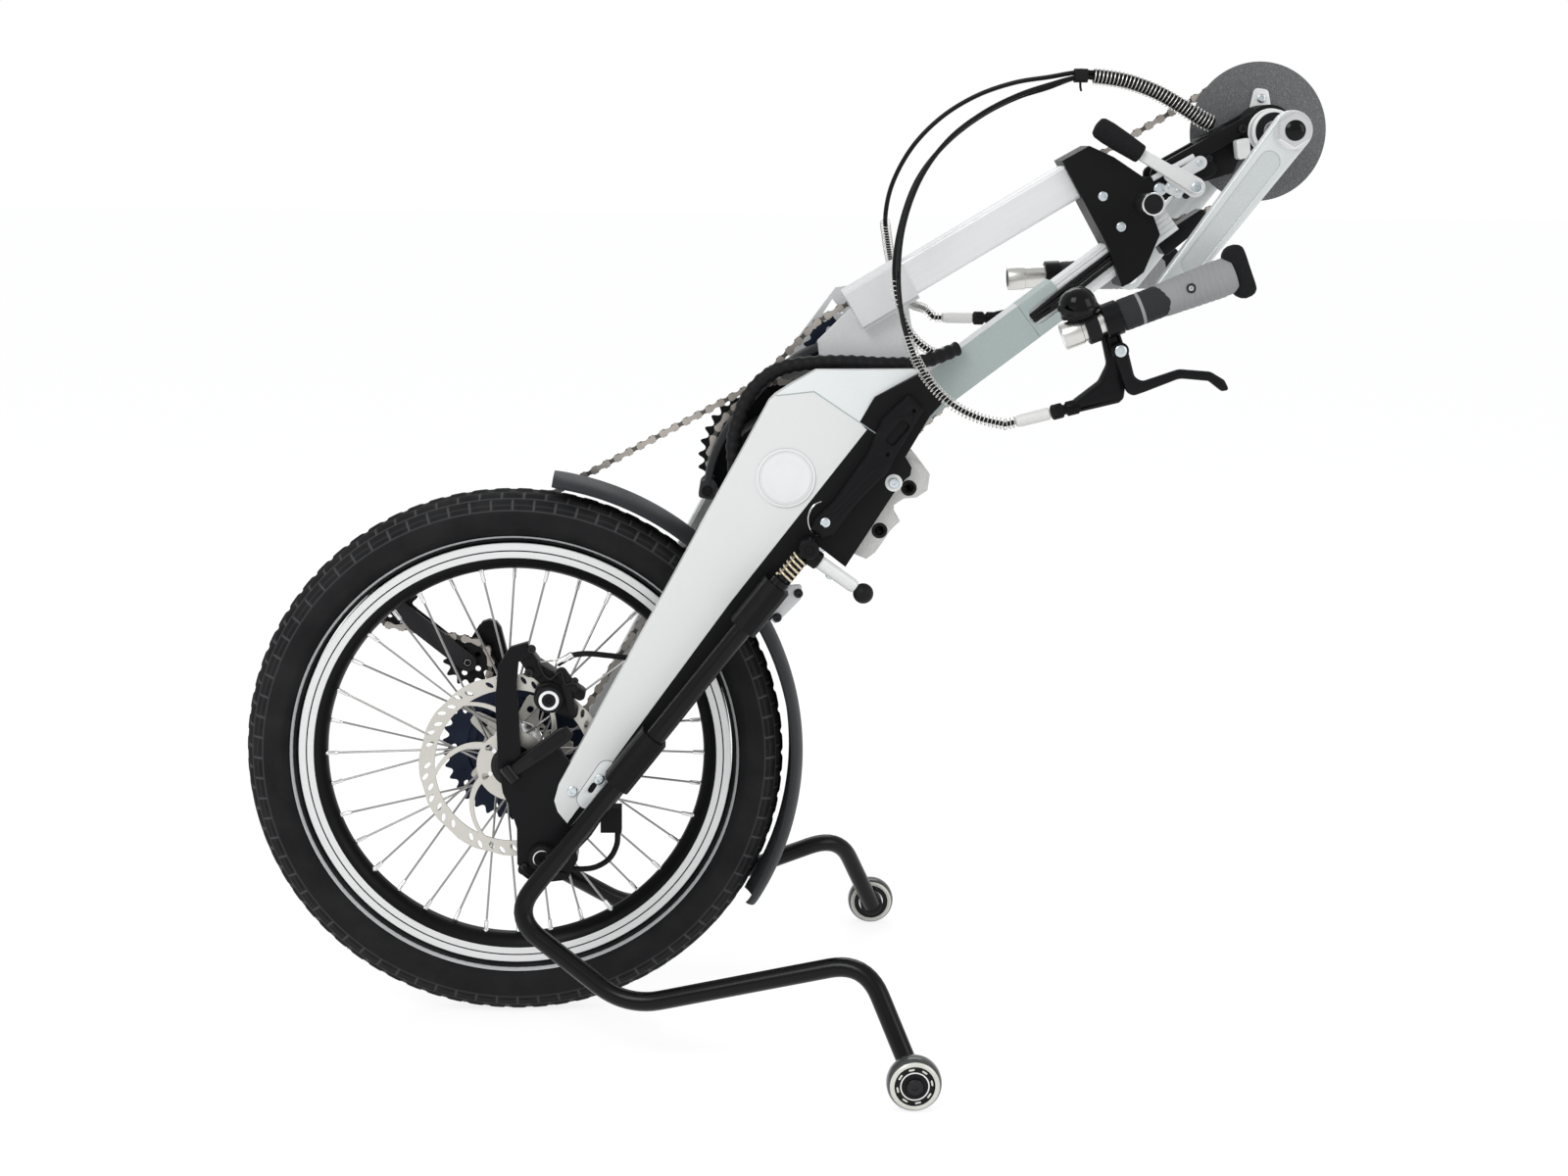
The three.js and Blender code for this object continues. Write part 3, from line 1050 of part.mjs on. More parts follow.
function handles() {
  for (const [word, side] of sides) {
    const level = handlePlace(side, false);
    const place = handlePlace(side, true);
    const inward = -side;
    const pinEnd = inward * (handle.lateral - crank.armInner + fit);
    const bar = join(
      rod([handle.barStart, 0, 0], [handle.barEnd, 0, 0], handle.bar, barSides),
      round([0, 0], handle.pin, 0, pinEnd + inward * overrun, 14),
      round([0, 0], handle.pinHead, pinEnd, pinEnd + inward * handle.pinHeadLength, 14));
    add(`handle_bar_${word}`, bar, 'silver', level);

    const length = grip.end - grip.start;
    const skin = gripShares.map(([s, t]) => [t * grip.swell, grip.start + s * length]);
    const bore = handle.bar + fit;
    const padFrom = grip.end - fit;
    const padTo = padFrom + grip.padThickness;
    const pad = [-1, 0, 1].map((up) => {
      const rise = up * grip.padSpread;
      return rod([padFrom, 0, rise], [padTo, 0, rise], up ? grip.padRadius : grip.padMiddle, 10);
    });
    const body = join(turnedAlong([[bore, grip.start], ...skin, [bore, grip.end]], barSides), ...pad);
    const pinRoom = round([0, 0], handle.pin + fit, 0, inward * (grip.swell + overrun), 14);
    add(`grip_${word}`, cut(body, pinRoom), 'grip', level);

    const out = (w) => side * w;
    const { inner, outer, axis } = leverClamp;
    const onCable = ([x, z]) => [x, out(axis), z];
    const clampBody = join(
      ringAlong(leverClamp.start, leverClamp.end, leverClamp.radius, bore),
      plate(spread(leverBodyShares, leverBody), out(inner), out(outer)),
      round(blade.pivot, blade.pin, out(inner), out(blade.outer)),
      rod(onCable(adjuster.start), onCable(adjuster.end), adjuster.radius),
      rod(onCable(along(adjuster.end, adjuster.start, fit)), onCable(ferrule.end), ferrule.radius));
    const barRoom = rod([handle.barStart, 0, 0], [handle.barEnd, 0, 0], bore, barSides);
    add(`lever_clamp_${word}`, cut(clampBody, barRoom), 'black', place);

    const bladeBody = join(
      plate(spread(bladeShares, blade), out(blade.inner), out(blade.outer)),
      round(blade.pivot, blade.hub, out(blade.inner), out(blade.outer)));
    const pinBore = round(blade.pivot, blade.pin + fit, out(inner), out(blade.outer + overrun));
    add(`brake_lever_${word}`, cut(bladeBody, pinBore), 'black', place);

    if (side < 0) {
      const [bellX, bellZ] = bell.at;
      const dome = rod([bellX, 0, bellZ], [bellX, 0, bellZ + bell.height], bell.radius, 14);
      const strap = ringAlong(bell.start, bell.end, bell.strap, bore);
      const bellRoom = rod([handle.barStart - overrun, 0, 0], [handle.barEnd, 0, 0], bore, barSides);
      add('bell', cut(join(strap, dome), bellRoom), 'black', place);
    }
  }
}

// Where a cord meets its ferrule, and a point straight behind it
function ferruleEnd(side, distance) {
  const place = handlePlace(side, true);
  const start = new THREE.Vector3(adjuster.end[0], side * leverClamp.axis, adjuster.end[1]).applyMatrix4(place);
  const end = new THREE.Vector3(ferrule.end[0], side * leverClamp.axis, ferrule.end[1]).applyMatrix4(place);
  const direction = end.clone().sub(start).normalize();
  return end.addScaledVector(direction, distance);
}

function cords() {
  const middle = vectors(bundleRoute);
  const shifted = (offset) => middle.map((point, i) => {
    const path = new ListedPath(middle).getTangentAt(i / (middle.length - 1));
    const up = new THREE.Vector3(0, 1, 0).cross(path).normalize();
    return point.clone().addScaledVector(up, offset[1]).add(new THREE.Vector3(0, offset[0], 0));
  });
  const straight = 4 * cordRadius;
  const throughBundle = (offset, route, side) => {
    const line = smooth([...shifted(offset), ...vectors(route), ferruleEnd(side, straight)], cordSteps);
    return [...line, ferruleEnd(side, fit)];
  };
  const lines = [
    throughBundle(bundleOffsets[0], nearCord, -1),
    smooth([...shifted(bundleOffsets[1]), ...vectors(frameCord)], cordSteps),
    throughBundle(bundleOffsets[2], farCord, 1),
  ];
  const { y: tieY, z: tieZ } = middle[middle.length - 1];
  const band = rod([tie.x - tie.width / 2, tieY, tieZ], [tie.x + tie.width / 2, tieY, tieZ], tie.radius, 10);
  add('handle_cords', join(band, ...lines.map((line) => tube(line, cordRadius))), 'black');

  const first = 2 * bundleCurl.wire + fit;
  const centreSteps = 12;
  const curlFrom = (points, from, to) => {
    const line = new THREE.CatmullRomCurve3(points, false, 'centripetal');
    return Array.from({ length: centreSteps + 1 }, (_, i) => line.getPointAt(from + (to - from) * i / centreSteps));
  };
  const bundleLength = new THREE.CatmullRomCurve3(middle, false, 'centripetal').getLength();
  const bundleCentre = curlFrom(middle, first / bundleLength, bundleCurlShare);
  add('bundle_spring', curl('bundle_spring', bundleCentre, bundleCurl), 'steel');
  add('near_spring', curl('near_spring', curlFrom(lines[0], ...cordCurlShares), nearCurl), 'steel');
  add('far_spring', curl('far_spring', curlFrom(lines[2], ...cordCurlShares), farCurl), 'steel');
  add('conduit', ribbed(vectors(conduitRoute), conduit), 'dark');
}

wheel();
skewerAndLever();
legs();
standAndCastors();
standLock();
calipers();
frame();
mudguardPiece();
drive();
docking();
tubeClamp();
headPieces();
crankPieces();
handles();
cords();

// The origin is on the floor under the middle of the whole object
const model = new THREE.Group();
model.add(bike);
model.updateMatrixWorld(true);
const reach = new THREE.Box3().setFromObject(model, true);
bike.position.x = -(reach.min.x + reach.max.x) / 2;
bike.position.y = -(reach.min.y + reach.max.y) / 2;
bike.position.z -= reach.min.z;
model.updateMatrixWorld(true);

export default model;
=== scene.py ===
# A handcycle for clamping to the front of a wheelchair, dressed for its picture: satin silver
# covers, black frame parts, a spoked wheel and the hand crank, on a pale studio floor.
import json
import math

import bmesh
import bpy
import numpy as np
from mathutils import Matrix, Vector
from mathutils.geometry import tessellate_polygon


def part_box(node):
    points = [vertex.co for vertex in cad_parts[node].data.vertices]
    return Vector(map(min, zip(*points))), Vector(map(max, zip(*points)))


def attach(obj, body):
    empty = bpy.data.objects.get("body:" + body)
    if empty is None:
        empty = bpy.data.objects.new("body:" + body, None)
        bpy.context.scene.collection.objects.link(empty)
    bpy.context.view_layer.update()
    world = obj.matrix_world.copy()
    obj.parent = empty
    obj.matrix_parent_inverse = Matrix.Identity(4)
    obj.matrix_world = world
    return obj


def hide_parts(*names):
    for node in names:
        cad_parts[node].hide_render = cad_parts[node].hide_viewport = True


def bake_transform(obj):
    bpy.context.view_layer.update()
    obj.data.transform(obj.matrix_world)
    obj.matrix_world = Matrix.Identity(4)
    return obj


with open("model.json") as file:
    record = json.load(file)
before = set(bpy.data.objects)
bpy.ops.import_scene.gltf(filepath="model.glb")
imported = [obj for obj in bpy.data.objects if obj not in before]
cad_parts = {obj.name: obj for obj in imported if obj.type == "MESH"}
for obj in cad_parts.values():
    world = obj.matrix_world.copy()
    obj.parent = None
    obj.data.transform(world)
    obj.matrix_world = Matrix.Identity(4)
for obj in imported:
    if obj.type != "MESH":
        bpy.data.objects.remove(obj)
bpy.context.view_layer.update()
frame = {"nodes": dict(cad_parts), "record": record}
rng = np.random.default_rng(7)
print("frame loaded:", len(frame["nodes"]), "nodes")

# Every shape is worked out in millimetres from the wheel's axle, [x, y, z], and then
# brought into the frame. The axle is the middle of the rim.
mm = 0.001
rimLow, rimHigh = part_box("rim")
axle = np.array([(rimLow.x + rimHigh.x) / 2, 0.0, (rimLow.z + rimHigh.z) / 2])
degree = math.pi / 180
origin = (0, 0, 0)
alongX = (1, 0, 0)
toNear = (0, -1, 0)


def inFrame(points):
    return np.asarray(points, float) * mm + axle


def fromFrame(points):
    return (np.asarray(points, float) - axle) / mm


# Camera, floor and light
studio = {
    "cameraPlace": (-0.0876, -2.2799, 0.8383),
    "cameraTurn": (79.666, -0.570, -2.163),
    "lens": 55.18,
    "floorSize": 60.0,
    "floorColor": (0.86, 0.86, 0.86, 1),
    "floorLift": 0.72,  # share of white that the camera and reflections see
    "floorWhite": 1.17,
    "worldColor": (0.93, 0.94, 0.95, 1),
    "worldStrength": 0.66,
    "glossColor": (0.64, 0.645, 0.65, 1),
    "keyPower": 40,
    "fillPower": 16,
    "backPower": 20,
}


# A shader node: a socket gets a value, or a link where it is given another node's socket
def addNode(tree, kind, sockets=(), operation=None):
    node = tree.nodes.new("ShaderNode" + kind)
    if operation:
        node.operation = operation
    for socket, value in dict(sockets).items():
        if isinstance(value, bpy.types.NodeSocket):
            tree.links.new(value, node.inputs[socket])
        else:
            node.inputs[socket].default_value = value
    return node.outputs


def emptyTree(holder):
    holder.use_nodes = True
    holder.node_tree.nodes.clear()
    return holder.node_tree


def addLamp(name, place, aim, size, power):
    lamp = bpy.data.lights.new(name, "AREA")
    lamp.shape = "RECTANGLE"
    lamp.size, lamp.size_y = size
    lamp.energy = power
    holder = bpy.data.objects.new(name, lamp)
    holder.location = place
    holder.rotation_euler = (Vector(aim) - Vector(place)).to_track_quat("-Z", "Y").to_euler()
    bpy.context.collection.objects.link(holder)


def buildStudio():
    scene = bpy.context.scene
    lens = bpy.data.cameras.new("camera")
    lens.lens = studio["lens"]
    lens.sensor_width = 36
    camera = bpy.data.objects.new("camera", lens)
    camera.location = studio["cameraPlace"]
    camera.rotation_euler = [angle * degree for angle in studio["cameraTurn"]]
    bpy.context.collection.objects.link(camera)
    scene.camera = camera
    scene.view_settings.view_transform = "Standard"

    half = studio["floorSize"] / 2
    floorMesh = bpy.data.meshes.new("floor")
    corners = [(-half, -half, 0), (half, -half, 0), (half, half, 0), (-half, half, 0)]
    floorMesh.from_pydata(corners, [], [(0, 1, 2, 3)])
    floor = bpy.data.objects.new("floor", floorMesh)
    bpy.context.collection.objects.link(floor)

    # The floor shows nearly white to the camera and in reflections, and keeps the shadow
    paint = bpy.data.materials.new("floorPaper")
    tree = emptyTree(paint)
    rays = addNode(tree, "LightPath")
    diffuse = addNode(tree, "BsdfDiffuse", {"Color": studio["floorColor"]})
    white = addNode(tree, "Emission", {"Strength": studio["floorWhite"]})
    seen = addNode(tree, "Math", {0: rays["Is Camera Ray"], 1: rays["Is Glossy Ray"]}, "MAXIMUM")
    lift = addNode(tree, "Math", {0: seen[0], 1: studio["floorLift"]}, "MULTIPLY")
    mixed = addNode(tree, "MixShader", {0: lift[0], 1: diffuse[0], 2: white[0]})
    addNode(tree, "OutputMaterial", {"Surface": mixed[0]})
    floorMesh.materials.append(paint)

    # The backdrop is white to the camera, in gloss and through clear parts, and dimmer as a light
    scene.world = bpy.data.worlds.new("backdrop")
    tree = emptyTree(scene.world)
    rays = addNode(tree, "LightPath")
    soft = addNode(tree, "Background", {"Color": studio["worldColor"], "Strength": studio["worldStrength"]})
    shown = addNode(tree, "Background", {"Color": (1, 1, 1, 1)})
    gloss = addNode(tree, "Background", {"Color": studio["glossColor"]})
    mirrored = addNode(tree, "Math", {0: rays["Is Glossy Ray"], 1: rays["Is Transmission Ray"]}, "MAXIMUM")
    first = addNode(tree, "MixShader", {0: mirrored[0], 1: soft[0], 2: gloss[0]})
    second = addNode(tree, "MixShader", {0: rays["Is Camera Ray"], 1: first[0], 2: shown[0]})
    addNode(tree, "OutputWorld", {"Surface": second[0]})

    addLamp("keyLamp", (-1.6, -2.2, 2.6), (0, 0, 0.4), (1.6, 1.6), studio["keyPower"])
    addLamp("fillLamp", (2.4, -1.6, 1.5), (0, 0, 0.5), (1.4, 1.8), studio["fillPower"])
    addLamp("backLamp", (0.3, 2.2, 2.4), (0, 0, 0.4), (2.0, 1.2), studio["backPower"])


buildStudio()
print("studio ready")


# Finishes. Each one is a shader with its own noise, read from Object coordinates in metres.
finishes = {}
darkBelow = 0.1  # colours under this are black plastics and paints, with less sheen


def newPaint(name, color, roughness, metallic=0.0, coat=0.0):
    paint = bpy.data.materials.new(name)
    paint.use_nodes = True
    inputs = paint.node_tree.nodes["Principled BSDF"].inputs
    inputs["Base Color"].default_value = (*color, 1)
    inputs["Roughness"].default_value = roughness
    inputs["Metallic"].default_value = metallic
    inputs["Coat Weight"].default_value = coat
    inputs["Coat Roughness"].default_value = 0.12
    inputs["Specular IOR Level"].default_value = 0.5 if max(color) > darkBelow else 0.14
    finishes[name] = paint
    return paint.node_tree, inputs


def noiseNode(tree, scale, detail, stretch=None, turn=None):
    place = addNode(tree, "TexCoord")["Object"]
    if stretch:
        place = addNode(tree, "Mapping", {"Rotation": turn, "Vector": place})["Vector"]
        place = addNode(tree, "Mapping", {"Scale": stretch, "Vector": place})["Vector"]
    return addNode(tree, "TexNoise", {"Scale": scale, "Detail": detail, "Vector": place})["Fac"]


def ramp(tree, source, low, high, dark, light):
    node = tree.nodes.new("ShaderNodeValToRGB")
    for element, place, color in zip(node.color_ramp.elements, (low, high), (dark, light)):
        element.position = place
        element.color = (*color, 1)
    tree.links.new(source, node.inputs["Fac"])
    return node.outputs["Color"]


# Noise lies mostly between 0.3 and 0.7, which this spreads over low to high
def spread(tree, source, low, high):
    sockets = {"Value": source, "From Min": 0.3, "From Max": 0.7, "To Min": low, "To Max": high}
    return addNode(tree, "MapRange", sockets)["Result"]


def finishPaint(tree, inputs, tint, grain, height, rough=None):
    tree.links.new(tint, inputs["Base Color"])
    if rough is not None:
        tree.links.new(rough, inputs["Roughness"])
    normal = addNode(tree, "Bump", {"Distance": height, "Height": grain})["Normal"]
    tree.links.new(normal, inputs["Normal"])


# Colour and roughness drift slowly over the surface, a fine grain gives the bump
def grained(name, color, roughness, metallic=0.0, coat=0.0, drift=0.06, grain=900, height=0.00004,
            roughDrift=0.06):
    tree, inputs = newPaint(name, color, roughness, metallic, coat)
    base = np.array(color)
    broad = noiseNode(tree, 18, 4)
    tint = ramp(tree, broad, 0.3, 0.7, base * (1 - drift), np.minimum(base * (1 + drift), 1))
    rough = spread(tree, broad, roughness - roughDrift, roughness + roughDrift)
    finishPaint(tree, inputs, tint, noiseNode(tree, grain, 2), height, rough)


# Tiny lighter grains on a darker ground, as on powder coats and castings
def speckled(name, color, fleck, share, roughness, metallic=0.0, grain=1400, height=0.00006):
    tree, inputs = newPaint(name, color, roughness, metallic)
    fine = noiseNode(tree, grain, 1)
    tint = ramp(tree, fine, 1 - share - 0.06, 1 - share + 0.06, color, fleck)
    finishPaint(tree, inputs, tint, fine, height)


# Fine scratches drawn out along one direction, given by a turn about +Y
def brushed(name, color, roughness, angle=0.0, metallic=1.0, height=0.000012):
    tree, inputs = newPaint(name, color, roughness, metallic)
    lines = noiseNode(tree, 700, 2, (0.02, 3.0, 3.0), (0, angle, 0))
    base = np.array(color)
    tint = ramp(tree, lines, 0.3, 0.7, base * 0.97, np.minimum(base * 1.02, 1))
    rough = spread(tree, noiseNode(tree, 12, 3), roughness - 0.05, roughness + 0.07)
    finishPaint(tree, inputs, tint, lines, height, rough)


boomAngle = 31.05 * degree
# Lighter copy of the cover's silver: painted highlight on the sloping facet above the fold; the slotted
# washer is made of it too
speckled("coverFacet", (0.84, 0.87, 0.87), (0.93, 0.95, 0.95), 0.38, 0.36, 0.12, 2600, 0.00002)
speckled("coverSilver", (0.80, 0.81, 0.80), (0.90, 0.91, 0.90), 0.38, 0.40, 0.12, 2600, 0.00002)
brushed("anodised", (0.84, 0.85, 0.855), 0.36, boomAngle, 0.35)
# Grey-green darker copy of the silver: painted shade for the lower sleeve's sides, its end and the cover's
# crease line
speckled("sleeveGrey", (0.42, 0.49, 0.48), (0.50, 0.57, 0.56), 0.4, 0.5, 0.25, 2200, 0.00003)
speckled("castAlloy", (0.55, 0.55, 0.53), (0.66, 0.66, 0.64), 0.42, 0.5, 0.3, 1100, 0.0001)
speckled("plateSilver", (0.72, 0.73, 0.74), (0.82, 0.83, 0.84), 0.4, 0.40, 0.3, 1900, 0.00003)
speckled("crankAlloy", (0.66, 0.69, 0.69), (0.76, 0.79, 0.79), 0.45, 0.36, 0.35, 1500, 0.00004)
speckled("crankPanel", (0.56, 0.59, 0.59), (0.72, 0.75, 0.75), 0.45, 0.4, 0.35, 1400, 0.0001)
grained("polished", (0.82, 0.82, 0.83), 0.16, 1.0, grain=700, height=0.000006, roughDrift=0.04)
brushed("steelBright", (0.70, 0.69, 0.66), 0.3, 0.9)
grained("steelSpoke", (0.36, 0.355, 0.35), 0.3, 0.9, drift=0.12, grain=500, height=0.00001)
brushed("rotorSteel", (0.68, 0.66, 0.61), 0.36, 0.4, 0.9)
grained("blackBolt", (0.03, 0.03, 0.032), 0.3, 0.7, grain=900, height=0.00002)
grained("zincBolt", (0.66, 0.72, 0.75), 0.28, 1.0, grain=1500, height=0.00003)
grained("chainDark", (0.13, 0.12, 0.11), 0.4, 0.8, drift=0.25, grain=1200, height=0.00003)
grained("chainSteel", (0.50, 0.46, 0.42), 0.34, 0.8, drift=0.25, grain=1200, height=0.00003)
grained("brass", (0.74, 0.66, 0.48), 0.3, 0.9, grain=900, height=0.00002)
grained("powderBlack", (0.006, 0.006, 0.0066), 0.46, grain=1600, height=0.00007)
grained("satinBlack", (0.006, 0.006, 0.007), 0.36, grain=700, height=0.00002)
grained("tubeBlack", (0.0025, 0.0025, 0.003), 0.24, grain=420, height=0.00003)
grained("leverBlack", (0.006, 0.006, 0.007), 0.24, grain=900, height=0.00002)
grained("glossBlack", (0.003, 0.003, 0.003), 0.08, 0.0, 0.2, grain=60, height=0.00002, roughDrift=0.02)
grained("plasticBlack", (0.011, 0.011, 0.012), 0.5, grain=1300, height=0.00006)
grained("plasticGrey", (0.040, 0.042, 0.045), 0.48, grain=1500, height=0.00006)
speckled("guardGrey", (0.10, 0.104, 0.108), (0.22, 0.225, 0.23), 0.40, 0.62, 0.0, 1500, 0.00012)
grained("mudguardGrey", (0.034, 0.037, 0.041), 0.5, grain=1800, height=0.00005)
grained("gripGrey", (0.29, 0.295, 0.30), 0.68, grain=2200, height=0.00012, roughDrift=0.05)
grained("gripDark", (0.030, 0.031, 0.033), 0.62, grain=2200, height=0.00012, roughDrift=0.05)
speckled("padBlack", (0.010, 0.010, 0.011), (0.028, 0.028, 0.03), 0.4, 0.85, 0.0, 2600, 0.0002)
grained("cogBlue", (0.018, 0.024, 0.042), 0.32, 0.7, grain=900, height=0.00003, drift=0.2)
grained("rimBlack", (0.005, 0.005, 0.0055), 0.36, grain=1500, height=0.00002)
brushed("rimBand", (0.86, 0.86, 0.86), 0.36, 0.0, 0.25)
speckled("reflexBand", (0.50, 0.51, 0.52), (0.72, 0.73, 0.74), 0.5, 0.5, 0.2, 3000, 0.00002)
grained("castorClear", (0.72, 0.73, 0.66), 0.2, coat=0.6, drift=0.12, grain=300, height=0.00003)
grained("castorRubber", (0.06, 0.062, 0.06), 0.26, coat=0.5, drift=0.08, grain=500, height=0.00003)
grained("knobGrey", (0.20, 0.198, 0.19), 0.4, grain=1200, height=0.00005)
grained("ferruleWhite", (0.74, 0.74, 0.72), 0.42, grain=900, height=0.00002)
grained("cordBlack", (0.007, 0.007, 0.0075), 0.34, grain=700, height=0.00002)
grained("badgeWhite", (0.84, 0.85, 0.86), 0.4, 0.0, 0.2, grain=900, height=0.00001)


# The tyre's rubber: matt, with lighter streaks and faint moulding rings
def buildRubber():
    tree, inputs = newPaint("tyreRubber", (0.018, 0.018, 0.019), 0.72)
    broad = noiseNode(tree, 30, 5)
    tint = ramp(tree, broad, 0.35, 0.75, (0.010, 0.010, 0.011), (0.022, 0.022, 0.023))
    # The mesh's own "groove" attribute is 1 in the lighter lines between the blocks
    groove = tree.nodes.new("ShaderNodeAttribute")
    groove.attribute_name = "groove"
    grooveTint = tree.nodes.new("ShaderNodeMix")
    grooveTint.data_type = "RGBA"
    grooveTint.inputs["B"].default_value = (0.075, 0.075, 0.078, 1)
    tree.links.new(groove.outputs["Fac"], grooveTint.inputs["Factor"])
    tree.links.new(tint, grooveTint.inputs["A"])
    rough = spread(tree, broad, 0.62, 0.82)
    finishPaint(tree, inputs, grooveTint.outputs["Result"], noiseNode(tree, 2400, 2), 0.00012, rough)


buildRubber()
for word, sheen in (("tubeBlack", 0.22), ("leverBlack", 0.22), ("glossBlack", 0.1)):
    finishes[word].node_tree.nodes["Principled BSDF"].inputs["Specular IOR Level"].default_value = sheen


# Shapes: each is (points in mm, list of faces). Every surface here is a grid of rings, so its
# points are worked out as whole arrays.
def gridFaces(rows, columns, wrapRows=False, wrapColumns=True):
    row = np.arange(rows if wrapRows else rows - 1)
    column = np.arange(columns if wrapColumns else columns - 1)
    a, b = [part.ravel() for part in np.meshgrid(row, column, indexing="ij")]
    nextA, nextB = (a + 1) % rows, (b + 1) % columns
    quads = [a * columns + b, nextA * columns + b, nextA * columns + nextB, a * columns + nextB]
    return np.stack(quads, axis=1).tolist()


def join(*shapes):
    points, faces, count = [], [], 0
    for shapePoints, shapeFaces in shapes:
        points.append(np.asarray(shapePoints, float))
        faces += [[corner + count for corner in face] for face in shapeFaces]
        count += len(shapePoints)
    return np.concatenate(points), faces


# Volume under the faces, each split into a fan: negative where they point inwards
def signedVolume(points, faces):
    fans = [(face[0], face[k], face[k + 1]) for face in faces for k in range(1, len(face) - 1)]
    a, b, c = [points[np.array(corner)] for corner in zip(*fans)]
    return float(np.einsum("ij,ij->i", a, np.cross(b, c)).sum())


def outwards(shape):
    points, faces = shape
    if signedVolume(points - points.mean(0), faces) < 0:
        faces = [face[::-1] for face in faces]
    return points, faces


# Rings joined into a tube: rows of points, closed by a flat cap at each open end
def ringTube(rings, loop=False):
    rows, columns = rings.shape[:2]
    faces = gridFaces(rows, columns, wrapRows=loop)
    if not loop:
        faces.append(list(range(columns))[::-1])
        faces.append([(rows - 1) * columns + k for k in range(columns)])
    return outwards((rings.reshape(-1, 3), faces))


def normalised(vectors):
    return vectors / np.maximum(np.linalg.norm(vectors, axis=-1, keepdims=True), 1e-9)


# Smooth line through given points: centripetal Catmull-Rom, evenly resampled
def smoothLine(route, count):
    route = np.asarray(route, float)
    padded = np.vstack([2 * route[0] - route[1], route, 2 * route[-1] - route[-2]])
    knots = np.concatenate([[0], np.cumsum(np.linalg.norm(np.diff(padded, axis=0), axis=1) ** 0.5)])
    t = np.linspace(knots[1], knots[-2], 24 * len(route))
    i = np.clip(np.searchsorted(knots, t, side="right") - 1, 1, len(route) - 1)
    t0, t1, t2, t3 = [knots[i + k][:, None] for k in (-1, 0, 1, 2)]
    p0, p1, p2, p3 = [padded[i + k] for k in (-1, 0, 1, 2)]
    t = t[:, None]
    a1 = ((t1 - t) * p0 + (t - t0) * p1) / (t1 - t0)
    a2 = ((t2 - t) * p1 + (t - t1) * p2) / (t2 - t1)
    a3 = ((t3 - t) * p2 + (t - t2) * p3) / (t3 - t2)
    b1 = ((t2 - t) * a1 + (t - t0) * a2) / (t2 - t0)
    b2 = ((t3 - t) * a2 + (t - t1) * a3) / (t3 - t1)
    return evenLine(((t2 - t) * b1 + (t - t1) * b2) / (t2 - t1), count)


def evenLine(line, count, closed=False):
    line = np.asarray(line, float)
    if closed:
        line = np.vstack([line, line[:1]])
    reach = np.concatenate([[0], np.cumsum(np.linalg.norm(np.diff(line, axis=0), axis=1))])
    marks = np.linspace(0, reach[-1], count, endpoint=not closed)
    return np.stack([np.interp(marks, reach, line[:, k]) for k in range(line.shape[1])], axis=1)


def lineLength(line):
    return float(np.linalg.norm(np.diff(line, axis=0), axis=1).sum())


# Two directions across a line at each of its points, the second as near to +Y as can be
def acrossLine(line):
    tangent = normalised(np.gradient(line, axis=0))
    side = normalised(np.cross(tangent, (0, 1.0, 0)))
    return side, np.cross(side, tangent)


# A section [a, b] carried along a line: a lies across, b towards +Y
def sweep(line, section):
    line = np.asarray(line, float)
    side, top = acrossLine(line)
    section = np.asarray(section, float)
    rings = line[:, None] + side[:, None] * section[None, :, :1] + top[:, None] * section[None, :, 1:]
    return ringTube(rings)


def fullTurn(steps):
    return 2 * math.pi * np.arange(steps) / steps


def polar(radius, angle):
    return np.stack([radius * np.cos(angle), radius * np.sin(angle)], axis=-1)


def circle(radius, sides):
    return polar(radius, fullTurn(sides))


def hose(line, radius, sides=10):
    return sweep(line, circle(radius, sides))


# Corners of an outline replaced by arcs of a radius, or by a list of radii
def rounded(outline, radius, steps=5):
    outline = np.asarray(outline, float)
    radii = np.broadcast_to(np.asarray(radius, float), len(outline))
    result = []
    for i, corner in enumerate(outline):
        before, after = outline[i - 1] - corner, outline[(i + 1) % len(outline)] - corner
        lengthA, lengthB = np.linalg.norm(before), np.linalg.norm(after)
        before, after = before / lengthA, after / lengthB
        half = math.acos(float(np.clip(before @ after, -1, 1))) / 2
        if radii[i] <= 0 or half > 1.53 or half < 0.05:
            result.append(corner)
            continue
        reach = min(radii[i] / math.tan(half), 0.46 * lengthA, 0.46 * lengthB)
        r = reach * math.tan(half)
        centre = corner + normalised(before + after) * (r / math.sin(half))
        first, last = corner + before * reach - centre, corner + after * reach - centre
        sweepAngle = math.atan2(first[0] * last[1] - first[1] * last[0], float(first @ last))
        turn = sweepAngle * np.arange(steps + 1) / steps
        result += list(centre + np.stack([
            first[0] * np.cos(turn) - first[1] * np.sin(turn),
            first[0] * np.sin(turn) + first[1] * np.cos(turn)], axis=1))
    return np.array(result)


def areaOf(outline):
    x, z = np.asarray(outline).T
    return float((x * np.roll(z, -1) - np.roll(x, -1) * z).sum() / 2)


# The outline moved by a distance to its left, its corners mitred
def shifted(outline, distance):
    before = normalised(outline - np.roll(outline, 1, axis=0))
    after = np.roll(before, -1, axis=0)
    normalA = np.stack([-before[:, 1], before[:, 0]], axis=1)
    normalB = np.stack([-after[:, 1], after[:, 0]], axis=1)
    bisector = normalised(normalA + normalB)
    reach = distance / np.maximum((bisector * normalA).sum(1), 0.5)
    return outline + bisector * reach[:, None]


def inset(outline, distance):
    return shifted(outline if areaOf(outline) > 0 else outline[::-1], distance)


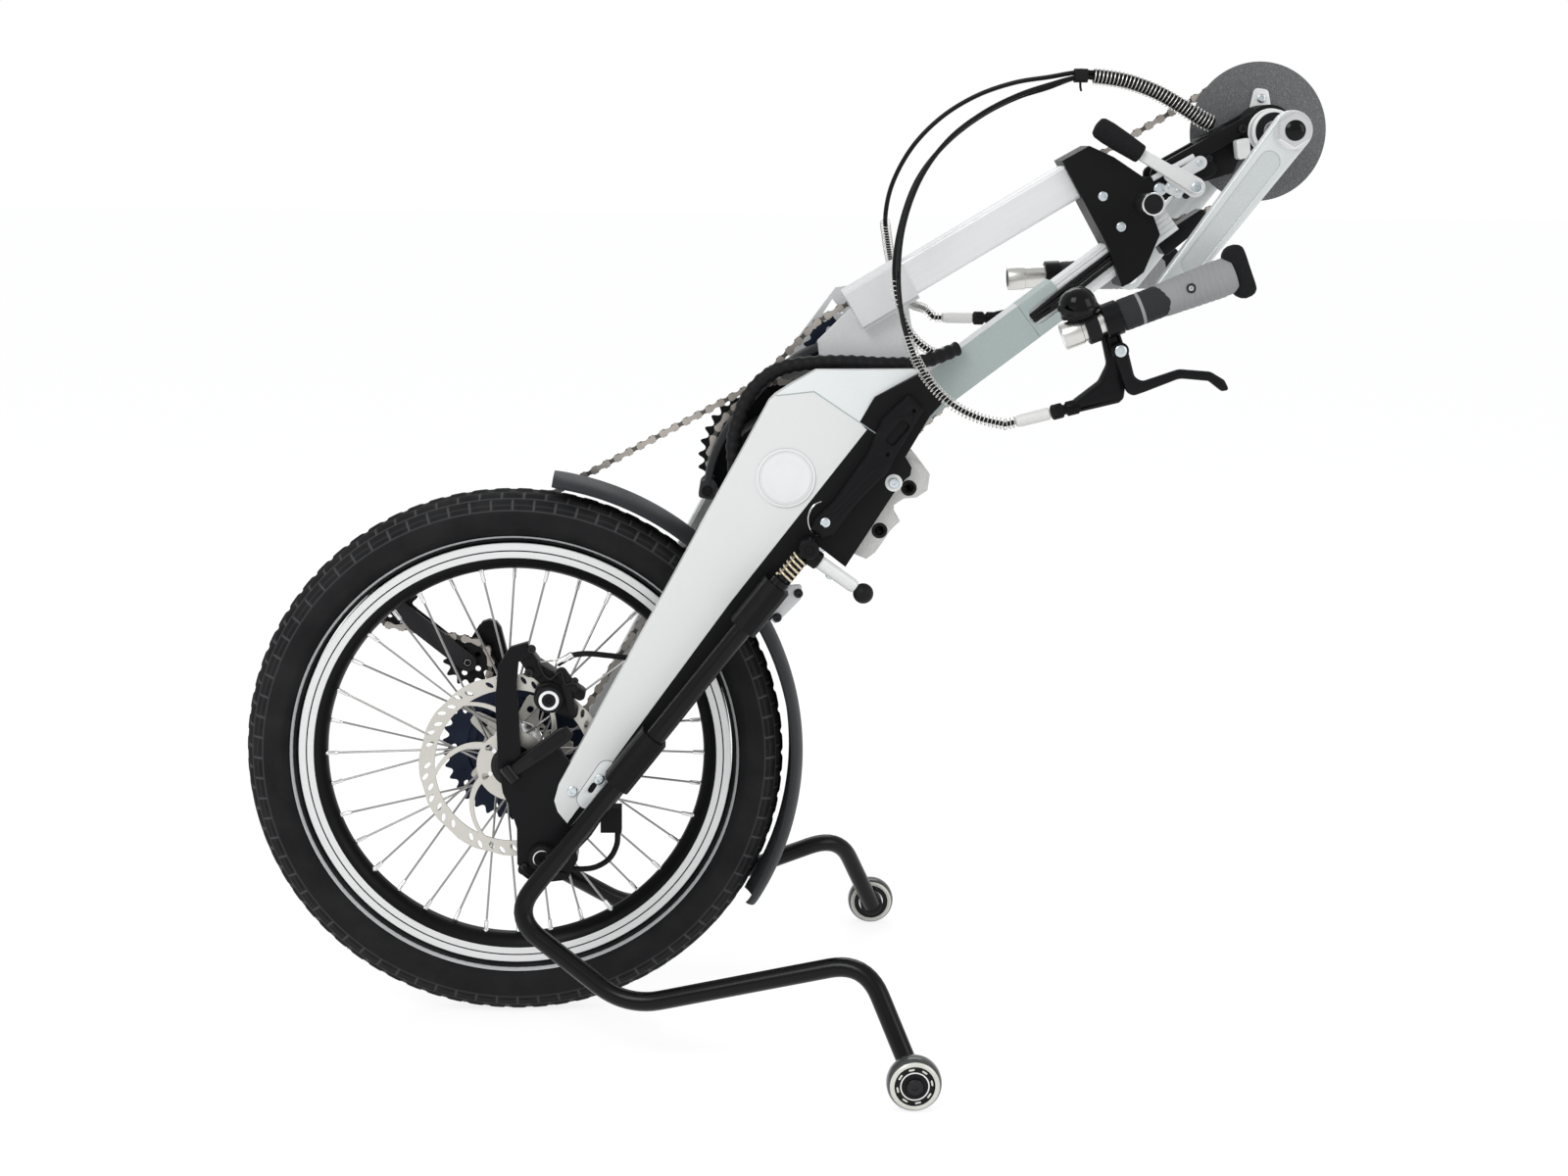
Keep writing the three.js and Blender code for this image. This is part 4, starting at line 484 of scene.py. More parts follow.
# Flat piece across the bike. The first outline is its outside, the others are holes; each
# outline is carried from one face to the other, its rims rounded over `edge`.
def plate(outlines, yA, yB, edge=0.6, steps=2):
    if isinstance(outlines, np.ndarray):
        outlines = [outlines]
    low, high = min(yA, yB), max(yA, yB)
    edge = min(edge, (high - low) / 2.2)
    points, faces, count, caps = [], [], 0, []
    for index, outline in enumerate(outlines):
        outline = np.asarray(outline, float)
        if (areaOf(outline) < 0) != (index > 0):
            outline = outline[::-1]
        turn = np.linspace(0, math.pi / 2, steps + 1) if edge > 0 else np.array([math.pi / 2])
        inset = edge * (1 - np.sin(turn))
        depth = edge * (1 - np.cos(turn))
        rows = [(inset[k], low + depth[k]) for k in range(len(turn))]
        rows += [(inset[k], high - depth[k]) for k in reversed(range(len(turn)))]
        loops = [shifted(outline, move) if move > 0 else outline for move, _ in rows]
        rings = np.stack([np.column_stack([loop[:, 0], np.full(len(loop), y), loop[:, 1]])
                          for loop, (_, y) in zip(loops, rows)])
        n = len(outline)
        faces += [[corner + count for corner in face] for face in gridFaces(len(rows), n)]
        points.append(rings.reshape(-1, 3))
        caps.append((loops[0], count, count + (len(rows) - 1) * n))
        count += len(rows) * n
    flat = [[Vector((x, z, 0)) for x, z in loop] for loop, _, _ in caps]
    lower = np.concatenate([start + np.arange(len(loop)) for loop, start, _ in caps])
    upper = np.concatenate([end + np.arange(len(loop)) for loop, _, end in caps])
    for a, b, c in tessellate_polygon(flat):
        corner = [flatPoint for loop in flat for flatPoint in loop]
        left = (corner[b] - corner[a]).cross(corner[c] - corner[a]).z > 0
        order = (a, b, c) if left else (c, b, a)
        faces.append([int(lower[k]) for k in order])
        faces.append([int(upper[k]) for k in order[::-1]])
    return outwards((np.concatenate(points), faces))


# Turned piece: [radius, distance] points spun about an axis. `loop` closes the profile on
# itself, otherwise its ends are closed by flat caps. `factor` changes the radius by row and angle.
def lathe(profile, origin, axis=(0, 1, 0), sides=32, loop=False, factor=None):
    profile = np.asarray(profile, float)
    axis = normalised(np.asarray(axis, float))
    helper = np.array([1.0, 0, 0]) if abs(axis[0]) < 0.9 else np.array([0, 0, 1.0])
    u = normalised(np.cross(axis, helper))
    v = np.cross(axis, u)
    angle = fullTurn(sides)
    around = np.cos(angle)[:, None] * u + np.sin(angle)[:, None] * v
    radius = profile[:, 0, None] * np.ones(sides)
    if factor is not None:
        radius = radius * factor
    rings = (np.asarray(origin, float) + radius[:, :, None] * around[None]
             + profile[:, 1, None, None] * axis)
    return ringTube(rings, loop)


# Screw with a rounded head and a six-sided socket; `out` is the direction it faces
def screw(place, out, radius=4.0, height=2.6, socket=0.45, sides=24):
    out = np.asarray(out, float)
    angle = fullTurn(sides)
    six = math.cos(math.pi / 6) / np.cos((angle % (math.pi / 3)) - math.pi / 6)
    rows = [(radius * 0.96, 0), (radius, height * 0.25), (radius, height * 0.6),
            (radius * 0.86, height * 0.93),
            (radius * 0.72, height), (radius * socket, height), (radius * socket * 0.97, height * 0.35)]
    factor = np.ones((len(rows), sides))
    factor[-2:] = six
    return lathe(rows, place, out, sides, factor=factor)


# Screws in a row, all facing one side: [x, y, z, radius, height] each
def screws(side, *rows):
    return join(*[screw((x, y, z), (0, side, 0), radius, height) for x, y, z, radius, height in rows])


def hexNut(place, out, radius, height, bore):
    ring = [(radius, 0), (radius, height - 0.8), (radius - 0.8, height), (bore, height), (bore, 0)]
    return lathe(ring, place, out, 6, loop=True)


def ball(centre, radius, sides=24):
    turn = np.linspace(-math.pi / 2 + 0.08, math.pi / 2 - 0.08, sides // 2)
    return lathe(polar(radius, turn), centre, (0, 0, 1), sides)


# Wire wound about a line at a steady pitch
def coil(line, radius, wire, turns, sides=8, stepsPerTurn=20):
    steps = turns * stepsPerTurn
    centre = evenLine(line, steps + 1)
    side, top = acrossLine(centre)
    angle = 2 * math.pi * np.arange(steps + 1)[:, None] / stepsPerTurn
    path = centre + radius * (side * np.cos(angle) + top * np.sin(angle))
    inward = normalised(centre - path)
    tangent = normalised(np.gradient(path, axis=0))
    across = normalised(np.cross(tangent, inward))
    section = circle(wire, sides)
    rings = path[:, None] + inward[:, None] * section[None, :, :1] + across[:, None] * section[None, :, 1:]
    return ringTube(rings)


# A round eye at each end of a strip, as one outline
def tapered(a, b, radiusA, radiusB, steps=16):
    a, b = np.asarray(a, float), np.asarray(b, float)
    heading = math.atan2(b[1] - a[1], b[0] - a[0])
    lean = math.acos((radiusA - radiusB) / float(np.linalg.norm(b - a)))
    first = np.linspace(heading + lean, heading + 2 * math.pi - lean, steps)
    second = np.linspace(heading - lean, heading + lean, steps)
    return np.vstack([
        a + radiusA * polar(1, first),
        b + radiusB * polar(1, second)])


def moved(outline, place):
    return np.asarray(outline, float) + np.asarray(place, float)


def turnedShape(shape, matrix, offset):
    points, faces = shape
    return points @ np.asarray(matrix, float).T + np.asarray(offset, float), faces


# A finished piece: its mesh, finishes, body and the nodes that it stands for
def piece(name, shape, finish, body, *nodes, smooth=38, places=None, slot=None):
    points, faces = shape
    mesh = bpy.data.meshes.new(name)
    mesh.from_pydata(inFrame(points).tolist(), [], faces)
    mesh.validate()
    names = [finish] if isinstance(finish, str) else finish
    for word in names:
        mesh.materials.append(finishes[word])
    if places is not None:
        mesh.polygons.foreach_set("material_index", np.asarray(places, np.int32))
    mesh.shade_smooth()
    mesh.set_sharp_from_angle(angle=smooth * degree)
    made = bpy.data.objects.new(name, mesh)
    bpy.context.collection.objects.link(made)
    if body:
        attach(made, body)
    if nodes:
        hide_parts(*nodes)
    return made


bodyOf = {node: body for body,
          members in frame["record"]["behaviour"]["bodies"].items() for node in members}


# A node with flat sides kept in shape: its faces are merged and its edges rounded
def dressed(node, finish, edge, steps=2, paintFaces=None, folds=(), reshape=None, crease=None):
    source = frame["nodes"][node].data
    count = len(source.vertices)
    points = np.zeros(count * 3)
    source.vertices.foreach_get("co", points)
    points = points.reshape(-1, 3)
    corners = np.zeros(len(source.loops), np.int64)
    source.loops.foreach_get("vertex_index", corners)
    unique, index = np.unique(np.round(points, 6), axis=0, return_inverse=True)
    triangles = index.reshape(-1)[corners].reshape(-1, 3)
    mesh = bpy.data.meshes.new(node)
    mesh.from_pydata(unique.tolist(), [], triangles.tolist())
    mesh.validate()
    work = bmesh.new()
    work.from_mesh(mesh)
    bmesh.ops.remove_doubles(work, verts=work.verts, dist=0.00002)
    bmesh.ops.dissolve_limit(work, angle_limit=1.2 * degree, verts=work.verts, edges=work.edges)
    for place, normal in folds:
        geometry = work.verts[:] + work.edges[:] + work.faces[:]
        bmesh.ops.bisect_plane(work, geom=geometry, plane_co=Vector(inFrame(place)),
                               plane_no=Vector(normal))
    if reshape is not None:
        for vertex in work.verts:
            vertex.co = Vector(inFrame(reshape(*fromFrame(vertex.co))))
    work.to_mesh(mesh)
    work.free()
    names = [finish] if isinstance(finish, str) else finish
    for word in names:
        mesh.materials.append(finishes[word])
    if paintFaces is not None:
        centres = np.zeros(len(mesh.polygons) * 3)
        normals = np.zeros(len(mesh.polygons) * 3)
        mesh.polygons.foreach_get("center", centres)
        mesh.polygons.foreach_get("normal", normals)
        index = paintFaces(fromFrame(centres.reshape(-1, 3)), normals.reshape(-1, 3))
        mesh.polygons.foreach_set("material_index", index.astype(np.int32))
    mesh.shade_smooth()
    if crease is not None:
        mesh.set_sharp_from_angle(angle=crease * degree)
    words = node.split("_")
    made = bpy.data.objects.new(words[0] + "".join(word.capitalize() for word in words[1:]), mesh)
    bpy.context.collection.objects.link(made)
    bevel = made.modifiers.new("roundedEdges", "BEVEL")
    bevel.width = edge * mm
    bevel.segments = steps
    bevel.limit_method = "ANGLE"
    bevel.angle_limit = 24 * degree
    bevel.harden_normals = True
    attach(made, bodyOf[node])
    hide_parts(node)
    return made


# Wheel: tyre with two rows of blocks a side, rim with its pale band, spokes, hub
tyre = {
    "radius": 259.0, "bead": 209.6, "halfWidth": 26.4, "blocks": 76, "blockHeight": 1.5,
    "shoulder": 0.9, "strip": (213.4, 215.8),
}


# Rings round the axle: a row of radii and one of sideways places at each angle
def wheelRings(radius, side, turn):
    return np.stack([radius * np.cos(turn)[:, None], side, radius * np.sin(turn)[:, None]], axis=2)


# Section of the tyre by its angle t from the crown: an oval drawn in to the bead. Blocks
# stand up where two waves, one round the wheel and one across the crown, are both high.
def makeTyre():
    blocks, perBlock, across = tyre["blocks"], 12, 90
    turn = fullTurn(blocks * perBlock)
    t = np.linspace(-1, 1, across)
    middle = (tyre["radius"] + tyre["bead"]) / 2 - 1
    high = tyre["radius"] - tyre["blockHeight"] - middle
    low = middle - tyre["bead"]
    angle = t * 2.36
    lateral = np.sin(angle)
    lateral = np.sign(lateral) * np.abs(lateral) ** 0.9 * (tyre["halfWidth"] - 0.8)
    upward = np.where(np.cos(angle) > 0, np.cos(angle) * high, np.cos(angle) * low * 1.38)
    upward = np.maximum(upward, -low)
    narrow = np.where(np.abs(angle) > 1.9, 1 - (np.abs(angle) - 1.9) * 0.75, 1.0)
    lateral = lateral * narrow
    phase = (turn[:, None] * blocks / (2 * math.pi)) % 1
    offPhase = (phase + 0.5) % 1

    def bar(value, start, end, soft):
        return np.clip((value - start) / soft, 0, 1) * np.clip((end - value) / soft, 0, 1)

    size = np.abs(angle)[None]
    crown = bar(size, -1, 0.20, 0.07) * bar(phase, 0.10, 0.92, 0.10)
    middleRow = bar(size, 0.30, 0.66, 0.07) * bar(offPhase, 0.10, 0.92, 0.10)
    shoulder = bar(size, 0.78, 1.16, 0.07) * bar(phase, 0.14, 0.90, 0.10)
    raised = np.clip(crown + middleRow, 0, 1) * tyre["blockHeight"] + shoulder * tyre["shoulder"]
    # Thin lighter lines: across each row between its blocks, and round the wheel beside the rows
    crossLine = (bar(size, 0.30, 0.72, 0.03) * (np.abs(phase - 0.5) < 0.045)
                 + bar(size, 0.76, 1.24, 0.03) * (np.minimum(phase, 1 - phase) < 0.045))
    roundLine = sum((np.abs(size - at) < 0.027) * shade for at,
                    shade in ((0.74, 0.7), (1.26, 0.6), (1.02, 0.25)))
    groove = np.clip(crossLine + roundLine, 0, 1)
    ridge = 0.35 * bar(size, 1.22, 1.27, 0.02) + 0.3 * bar(size, 1.74, 1.79, 0.02)
    outwardR, outwardY = np.cos(angle), np.sin(angle)
    radius = middle + upward[None] + (raised + ridge) * outwardR[None]
    side = lateral[None] + (raised + ridge) * outwardY[None] * 0.6
    rings = wheelRings(radius, side + 0 * radius, turn)
    # The inner side closes the section with a wall thickness
    inner = np.array([[tyre["bead"], 7.5], [tyre["bead"] + 8, 12], [middle, 20], [tyre["radius"] - 12, 10]])
    inner = np.vstack([inner, inner[::-1] * (1, -1)])
    ringsIn = wheelRings(inner[None, :, 0], inner[None, :, 1] + 0 * turn[:, None], turn)
    rings = np.concatenate([rings, ringsIn], axis=1)
    shape = ringTube(rings, loop=True)
    made = piece("tyre", shape, "tyreRubber", "wheel", "tyre", smooth=40)
    shade = np.concatenate([groove, np.zeros((len(turn), len(inner)))], axis=1)
    made.data.attributes.new("groove", "FLOAT", "POINT").data.foreach_set("value", shade.ravel())

    # Thin moulding hairs on the shoulder blocks, and the grey reflective strip
    hairs = []
    for i in range(0, blocks, 2):
        for sign, size in ((-1, 1.22), (1, 1.22), (-1, 0.72), (1, 0.72)):
            bend = (i + 0.5 + rng.uniform(-0.25, 0.25)) * 2 * math.pi / blocks
            rise = middle + math.cos(size) * high + 1.0
            lateralAt = sign * (abs(math.sin(size)) ** 0.9 * (tyre["halfWidth"] - 0.8) + 0.4)
            start = np.array([rise * math.cos(bend), lateralAt, rise * math.sin(bend)])
            lean = np.array([math.cos(bend) * 0.6, sign * 0.8, math.sin(bend) * 0.6])
            lean += rng.uniform(-0.3, 0.3, 3)
            end = start + lean / np.linalg.norm(lean) * rng.uniform(1.6, 3.0)
            if math.hypot(end[0], end[2]) < tyre["radius"] - 0.5 and abs(end[1]) < tyre["halfWidth"] + 0.4:
                hairs.append(hose([start, (start + end) / 2, end], 0.28, 4))
    piece("tyreHairs", join(*hairs), "tyreRubber", "wheel", slot="tyre")
    strips = []
    for sign in (-1, 1):
        inside, outside = tyre["strip"]
        profile = [(inside, 15.6), (inside + 0.8, 16.9), (outside - 0.8, 19.6), (outside, 20.4),
                   (outside, 18.6), (inside, 14.2)]
        strips.append(lathe([(r, sign * y) for r, y in profile], origin, sides=160, loop=True))
    piece("reflexStrips", join(*strips), "reflexBand", "wheel", slot="rim")


wheelRim = {"outer": 208.4, "band": 194.0, "line": (200.2, 201.5), "bore": 181.6, "half": 15.0,
            "spokes": 36}


def makeRim():
    outer, band, bore = wheelRim["outer"], wheelRim["band"], wheelRim["bore"]
    lineIn, lineOut = wheelRim["line"]
    half = wheelRim["half"]
    profile = [
        (bore + 1.0, 4.6), (bore + 4, 9.6), (bore + 9.5, 13.4), (band - 0.8, half - 0.7),
        (band, half - 0.3),
        (band + 0.4, half), (lineIn, half), (lineIn + 0.15, half - 0.25), (lineOut - 0.15, half - 0.25),
        (lineOut, half),
        (outer - 0.6, half), (outer, half - 0.6), (outer, half - 2.2), (outer - 4.2, half - 2.6),
        (outer - 7, 8), (outer - 8, 0)]
    inside = [(bore, 0.0)]
    mirrored = [(r, -y) for r, y in profile[:-1]][::-1]
    ring = inside + profile + mirrored
    sides = 240
    shape = lathe(ring, origin, sides=sides, loop=True)
    silver = [4, 5, 9, 10, 11]
    columns = len(ring)
    index = np.zeros(columns, np.int32)
    for k in silver:
        index[1 + k] = 1
    # Mirrored stretch: the same faces on the other side
    for k in silver:
        index[(columns - 1 - (1 + k)) % columns] = 1
    rows = np.arange(len(shape[1])) // sides
    piece("rim", shape, ["rimBlack", "rimBand"], "wheel", "rim", places=index[rows], smooth=30)

    spokes, nipples = [], []
    count, flangeRadius, nippleRadius = wheelRim["spokes"], 25.5, 183.0
    for i in range(count):
        angle = 2 * math.pi * i / count
        turn = 1 if i % 4 < 2 else -1
        flangeY, rimY = (16, 2.4) if i % 2 else (-33, -2.4)
        x, z = polar(flangeRadius, angle + turn * 30 * degree)
        start = np.array([x, flangeY + turn * 1.6, z])
        x, z = polar(nippleRadius, angle)
        end = np.array([x, rimY + turn * 1.2, z])
        line = start + (end - start) * np.linspace(0, 1, 6)[:, None]
        spokes.append(hose(line, 1.1, 8))
        aim = normalised(start - end)
        tip = end + aim * 12.5
        nipples.append(lathe([(2.7, 0), (2.7, 1.6), (2.2, 2.2), (2.1, 11.2), (1.6, 12.4)],
                             end, tip - end, 10))
    piece("spokes", join(*spokes), "steelSpoke", "wheel", slot="chrome")
    piece("nipples", join(*nipples), "polished", "wheel")

    x, z = polar(1, 35 * degree)
    profile = [(2.9, 0), (2.9, 3), (2.4, 4), (2.4, 17), (3.3, 17.4), (3.3, 27), (2.6, 29)]
    valve = lathe(profile, (182 * x, 0, 182 * z), (-x, 0, -z), 14)
    piece("valve", valve, "plasticBlack", "wheel")


def makeHub():
    profile = [
        (3.6, -74.2), (4.4, -74.2), (4.4, -67), (8.6, -67), (8.8, -62), (8.8, -56), (8.8, -51.2),
        (21, -51.2), (21.5, -47),
        (18, -44), (17.5, -37.5), (27, -36), (27.6, -34.8), (27.6, -32.4), (26.6, -31.2), (16, -29.5),
        (13.2, -24),
        (12.6, -8), (13.4, 6), (17, 12), (26.6, 14.2), (27.6, 15.2), (27.6, 17.2), (26.8, 18), (16.6, 18.4),
        (16.6, 57.2),
        (8.8, 57.2), (8.8, 67), (4.4, 67), (4.4, 74.2), (3.6, 74.2),
    ]
    piece("wheelHub", lathe(profile, origin, sides=48, loop=True), "polished", "wheel", "wheel_hub")


rotorSizes = {"radius": 89.8, "ring": 76.5, "carrier": 25.5, "y": (-52.6, -51.2), "arms": 6, "scallops": 12}


# Brake disc: scalloped rim with slanted oblong slots, six arms that bow and fork at the carrier
def makeRotor():
    radius, ringIn, carrier = rotorSizes["radius"], rotorSizes["ring"], rotorSizes["carrier"]
    low, high = rotorSizes["y"]
    angle = fullTurn(240)
    wave = 1.3 * np.clip(np.cos(rotorSizes["scallops"] * angle), -1, 0.2)
    outline = polar(radius - 1.0 + wave * 0.8, angle)
    holes = []
    arms = rotorSizes["arms"]

    # An arm's middle line leans with its radius
    def armAngle(r):
        return 0.85 * ((r - carrier) / (ringIn - carrier)) ** 1.3

    for k in range(arms):
        start = 2 * math.pi * k / arms + 0.35
        rOut = np.linspace(carrier + 9, ringIn - 2.5, 12)
        armHalf = 3.4
        left = start + armAngle(rOut) + armHalf / rOut
        right = start + 2 * math.pi / arms + armAngle(rOut) - armHalf / rOut
        ring = np.linspace(left[-1], right[-1], 12)
        inner = np.linspace(right[0], left[0], 8)
        points = [polar(r, a) for r, a in zip(rOut, left)]
        points += [polar(ringIn - 2.5, a) for a in ring[1:-1]]
        points += [polar(r, a) for r, a in zip(rOut[::-1], right[::-1])]
        points += [polar(carrier + 9, a) for a in inner[1:-1]]
        holes.append(np.array(points))
        # The small window where an arm forks
        middle = start + armAngle(carrier + 4)
        fork = [(carrier - 3.5, 0.0), (carrier + 4.4, -0.115),
                (carrier + 6.2, 0.02), (carrier + 4.6, 0.125)]
        holes.append(rounded([polar(r, middle + a) for r, a in fork], 1.4, 3))
    slotAngle = 2 * math.pi / 48
    for k in range(48):
        if k % 8 == 7:
            continue
        r = (radius + ringIn) / 2 - 0.8 + (1.4 if k % 2 else -1.4)
        centre = polar(r, k * slotAngle)
        lean = k * slotAngle + 0.75
        axisX, axisY = polar(1, lean), polar(1, lean + math.pi / 2)
        bend = fullTurn(12)
        holes.append(centre + np.outer(np.cos(bend) * 4.2, axisX) + np.outer(np.sin(bend) * 1.9, axisY))
    bore = circle(10.5, 32)
    piece("rotorDisc", plate([outline, *holes, bore], low, high, 0.25, 1), "rotorSteel", "wheel", "rotor",
          smooth=30)
    carrierShape = lathe([(9.4, low - 0.1), (15.2, low - 1.5), (16.2, low - 1.5), (16.8, low - 0.1),
                          (20.8, low - 0.1), (21.4, high - 0.2),
                          (9.4, high - 0.2)], origin, sides=48, loop=True)
    piece("rotorCarrier", carrierShape, "blackBolt", "wheel", slot="cogs")
    rivets = []
    for a in np.arange(6) * math.pi / 3 + 0.35:
        x, z = polar(22.6, a)
        rivets.append(lathe([(2.2, low - 0.9), (2.4, low - 0.5), (2.4, low), (1.0, low)],
                            (x, 0, z), sides=12))
    piece("rotorRivets", join(*rivets), "polished", "wheel")


# Sprocket outline: round gullets at the roots, straight flanks up to narrow tips
def cogOutline(teeth, pitchRadius, tip=2.6, root=3.6):
    step = 2 * math.pi / teeth
    shape = [(0.0, pitchRadius - root), (0.13, pitchRadius - root * 0.86), (0.24, pitchRadius - root * 0.4),
             (0.36, pitchRadius + tip * 0.45), (0.44, pitchRadius + tip * 0.92), (0.5, pitchRadius + tip),
             (0.56, pitchRadius + tip * 0.92), (0.64, pitchRadius + tip * 0.45),
             (0.76, pitchRadius - root * 0.4),
             (0.87, pitchRadius - root * 0.86)]
    return np.array([polar(r, (k + share) * step) for k in range(teeth) for share, r in shape])


cassetteSizes = {"teeth": [36, 32, 28, 25, 23, 21, 19, 15, 13], "start": 20.1, "step": 4.0, "pitch": 12.7}


def pitchRadius(teeth):
    return cassetteSizes["pitch"] / (2 * math.sin(math.pi / teeth))


def makeCassette():
    cogs, spiders = [], []
    for k, teeth in enumerate(cassetteSizes["teeth"]):
        y = cassetteSizes["start"] + cassetteSizes["step"] * k
        r = pitchRadius(teeth) * (38.0 / 38.58)
        outline = cogOutline(teeth, r, 2.4, 3.4)
        holes = [circle(17.6 if r < 48 else r - 22, 48)]
        if r > 36:
            count = 10 if r > 48 else 8
            for j in range(count):
                a = 2 * math.pi * (j + 0.2 * k) / count
                holes.append(moved(circle(3.2 if r > 48 else 2.6, 12), polar(r - 9.5, a)))
        cogs.append(plate([outline, *holes], y, y + 1.8, 0.3, 1))
        if k < len(cassetteSizes["teeth"]) - 1:
            spiders.append(lathe([(17.6, y + 1.8), (21, y + 1.8), (21, y + cassetteSizes["step"]),
                                  (17.6, y + cassetteSizes["step"])],
                                 origin, sides=32, loop=True))
    piece("cassette", join(*cogs), "cogBlue", "wheel", "cassette", smooth=30)
    piece("cassetteSpacers", join(*spiders), "steelBright", "wheel", slot="cogs")
    lockring = lathe([(8, 56.2), (15.5, 56.2), (16.4, 57.2), (12.5, 57.2), (12, 55.4), (8, 55.4)],
                     origin, sides=40, loop=True)
    piece("cassetteLockring", lockring, "steelBright", "wheel", slot="cogs")
    # Pierced disc between the spokes and the largest cog
    bend = fullTurn(140)
    lobes = 34 + 20 * np.clip(np.cos(5 * bend) + 0.15, 0, 1) ** 2
    ring = [polar(lobes, bend), circle(19, 64)]
    for j in range(5):
        a = 2 * math.pi * j / 5
        ring.append(moved(circle(3.4, 16), polar(40, a)))
        ring.append(moved(circle(4.4, 16), polar(27, a + 0.6)))
    piece("spiderDisc", plate(ring, 18.7, 20.0, 0.3, 1), "rotorSteel", "wheel", slot="chrome")


makeTyre()
makeRim()
makeHub()
makeRotor()
makeCassette()
print("wheel made")


# Legs: silver covers with their sloping top, black rails, dropouts
legs = {
    "outer": 85.0, "fold": [(246, 357.5), (281, 361.5), (338, 323.5)], "slope": 0.13,
    "badge": (256.0, 281.5), "badgeRadius": 27.4,
    "slotPill": ((90.3, 4.2), (71.4, -23.9)), "slotBolt": (83.8, -4.4), "slotHole": (76.9, -12.6),
    "coverScrew": (58, -16.5), "railScrew": (355.7, 277.5),
}


# Distance that a place lies above the fold of the cover, over its left and its right stretch
def aboveFold(x, z):
    first, apex, last = [np.array(place, float) for place in legs["fold"]]
    left, right = normalised(apex - first), normalised(last - apex)
    toPlace = np.array([x, z]) - apex
    return max(-left[1] * toPlace[0] + left[0] * toPlace[1],
               -right[1] * toPlace[0] + right[0] * toPlace[1], 0.0)


# The cover above its fold leans inwards and gets a painted highlight, a lighter copy of the silver
def paintFacetHighlight(centres, normals):
    lean = np.abs(normals[:, 1])
    return ((lean > 0.9) & (lean < 0.998)).astype(int)


def makeLegs():
    first, apex, last = [np.array(place, float) for place in legs["fold"]]
    left, right = normalised(apex - first), normalised(last - apex)
    ridge = normalised(left - right)
    across = [(-left[1], 0, left[0]), (-right[1], 0, right[0]), (-ridge[1], 0, ridge[0])]
    # The ridge between the two slopes runs up from the apex
    folds = [((apex[0], 0, apex[1]), normal) for normal in across]
    for word, side in (("near", -1), ("far", 1)):
        title = word.capitalize()

        def slope(x, y, z):
            if abs(y) < 80:
                return (x, y, z)
            return (x, y - side * legs["slope"] * aboveFold(x, z), z)

        # The facet above the fold takes the lighter silver, a painted highlight
        dressed(f"leg_cover_{word}", ["coverSilver", "coverFacet"], 1.6, 3, folds=folds, reshape=slope,
                paintFaces=paintFacetHighlight, crease=5)
        dressed(f"leg_rail_{word}", "powderBlack", 1.0)
        dressed(f"dropout_{word}", "satinBlack", 0.9)
        outer = side * legs["outer"]
        out = (0, side, 0)
        bx, bz = legs["badge"]
        r = legs["badgeRadius"]
        face = [(r, -0.6), (r, 0.9), (r - 0.6, 1.5), (r - 2.4, 1.5), (r - 2.8, 0.4), (r - 4.4, 0.4),
                (r - 4.8, 1.5), (0.4, 1.6)]
        groove = np.isin(np.arange(len(face) * 96) // 96, (0, 3, 4)).astype(int)[:(len(face) - 1) * 96 + 2]
        groove[-2:] = 0
        piece(f"badge{title}", lathe(face, (bx, outer, bz), out, 96),
              ["badgeWhite", "knobGrey"], "frame", places=groove)
        # Screws and the slotted washer low on the cover
        high, low = [np.array(place) for place in legs["slotPill"]]
        pill = tapered(high, low, 9.0, 8.99, 14)
        holeAt = [np.array(legs["slotHole"]) + way * np.array([1.6, 2.4]) for way in (-1, 1)]
        hole = tapered(*holeAt, 2.7, 2.69, 8)
        y1 = outer - side * 0.2
        piece(f"slotWasher{title}", plate([pill, hole], y1, y1 + side * 2.2, 0.5), "coverFacet", "frame")
        # A grey pill a little larger than the washer, just under it, is painted shadow round its edge
        shade = plate([tapered(high, low, 9.7, 9.69, 14)], outer - side * 0.3, outer + side * 0.25, 0)
        piece(f"slotShade{title}", shade, "knobGrey", "frame")
        sink = plate([tapered(*holeAt, 2.65, 2.64, 8)], outer - side * 1.0, outer + side * 0.6, 0)
        piece(f"slotSink{title}", sink, "plasticBlack", "frame", slot="black")
        boltX, boltZ = legs["slotBolt"]
        coverX, coverZ = legs["coverScrew"]
        railX, railZ = legs["railScrew"]
        seat = outer - side * 0.1
        bolts = screws(side, (boltX, outer + side * 1.8, boltZ, 5.4, 3.2), (coverX, seat, coverZ, 5.2, 2.2),
                       (railX, seat, railZ, 5.0, 3.0))
        piece(f"legScrews{title}", bolts, "zincBolt", "frame")
        washer = lathe([(8.0, 0), (8.0, 0.4), (5.0, 0.5)], (railX, seat, railZ), out, 32)
        piece(f"railWasher{title}", washer, "coverSilver", "frame")
        # The bend in the cover's sheet, drawn as a thin grey-green line of painted shade
        crease = [(x, outer, z) for x, z in legs["fold"]]
        piece(f"coverCreaseShade{title}", hose(evenLine(crease, 60), 0.55, 8), "sleeveGrey", "frame")


makeLegs()

# Hub side: calipers with their knobs and cables
calipers = {
    "upperKnob": (36.6, 71.2), "lowerKnob": (28.9, -82.3), "knobStart": 76.2,
    "upperCable": [(46, -62, 103), (56, -63, 109), (70, -62, 111), (90, -60, 109), (112, -58, 106),
                   (140, -57, 104)],
    "lowerCable": [(52, -62, -98), (62, -63, -99), (78, -64, -97), (92, -65, -88), (99, -66, -74),
                   (100, -67, -62)],
}


